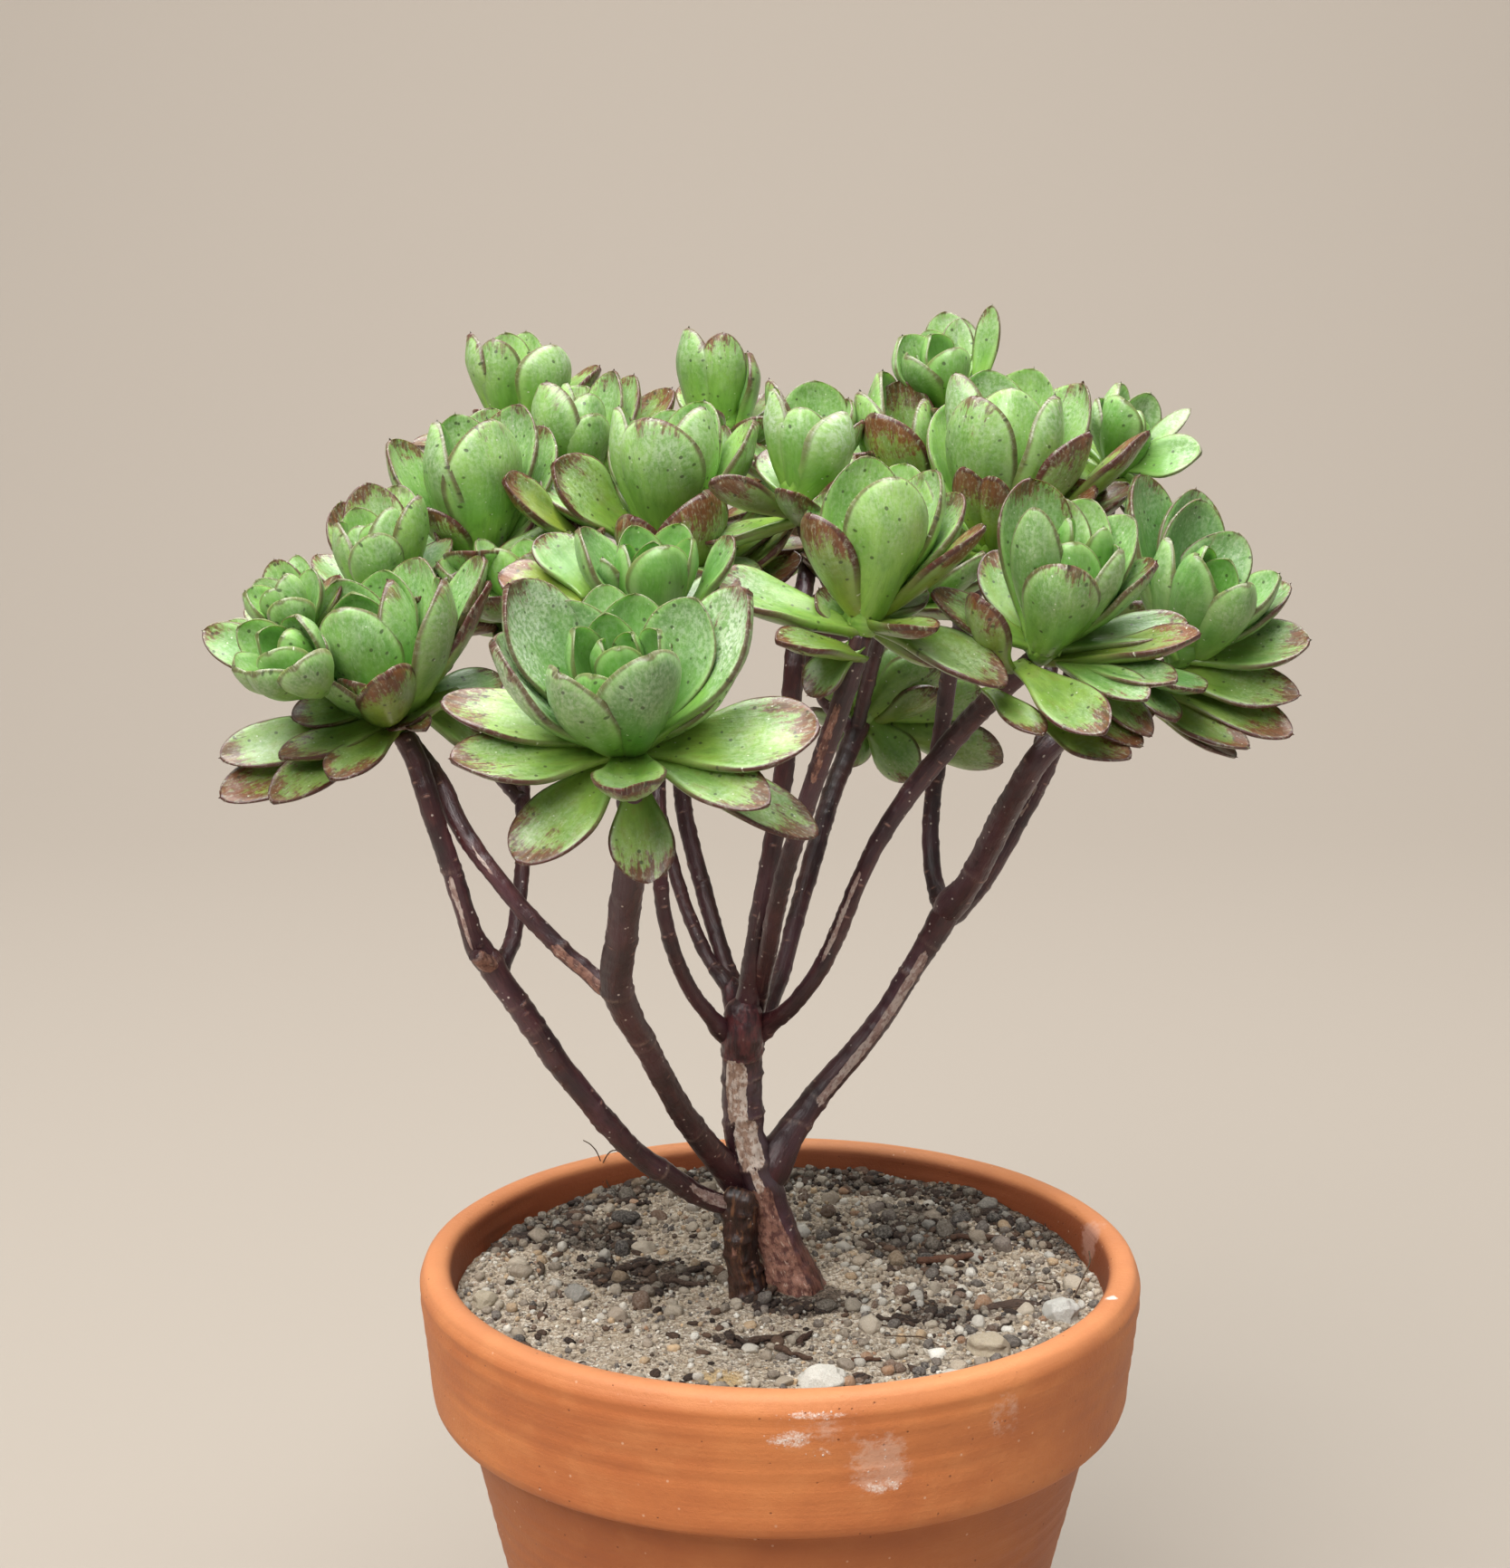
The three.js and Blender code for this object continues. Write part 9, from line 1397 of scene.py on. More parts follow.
def ico(level):
    """Unit icosphere: vertices and triangles."""
    g = (1 + 5 ** 0.5) / 2
    v = [(-1, g, 0), (1, g, 0), (-1, -g, 0), (1, -g, 0), (0, -1, g), (0, 1, g), (0, -1, -g), (0, 1, -g), (g, 0, -1), (g, 0, 1), (-g, 0, -1), (-g, 0, 1)]
    f = [(0, 11, 5), (0, 5, 1), (0, 1, 7), (0, 7, 10), (0, 10, 11), (1, 5, 9), (5, 11, 4), (11, 10, 2), (10, 7, 6), (7, 1, 8),
         (3, 9, 4), (3, 4, 2), (3, 2, 6), (3, 6, 8), (3, 8, 9), (4, 9, 5), (2, 4, 11), (6, 2, 10), (8, 6, 7), (9, 8, 1)]
    v = [unit(np.array(p, float)) for p in v]
    for _ in range(level):
        mid, nf = {}, []

        def m(a, b):
            key = (min(a, b), max(a, b))
            if key not in mid:
                mid[key] = len(v)
                v.append(unit(v[a] + v[b]))
            return mid[key]
        for a, b, c in f:
            ab, bc, ca = m(a, b), m(b, c), m(c, a)
            nf += [(a, ab, ca), (b, bc, ab), (c, ca, bc), (ab, bc, ca)]
        f = nf
    return np.array(v), np.array(f)


ICO = [ico(i) for i in range(5)]


def pebble(level, size, rng, rough=0.28, angular=0.0):
    """A small irregular stone about its own centre; size is three half-widths."""
    v, f = ICO[level]
    p = v.copy()
    off = rng.uniform(0, 100, 3)
    w = 1 + rough * 2 * (fbm(p * 1.1 + off, 2, 3) - 0.5) + rough * 0.7 * (noise(p * 2.7 + off, 5) - 0.5)
    if angular:
        for _ in range(5):
            d = unit(rng.normal(size=3))
            cut = rng.uniform(0.62, 0.9)
            h = p @ d
            w = np.where(h * w > cut, cut / np.maximum(h, 1e-3), w)
    p = p * w[:, None] * np.asarray(size)
    a, b, c = rng.uniform(0, 2 * np.pi, 3)
    ca, sa = math.cos(a), math.sin(a)
    tilt = rng.normal(0, 0.25)
    ct, st = math.cos(tilt), math.sin(tilt)
    R = np.array([[ca, -sa, 0], [sa, ca, 0], [0, 0, 1]]) @ np.array([[1, 0, 0], [0, ct, -st], [0, st, ct]])
    return p @ R.T, f


for (name, x, y, a, b, c, turn, colour, slot) in STONES:
    z0 = float(soil_z(np.array([x]), np.array([y]))[0]) + c * 0.25
    v, f = ICO[4]
    w = 1 + 0.12 * np.sin(v[:, 0] * 5 + x) * np.cos(v[:, 1] * 4 + y) + 0.08 * np.sin(v[:, 2] * 7 + x)
    w = w + 0.10 * (fbm(v * 2.6 + x, 3, 8) - 0.5) + 0.05 * (fbm(v * 9 + y, 2, 9) - 0.5)
    rng = np.random.default_rng(int(abs(x * 7 + y * 13)))
    for _ in range(11):
        d = unit(rng.normal(size=3))
        cut = rng.uniform(0.74, 0.94)
        h = v @ d
        w = np.where(h * w > cut, w * 0.08 + 0.92 * cut / np.maximum(h, 1e-3), w)
    p = v * w[:, None] * np.array([a, b, c])
    if slot == "bark_chip":
        p[:, 2] += 0.35 * (fbm(p * [0.5, 3.0, 1.0], 3, 12) - 0.5)
        p[:, 1] += 0.5 * (fbm(p * [0.35, 0, 0] + 4, 2, 14) - 0.5)
    ct, st = math.cos(turn), math.sin(turn)
    P0 = np.stack([x + p[:, 0] * ct - p[:, 1] * st, y + p[:, 0] * st + p[:, 1] * ct, z0 + p[:, 2]], 1)
    bb = Build()
    bb.add(P0, tris=f, P=p if slot == "bark_chip" else P0, tint=np.array(rgb(*colour)))
    bb.make("visual_" + name, [bark_mat if slot == "bark_chip" else stone_mat], name, slot)

# loose grit, sand and litter bedded in the surface
PALETTE = [
    ((206, 198, 184), 3.0), ((186, 172, 152), 4.0), ((166, 150, 130), 4.0), ((142, 128, 112), 3.0), ((120, 108, 98), 2.0),
    ((96, 88, 82), 1.6), ((70, 64, 62), 1.0), ((226, 220, 208), 1.2), ((194, 164, 128), 1.4), ((160, 122, 92), 0.7), ((108, 84, 68), 0.9),
]
PAL_C = np.array([rgb(*c)[:3] for c, w in PALETTE])
PAL_W = np.array([w for c, w in PALETTE])
PAL_W = PAL_W / PAL_W.sum()


def clear_of(x, y, rad):
    if np.hypot(x, y) > 58.4 - rad:
        return False
    if np.hypot((x - 6.0) / 1.25, y + 3.0) < 6.2 + rad * 0.3:
        return False
    for (_, sx, sy, a, b, c, *_r) in STONES:
        if np.hypot(x - sx, y - sy) < min(a, b) + rad * 0.5:
            return False
    return True


def scatter(count, lo, hi, level, seed, prefer, bright=1.0, angular=0.3, sink=0.15, taken=None, flatten=0.75):
    rng = np.random.default_rng(seed)
    b = Build()
    made = 0
    tries = 0
    while made < count and tries < count * 30:
        tries += 1
        r, t = 58 * math.sqrt(rng.uniform()), rng.uniform(0, 2 * math.pi)
        x, y = r * math.cos(t), r * math.sin(t)
        if rng.uniform() > prefer(x, y):
            continue
        size = lo * (hi / lo) ** (rng.uniform() ** 1.7)
        if not clear_of(x, y, size):
            continue
        if taken is not None:
            if any((x - a) ** 2 + (y - c) ** 2 < (0.8 * (size + d)) ** 2 for a, c, d in taken if abs(x - a) < 6):
                continue
            taken.append((x, y, size))
        s = size * rng.uniform(0.7, 1.15, 3) * [1, 1, flatten]
        p, f = pebble(level if level < 2 or size > 1.45 else 1, s, rng, 0.30, angular)
        z = float(soil_fine(np.array([x]), np.array([y]))[0]) + s[2] * (0.5 - sink)
        sandy = math.exp(-(((x + 30) / 15) ** 2 + ((y + 22) / 11) ** 2))
        c = PAL_C[rng.choice(len(PAL_C), p=PAL_W)] * [0.955, 0.965, 0.985] * rng.uniform(0.72, 1.16) * (bright + 0.10 + 0.50 * sandy)
        h = float(humus_mask(np.array([x]), np.array([y]))[0])
        c = c * (1 - 0.66 * h)
        b.add(p + [x, y, z], tris=f, P=p + [x, y, z], tint=np.append(np.clip(c, 0, 1), 1))
        made += 1
    return b


def coarse_zone(x, y):
    """More gravel to the right and the back; fine sand at the front left."""
    m = 0.30 + 0.55 * smooth(-6, 22, x + 0.25 * y) + 0.25 * smooth(0, 30, y)
    m += 0.35 * smooth(44, 56, math.hypot(x, y))
    m -= 0.25 * math.exp(-(((x + 26) / 20) ** 2 + ((y + 30) / 12) ** 2))
    return min(1.0, max(0.08, float(m)))


taken = [(6.0, -3.0, 6.0)]
scatter(215, 1.1, 2.3, 2, 71, coarse_zone, 1.0, 0.4, 0.12, taken, 0.8).make("gravel", [stone_mat], None, "grey_stone")
scatter(1080, 0.55, 1.22, 1, 72, coarse_zone, 1.0, 0.4, 0.08, taken, 0.85).make("coarse_grit", [grit_mat], None, "soil")
scatter(1200, 0.42, 0.8, 0, 74, coarse_zone, 1.0, 0.3, 0.08, taken, 0.85).make("fine_grit", [grit_mat], None, "soil")
scatter(3400, 0.20, 0.46, 0, 73, lambda x, y: 0.85, 1.08, 0.0, 0.1).make("sand_grains", [grit_mat], None, "soil")


def litter(seed):
    rng = np.random.default_rng(seed)
    b = Build()
    made = 0
    while made < 1000:
        r, t = 57 * math.sqrt(rng.uniform()), rng.uniform(0, 2 * math.pi)
        x, y = r * math.cos(t), r * math.sin(t)
        if rng.uniform() > 0.05 + float(humus_mask(np.array([x]), np.array([y]))[0]) or not clear_of(x, y, 0.6):
            continue
        big = rng.uniform() ** 3
        s = np.array([0.45 + 1.7 * big, 0.38 + 0.9 * big, 0.30 + 0.5 * big]) * rng.uniform(0.8, 1.3)
        p, f = pebble(1 if big > 0.12 else 0, s, rng, 0.5, 0.3)
        z = float(soil_fine(np.array([x]), np.array([y]))[0]) + 0.18
        c = np.array(rgb(*[(42, 34, 31), (56, 44, 38), (74, 58, 48), (34, 30, 30), (96, 74, 60), (48, 42, 40)][rng.integers(6)])[:3])
        b.add(p + [x, y, z], tris=f, P=p + [x, y, z], tint=np.append(c, 1))
        made += 1
    return b


litter(81).make("humus_crumbs", [bark_mat], None, "bark_chip")


def tube(b, line, step, sides, mat=0, wob=0.0, seed=0, **attrs):
    """A closed thin tube along (x, y, z, r) points."""
    p, r, arc = spline(line, step)
    t, x, y = frames(p)
    a = np.linspace(0, 2 * np.pi, sides, endpoint=False)
    rr = r[:, None] * (1 + wob * (noise(np.stack(np.broadcast_arrays(arc[:, None] * 0.9, np.cos(a)[None, :] + seed, np.sin(a)[None, :]), -1), seed) - 0.5) * 2)
    V = p[:, None, :] + rr[..., None] * (np.cos(a)[None, :, None] * x[:, None, :] + np.sin(a)[None, :, None] * y[:, None, :])
    V = V.reshape(-1, 3)
    n = len(p)
    V = np.vstack([V, p[0] - t[0] * r[0] * 0.6, p[-1] + t[-1] * r[-1] * 0.8])
    tris = np.vstack([fan(n * sides, 0, sides, True), fan(n * sides + 1, (n - 1) * sides, sides)])
    b.add(V, quads=ring_quads(n, sides), tris=tris, mat=mat, P=V, **attrs)


def twigs(seed):
    rng = np.random.default_rng(seed)
    b = Build()
    fixed = [
        # (x, y, heading, length, radius, colour): twiggy bits in front of the trunk and by the back right
        (-5.5, -25.0, 0.3, 9.0, 0.62, (66, 50, 42)), (-1.0, -28.5, -0.5, 8.0, 0.55, (84, 62, 50)), (-9.0, -22.0, -0.9, 6.5, 0.5, (56, 44, 38)),
        (3.0, -26.5, 0.9, 5.0, 0.6, (60, 40, 34)), (-2.0, -5.5, 0.1, 8.0, 0.7, (104, 82, 66)), (-4.5, -10.5, 0.7, 7.5, 0.7, (70, 54, 44)),
        (26.0, 12.0, 0.1, 12.0, 0.8, (96, 62, 46)), (33.0, 22.0, -0.15, 10.0, 0.7, (80, 56, 44)), (22.0, -10.0, 0.5, 6.0, 0.5, (74, 58, 48)),
        (17.0, -16.0, -0.4, 7.0, 0.5, (60, 48, 42)), (-30.0, 7.0, 0.4, 8.0, 0.7, (58, 46, 40)), (-20.0, 3.0, -0.3, 7.0, 0.6, (70, 56, 48)),
        (38.0, -22.0, 1.1, 5.0, 0.4, (70, 60, 50)), (12.0, -33.0, 0.2, 5.0, 0.4, (92, 62, 46)), (-44.0, 4.0, 1.4, 6.0, 0.5, (76, 64, 54)),
    ]
    extra = []
    while len(extra) < 46:
        x, y = rng.uniform(-54, 54, 2)
        if clear_of(x, y, 1.0) and rng.uniform() < 0.1 + humus_mask(np.array([x]), np.array([y]))[0]:
            extra.append((x, y, rng.uniform(0, 3.14), rng.uniform(2.0, 5.5), rng.uniform(0.14, 0.34), [(86, 68, 54), (60, 46, 38), (128, 104, 82), (48, 38, 34)][rng.integers(4)]))
    for i, (x, y, hd, L, r, c) in enumerate(fixed + extra):
        n = 6
        pts = []
        bend = rng.normal(0, 0.5)
        px, py, h = x, y, hd
        for j in range(n):
            z = float(soil_fine(np.array([px]), np.array([py]))[0]) + r * 0.75 + 0.5 * abs(math.sin(j * 1.3 + i)) * r
            pts.append((px, py, z, r * (1.0 - 0.35 * j / (n - 1)) * rng.uniform(0.8, 1.15)))
            px += L / (n - 1) * math.cos(h)
            py += L / (n - 1) * math.sin(h)
            h += bend / n + rng.normal(0, 0.12)
        tube(b, pts, 0.55, 8, wob=0.35, seed=i, tint=np.array(rgb(*c)))
    # hair-thin roots: one curls over the back left lip, a few lie on the soil
    roots = [
        [(-33.0, 47.0, 113.0), (-34.6, 48.4, 117.0), (-35.8, 49.2, 120.8), (-37.2, 48.6, 123.2), (-38.8, 49.2, 124.0)],
        [(-35.2, 48.8, 119.0), (-33.6, 49.6, 121.4), (-31.8, 49.2, 122.0)],
        [(52.5, -8.0, 113.4), (54.6, -4.0, 115.6), (56.4, 0.0, 117.2), (56.8, 4.0, 118.0)],
        [(18.0, -24.0, 113.3), (21.0, -26.5, 114.2), (24.5, -26.0, 113.8), (27.0, -28.0, 113.2)],
        [(43.0, -8.0, 113.8), (46.0, -4.0, 114.9), (49.5, -2.0, 114.0)],
    ]
    for i, pts in enumerate(roots):
        tube(b, [(*p, 0.13) for p in pts], 0.6, 6, wob=0.3, seed=90 + i, tint=np.array(rgb(92, 72, 54)))
    return b


twigs(91).make("twigs_and_roots", [bark_mat], None, "bark_chip")

# ---------------------------------------------------------------- stems

LINES = {n: np.array(l, float) for n, p, l in STEMS}
PARENT = {n: p for n, p, l in STEMS}


def gap_to(line, p):
    """Distance from p to a parent's surface."""
    q, r, _ = spline(line, 1.5)
    d = np.linalg.norm(q - p, axis=1) - r
    return d.min()



# bark worn to tan, partly a painted highlight on the side facing the camera: from, to (mm along the stem), facing,
# strength, half-width in degrees, redness
WORN_AND_HIGHLIGHT = {
    'trunk': [(37.4, 49.3, (-0.29, -0.96, 0), 1.0, 30, 0), (28.7, 36.9, (0.14, -0.99, 0), 1.05, 36, 0), (23.4, 28.7, (0.03, -1, 0), 0.95, 11, 0), (1.5, 24.1, (-0.42, -0.9, 0), 0.9, 56, 1)],
    'branch_left_low': [(0.0, 17.9, (0.1, -1, 0.6), 1.15, 50, 0), (63.7, 72.6, (0.3, -1, 0.6), 0.8, 22, 0)],
    'branch_right_low': [(20.0, 54.3, (0.15, -1, -0.15), 1.0, 27, 0)],
    'branch_left_low_outer': [(1.1, 15.6, (-0.3, -1, 0), 0.95, 20, 0)],
    'branch_front': [(75.5, 93.0, (0.5, -1, 0), 0.5, 30, 1)],
    'branch_front_left': [(0.4, 12.7, (0, -1, -0.3), 0.95, 44, 1), (20.0, 35.3, (-0.3, -1, 0.5), 0.8, 14, 0)],
    'branch_right_outer': [(9.9, 30.3, (0.5, -1, 0.1), 0.7, 20, 1)],
    'stem_right_curve': [(24.7, 42.3, (-0.4, -1, 0.2), 0.75, 18, 0)],
    'stem_centre': [(6.1, 27.5, (-0.1, -1, 0), 0.8, 13, 0)],
    'stem_centre_right': [(60.6, 76.4, (-0.3, -1, 0), 0.6, 30, 1)],
    'branch_right_rear': [(13.3, 28.4, (-0.3, -1, 0), 0.7, 20, 0)],
}
# collars: mm along the stem
RINGS = {
    'trunk': [49.6, 45.2, 37.3, 28.7],
    'branch_left_low': [24.2, 63.3, 68.5, 76.0],
    'branch_front': [26.4, 58.0, 60.0, 72.5],
    'branch_right_low': [15.0, 21.1, 49.6, 56.6],
    'branch_front_left': [11.9],
    'branch_right_outer': [9.9],
    'stem_right_curve': [30.3],
    'branch_left_low_outer': [16.4],
}


def rooted(line, parent):
    """Carry a stem down inside its parent, so that it grows out of it; gives the line."""
    q, qr, qa = spline(parent, 0.8)
    p0, r0 = line[0, :3], line[0, 3]
    i = int(np.argmin(np.linalg.norm(q - p0, axis=1)))
    back = 1.0 * qr[i] + 1.6 * r0
    j = int(np.argmin(np.abs(qa - max(qa[i] - back, 0.0))))
    a = np.append(q[j], min(0.50 * r0, 0.55 * qr[j]))
    m = np.append(q[(i + j) // 2] * 0.45 + p0 * 0.55 - (line[1, :3] - p0) * 0.12, min(0.86 * r0, 0.85 * qr[i]))
    return np.vstack([a, m, line])


def domed(line):
    """Close the free end of a stem with a rounded knuckle."""
    t = unit(line[-1, :3] - line[-2, :3])
    r = line[-1, 3]
    return np.vstack([line, np.append(line[-1, :3] + t * 0.55 * r, 0.86 * r), np.append(line[-1, :3] + t * 0.95 * r, 0.45 * r)])


def stem_piece(b, name, line, sides, step, mat=0, seed=0, start_flare=0.0, worn_highlight=(), rings=(), rough=1.0, embed=0.0, ridge=1.0, zero=0.0, fold=0.0, fold_to=99.0):
    """Sweep a bark surface along a centre line; worn patches, partly painted highlight, and rings are counted from arc
    length zero.
    """
    p, r, arc = spline(line, step)
    n = len(p)
    t, x, y = frames(p)
    a = np.linspace(0, 2 * np.pi, sides, endpoint=False)
    ca, sa = np.cos(a)[None, :], np.sin(a)[None, :]
    A = arc[:, None] + 0 * a[None, :]
    rr = r[:, None] + 0 * a[None, :]
    if start_flare:
        w0 = float(np.interp(embed, arc, r))
        rr = rr * (1 + 0.16 * np.exp(-((A - embed) / (1.0 * w0 + 0.8)) ** 2) * start_flare)
    if fold:
        rr = rr * (1 + fold * (0.55 * np.cos(2 * a[None, :] + seed + 0.10 * A) + 0.45 * np.cos(3 * a[None, :] + 1.3 * seed - 0.16 * A)) * smooth(fold_to + 6, fold_to - 2, A))
    q3 = np.stack([rr * ca * 0.55, rr * sa * 0.55, A * 0.30], -1)
    rr = rr * 0.965 * (1 + rough * 0.16 * (fbm(q3 + seed * 3.7, 3, seed + 5) - 0.5))
    # shallow swellings round the leaf scars
    q4 = np.stack([rr * ca * 0.45, rr * sa * 0.45, A * 0.95], -1)
    rr = rr + rough * 0.16 * (smooth(0.45, 0.8, fbm(q4 + seed, 2, seed + 9)) - 0.35)
    seam = np.zeros_like(rr)
    rng = np.random.default_rng(1000 + seed)
    rings = [m + zero for m in rings]
    marks = list(rings)
    g = 3.0 + rng.uniform(0, 3)
    while g < arc[-1] - 2:
        marks.append(g)
        g += rng.uniform(3.2, 7.5)
    for m in marks:
        tilt = rng.normal(0, 0.35)
        ph = rng.uniform(0, 6.28)
        part = smooth(-0.5, 0.6, np.cos(a - rng.uniform(0, 6.28)) + (1.2 if m in rings else 0.0))[None, :]
        d = (A - m - tilt * np.cos(a - ph)[None, :] * r[:, None] * 0.5)
        bump = np.exp(-(d / 0.42) ** 2) * part
        rr = rr + 0.13 * ridge * bump * (1.6 if m in rings else 0.45)
        seam = np.maximum(seam, np.exp(-((d + 0.1) / 0.22) ** 2) * part * (0.80 if m in rings else 0.0))
    nrm = ca[..., None] * x[:, None, :] + sa[..., None] * y[:, None, :]
    V = p[:, None, :] + rr[..., None] * nrm
    wear_highlight = np.zeros_like(rr)
    red = np.zeros_like(rr)
    for lo, hi, facing, k, half, kind in worn_highlight:
        f = unit(np.array(facing, float))
        along = A - zero
        w = smooth(lo - 2.2, lo + 1.6, along) * smooth(hi + 2.4, hi - 1.6, along)
        angle = np.degrees(np.arccos(np.clip(nrm @ f, -1, 1)))
        w = w * smooth(half + 15, half - 12, angle) * k
        red = np.where(w > wear_highlight, kind, red)
        wear_highlight = np.maximum(wear_highlight, w)
    rr_flat = rr.ravel()
    Pm = np.stack([(rr * ca), (rr * sa), A + seed * 31.0], -1).reshape(-1, 3)
    V = V.reshape(-1, 3)
    sA = np.stack([(A / arc[-1]).ravel(), wear_highlight.ravel(), red.ravel(), seam.ravel()], 1)
    V = np.vstack([V, p[0] - t[0] * r[0] * 0.3, p[-1] + t[-1] * r[-1] * 0.3])
    Pm = np.vstack([Pm, [0, 0, 0], [0, 0, arc[-1]]])
    sA = np.vstack([sA, [0, 0, 0, 0], [1, 0, 0, 0]])
    tris = np.vstack([fan(n * sides, 0, sides, True), fan(n * sides + 1, (n - 1) * sides, sides)])
    b.add(V, quads=ring_quads(n, sides), tris=tris, mat=mat, stemA=sA, stemP=Pm)


for i, (name, parent, line) in enumerate(STEMS):
    L = LINES[name]
    b = Build()
    if name == "trunk":
        # stout leaning foot, thickened and folded where it meets the soil
        stem_piece(b, name, domed(L), 64, 0.46, seed=i + 1, worn_highlight=WORN_AND_HIGHLIGHT[name], rings=RINGS[name], rough=1.3, ridge=1.3, fold=0.09, fold_to=26.0)
        stem_piece(b, name, domed(rooted(np.array(HUB, float), L)), 24, 0.7, seed=50, rough=1.0)
        old = np.array(STUMP, float)
        old[:, 0] += [0.4, 0.7, 0.9, 0.9, 0.6, 0.4]
        old[:, 3] *= [1.42, 1.38, 1.36, 1.34, 1.28, 1.10]
        stem_piece(b, name, old, 44, 0.46, mat=1, seed=51, rough=3.2, worn_highlight=[(8, 12.5, (-0.35, -1, 0.2), 0.75, 16, 1)], fold=0.22)
    else:
        up = np.vstack([LINES["trunk"], HUB[1:]]) if name.startswith("stem_fork") else LINES[parent]
        L = rooted(L, up)
        p, r, arc = spline(L, 0.5)
        q, qr, _ = spline(up, 1.0)
        d = np.array([(np.linalg.norm(q - c, axis=1) - qr).min() for c in p])
        inside = np.flatnonzero(d <= 0)
        out = arc[inside[-1]] if len(inside) else 0.0
        if name in PARENT.values():
            L = domed(L)
        zero = arc[int(np.argmin(np.linalg.norm(p - LINES[name][0, :3], axis=1)))]
        stem_piece(b, name, L, 24, 0.6, seed=i + 1, start_flare=1.0, embed=out, worn_highlight=WORN_AND_HIGHLIGHT.get(name, ()), rings=RINGS.get(name, ()), rough=1.0, zero=zero)
        if name == "branch_left_low":
            stem_piece(b, name, np.array(KNOB, float), 24, 0.5, seed=52, rough=2.2, worn_highlight=[(0, 12, (0, -1, 0.2), 0.9, 90, 1)])
    b.make("visual_" + name, [trunk_mat, stump_mat] if name == "trunk" else [stem_mat], name, "trunk_bark" if name == "trunk" else "stem_bark")

# ---------------------------------------------------------------- leaves


def leaf_width(s, pet, sm):
    lo = np.clip(s / sm, 0, 1)
    rise = pet + (1 - pet) * (lo * lo * (3 - 2 * lo)) ** (1.0 + 0.6 * (1 - pet))
    q = np.clip((s - sm) / (1 - sm), 0, 1)
    fall = (1 - q ** 2.15) ** 0.60
    return np.where(s < sm, rise, fall)


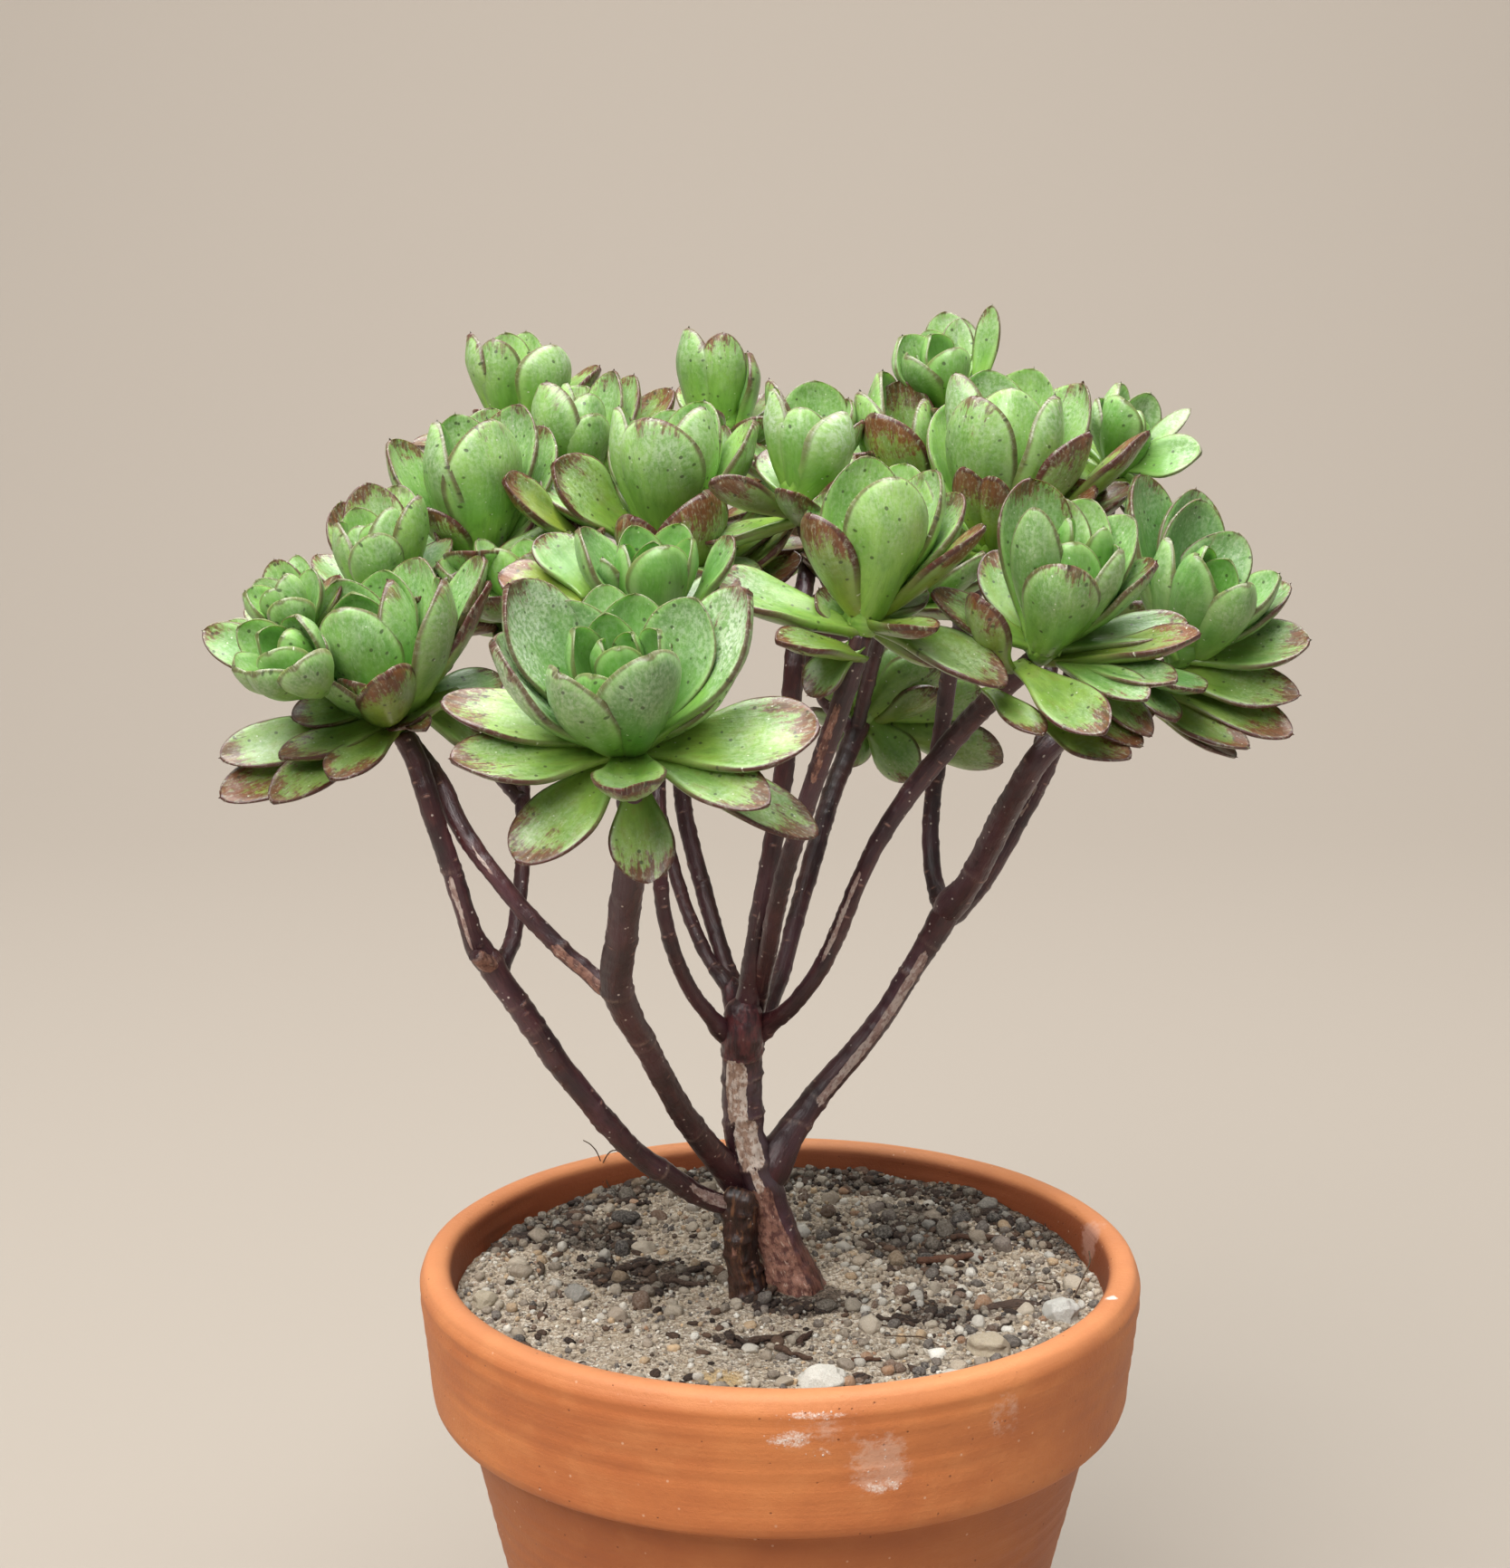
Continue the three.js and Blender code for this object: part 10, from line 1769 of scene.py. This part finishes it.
def leaf(b, crown, axis, row, rng, stations, around, wax_sheen, tone_shade, plump=1.0):
    B, T = np.array(row[:3], float), np.array(row[3:6], float)
    W, bend, cup, pet, age = row[6:11]
    W = W * 0.94
    roll = row[11] if len(row) > 11 else 0.0
    L = np.linalg.norm(T - B)
    D = (T - B) / L
    N = unit(axis - D * (axis @ D))
    N = N * math.cos(roll) + np.cross(D, N) * math.sin(roll)
    S = np.cross(D, N)
    tw = rng.normal(0, 0.07)
    u = np.linspace(0, 1, stations)
    s = 1 - (1 - u) ** 1.5
    s = -0.03 + 1.03 * s
    if age < 0.45:
        bend = bend * 1.12
    if abs(bend) < 0.02:
        bend = 0.02
    R = L / (2 * math.sin(bend / 2))
    a = -bend / 2 + bend * s
    x = R * (np.sin(a) + math.sin(bend / 2))
    z = R * (math.cos(bend / 2) - np.cos(a))
    sm = 0.64 + rng.uniform(-0.03, 0.03)
    w = leaf_width(np.clip(s, 0, 1), pet, sm)
    side = rng.normal(0, 0.018) * L
    c = B + D * x[:, None] + N * z[:, None] + S * (side * np.sin(np.pi * np.clip(s, 0, 1)) ** 1.2)[:, None]
    Nn = N * np.cos(a)[:, None] - D * np.sin(a)[:, None]
    ang = tw * 2 * s
    St = S * np.cos(ang)[:, None] + Nn * np.sin(ang)[:, None]
    Nt = Nn * np.cos(ang)[:, None] - S * np.sin(ang)[:, None]
    thick = min(3.6, 0.17 * W + 0.85) * plump
    tk = thick * (0.80 + 0.20 * np.sin(np.pi * np.clip(s, 0, 0.9) / 0.9)) * (1 - 0.55 * smooth(0.72, 1.0, s))
    tk = np.minimum(tk, W * w * 0.85 + 0.28)
    th = np.linspace(0, 2 * np.pi, around, endpoint=False)
    V, H = np.cos(th), np.sin(th)
    asym = rng.normal(0, 0.05)
    hw = W / 2 * w[:, None] * (1 + asym * np.sign(V)[None, :] * np.sin(np.pi * np.clip(s, 0, 1))[:, None])
    across = hw * V[None, :]
    up = np.where(H > 0, 0.36 * np.abs(H) ** 0.85, -0.64 * np.abs(H) ** 0.92)[None, :] * tk[:, None]
    lift = (cup * 1.18) * W * w[:, None] * (V[None, :] ** 2 - 0.35)
    keel = -0.035 * W * w[:, None] * np.exp(-(V[None, :] / 0.16) ** 2) * (H < 0)[None, :] * smooth(0.35, 0.95, s)[:, None]
    groove = -0.030 * W * w[:, None] * np.exp(-(V[None, :] / 0.22) ** 2) * (H > 0)[None, :] * smooth(0.05, 0.4, s)[:, None]
    wav = 0.022 * W * rng.uniform(0.3, 1.3) * np.sin(2 * np.pi * (s * rng.uniform(1.0, 1.9) + rng.uniform()))[:, None] * np.sign(V)[None, :] * V[None, :] ** 2
    # small dents and swellings of the flesh
    off = rng.uniform(0, 60)
    q = np.stack(np.broadcast_arrays(s[:, None] * L * 0.16 + off, across * 0.16, 0 * across + off), -1)
    dent = 0.55 * (fbm(q, 2, 21) - 0.5) * smooth(0.1, 0.35, s)[:, None] * smooth(1.0, 0.85, s)[:, None]
    P = c[:, None, :] + St[:, None, :] * across[..., None] + Nt[:, None, :] * (up + lift + keel + groove + wav + dent)[..., None]
    P = P.reshape(-1, 3)
    # small pointed tip
    tip = c[-1] + unit(D * math.cos(bend / 2) + N * math.sin(bend / 2)) * (0.18 + 0.016 * W) + Nt[-1] * (lift[-1].mean())
    seed = rng.uniform()
    ed = np.minimum((1 - np.abs(V))[None, :] * hw, ((1 - s) * L * 0.8)[:, None])
    ed = np.maximum(ed, 0)
    up01 = (H > 0).astype(float)[None, :] + 0 * s[:, None]
    A4 = np.stack([np.clip(s, 0, 1)[:, None] + 0 * V[None, :], 0.5 + 0.5 * V[None, :] + 0 * s[:, None], up01, age + 0 * up01], -1).reshape(-1, 4)
    B4 = np.stack([ed / 10.0, seed + 0 * ed, wax_sheen + 0 * ed, tone_shade + 0 * ed], -1).reshape(-1, 4)
    P3 = np.stack([(s * L)[:, None] + 0 * across, across, seed * 97.0 + 0 * across], -1).reshape(-1, 3)
    P = np.vstack([P, tip, c[0] - D * 0.4])
    A4 = np.vstack([A4, [1, 0.5, 0.5, age], [0, 0.5, 0.5, age]])
    B4 = np.vstack([B4, [0, seed, wax_sheen, tone_shade], [0.2, seed, wax_sheen, tone_shade]])
    P3 = np.vstack([P3, [L, 0, seed * 97.0], [0, 0, seed * 97.0]])
    m = stations * around
    tris = np.vstack([fan(m + 1, 0, around, True), fan(m, m - around, around)])
    b.add(P, quads=ring_quads(stations, around), tris=tris, leafA=A4, leafB=B4, leafP=P3, stemA=np.zeros(4), stemP=np.zeros(3))


def core(b, crown, axis, rad, length, tone_shade):
    v, f = ICO[2]
    ax = unit(axis)
    x = unit(np.cross(ax, [0.3, 0.9, 0.1]))
    y = np.cross(ax, x)
    c = crown + ax * rad * 0.9
    P = c + v[:, :1] * x * rad + v[:, 1:2] * y * rad + v[:, 2:3] * ax * length
    n = len(P)
    s = 0.25 + 0.3 * (v[:, 2] * 0.5 + 0.5)
    b.add(P, tris=f, leafA=np.stack([s, 0 * s + 0.5, 0 * s, 0 * s + 0.3], 1), leafB=np.stack([0 * s + 0.5, 0 * s, 0 * s, 0 * s + tone_shade], 1), leafP=P, stemA=np.zeros(4), stemP=np.zeros(3))


for ri, (name, data) in enumerate(ROSETTES.items()):
    rng = np.random.default_rng(500 + ri)
    C, A = np.array(data["C"], float), unit(data["A"])
    rows = data["L"]
    b = Build()
    reach = max(math.dist(r[:3], r[3:6]) for r in rows)
    tone_shade = TONE_SHADE.get(name, 0.25)
    fine = name in CLOSE
    far = name.startswith(("rosette_rear_", "rosette_inner_"))
    for row in rows:
        age = row[10]
        leaf_sheen = WAX_SHEEN.get(name, 0.34) * rng.uniform(0.55, 1.25) * (1 - 0.35 * abs(age - 0.45)) * (0.45 if age < 0.2 else 1.0)
        # painted sheen: the middle-aged front leaves get the full silver film
        if name == "rosette_front" and 0.42 < age < 0.66:
            leaf_sheen = 1.0
        elif name == "rosette_front" and age >= 0.66:
            leaf_sheen = 0.46
        # painted shade: leaves of age 0.6 and over, low in the rosette, take a high tone that darkens them, less in the
        # open front rosette
        leaf_tone_shade = tone_shade if age < 0.6 else 0.42 if name == "rosette_front" else 0.75
        leaf(b, C, A, row, rng, 23 if fine else 16 if far else 18, 18 if fine else 12 if far else 14, leaf_sheen, np.clip(leaf_tone_shade + rng.normal(0, 0.12), 0, 1))
    # the tightly folded heart of the rosette
    n = 6
    for i in range(n):
        ph = i * 2.39996 + ri
        x = unit(np.cross(A, [0.3, 0.9, 0.1]))
        y = np.cross(A, x)
        out = x * math.cos(ph) + y * math.sin(ph)
        h = reach * (0.40 - 0.035 * i)
        spread = reach * (0.085 - 0.011 * i)
        Bp = C + out * spread * 0.5 + A * 1.0
        Tp = C + out * spread * 0.9 + A * h
        leaf(b, C, A, [*Bp, *(Tp - A * 0.0), h * 0.50, 0.75, 0.26, 0.6, 0.05], rng, 11, 10, 0.15, tone_shade)
    cr = 2.8 if reach < 19 else 3.6
    core(b, C, A, cr, cr * 1.75, tone_shade)
    mats = [leaf_mat]
    if name in STALKS:
        stem_piece(b, name, STALKS[name], 18, 0.7, mat=1, seed=70 + ri, rough=1.2)
        mats.append(stem_mat)
    b.make("visual_" + name, mats, name, "leaf")

# ---------------------------------------------------------------- stage


def sweep():
    """A pale floor that curves up into a backdrop behind the plant."""
    k = Look("studio_paper")
    k.set("Base Color", STAGE_COLOUR)
    k.set("Roughness", 0.95)
    k.set("Specular IOR Level", 0.1)
    pts = [(-3.0, 0.0), (0.9, 0.0)]
    for i in range(1, 25):
        a = i / 24 * math.pi / 2
        pts.append((0.9 + 1.1 * math.sin(a), 1.1 - 1.1 * math.cos(a)))
    pts.append((2.0, 3.6))
    xs = (-4.0, 4.0)
    v = [(x, y, z) for y, z in pts for x in xs]
    f = [(2 * i, 2 * i + 1, 2 * i + 3, 2 * i + 2) for i in range(len(pts) - 1)]
    me = bpy.data.meshes.new("studio_sweep")
    me.from_pydata(v, [], f)
    me.polygons.foreach_set("use_smooth", [True] * len(f))
    me.materials.append(k.m)
    o = bpy.data.objects.new("studio_sweep", me)
    bpy.context.scene.collection.objects.link(o)


STAGE_COLOUR = rgb(151, 142, 132)
sweep()


def area(name, at, look, size, power, colour=(1, 1, 1), size_y=None):
    d = bpy.data.lights.new(name, "AREA")
    d.shape = "RECTANGLE"
    d.size = size
    d.size_y = size_y or size
    d.energy = power
    d.color = colour
    o = bpy.data.objects.new(name, d)
    o.location = at
    o.rotation_euler = (Vector(look) - Vector(at)).to_track_quat("-Z", "Y").to_euler()
    bpy.context.scene.collection.objects.link(o)


area("key", (-0.38, -0.82, 1.15), (0, 0, 0.2), 0.8, 20.0, (1.0, 0.985, 0.96))
area("top", (-0.05, -0.05, 1.35), (0, 0, 0.2), 1.1, 18.2, (0.93, 0.98, 1.0))
area("fill", (1.1, -0.7, 0.55), (0, 0, 0.2), 1.0, 1.0, (1.0, 0.97, 0.94))
area("backdrop_light", (0.0, 0.7, 2.6), (0, 2.0, 1.1), 2.4, 98.0, (1.0, 0.985, 0.965), 1.2)
world = bpy.data.worlds.new("studio_air")
bpy.context.scene.world = world
world.use_nodes = True
bg = world.node_tree.nodes["Background"]
bg.inputs["Color"].default_value = (0.93, 0.96, 1.0, 1)
bg.inputs["Strength"].default_value = 0.18

bpy.context.scene.view_settings.view_transform = "Standard"
bpy.context.scene.view_settings.look = "None"
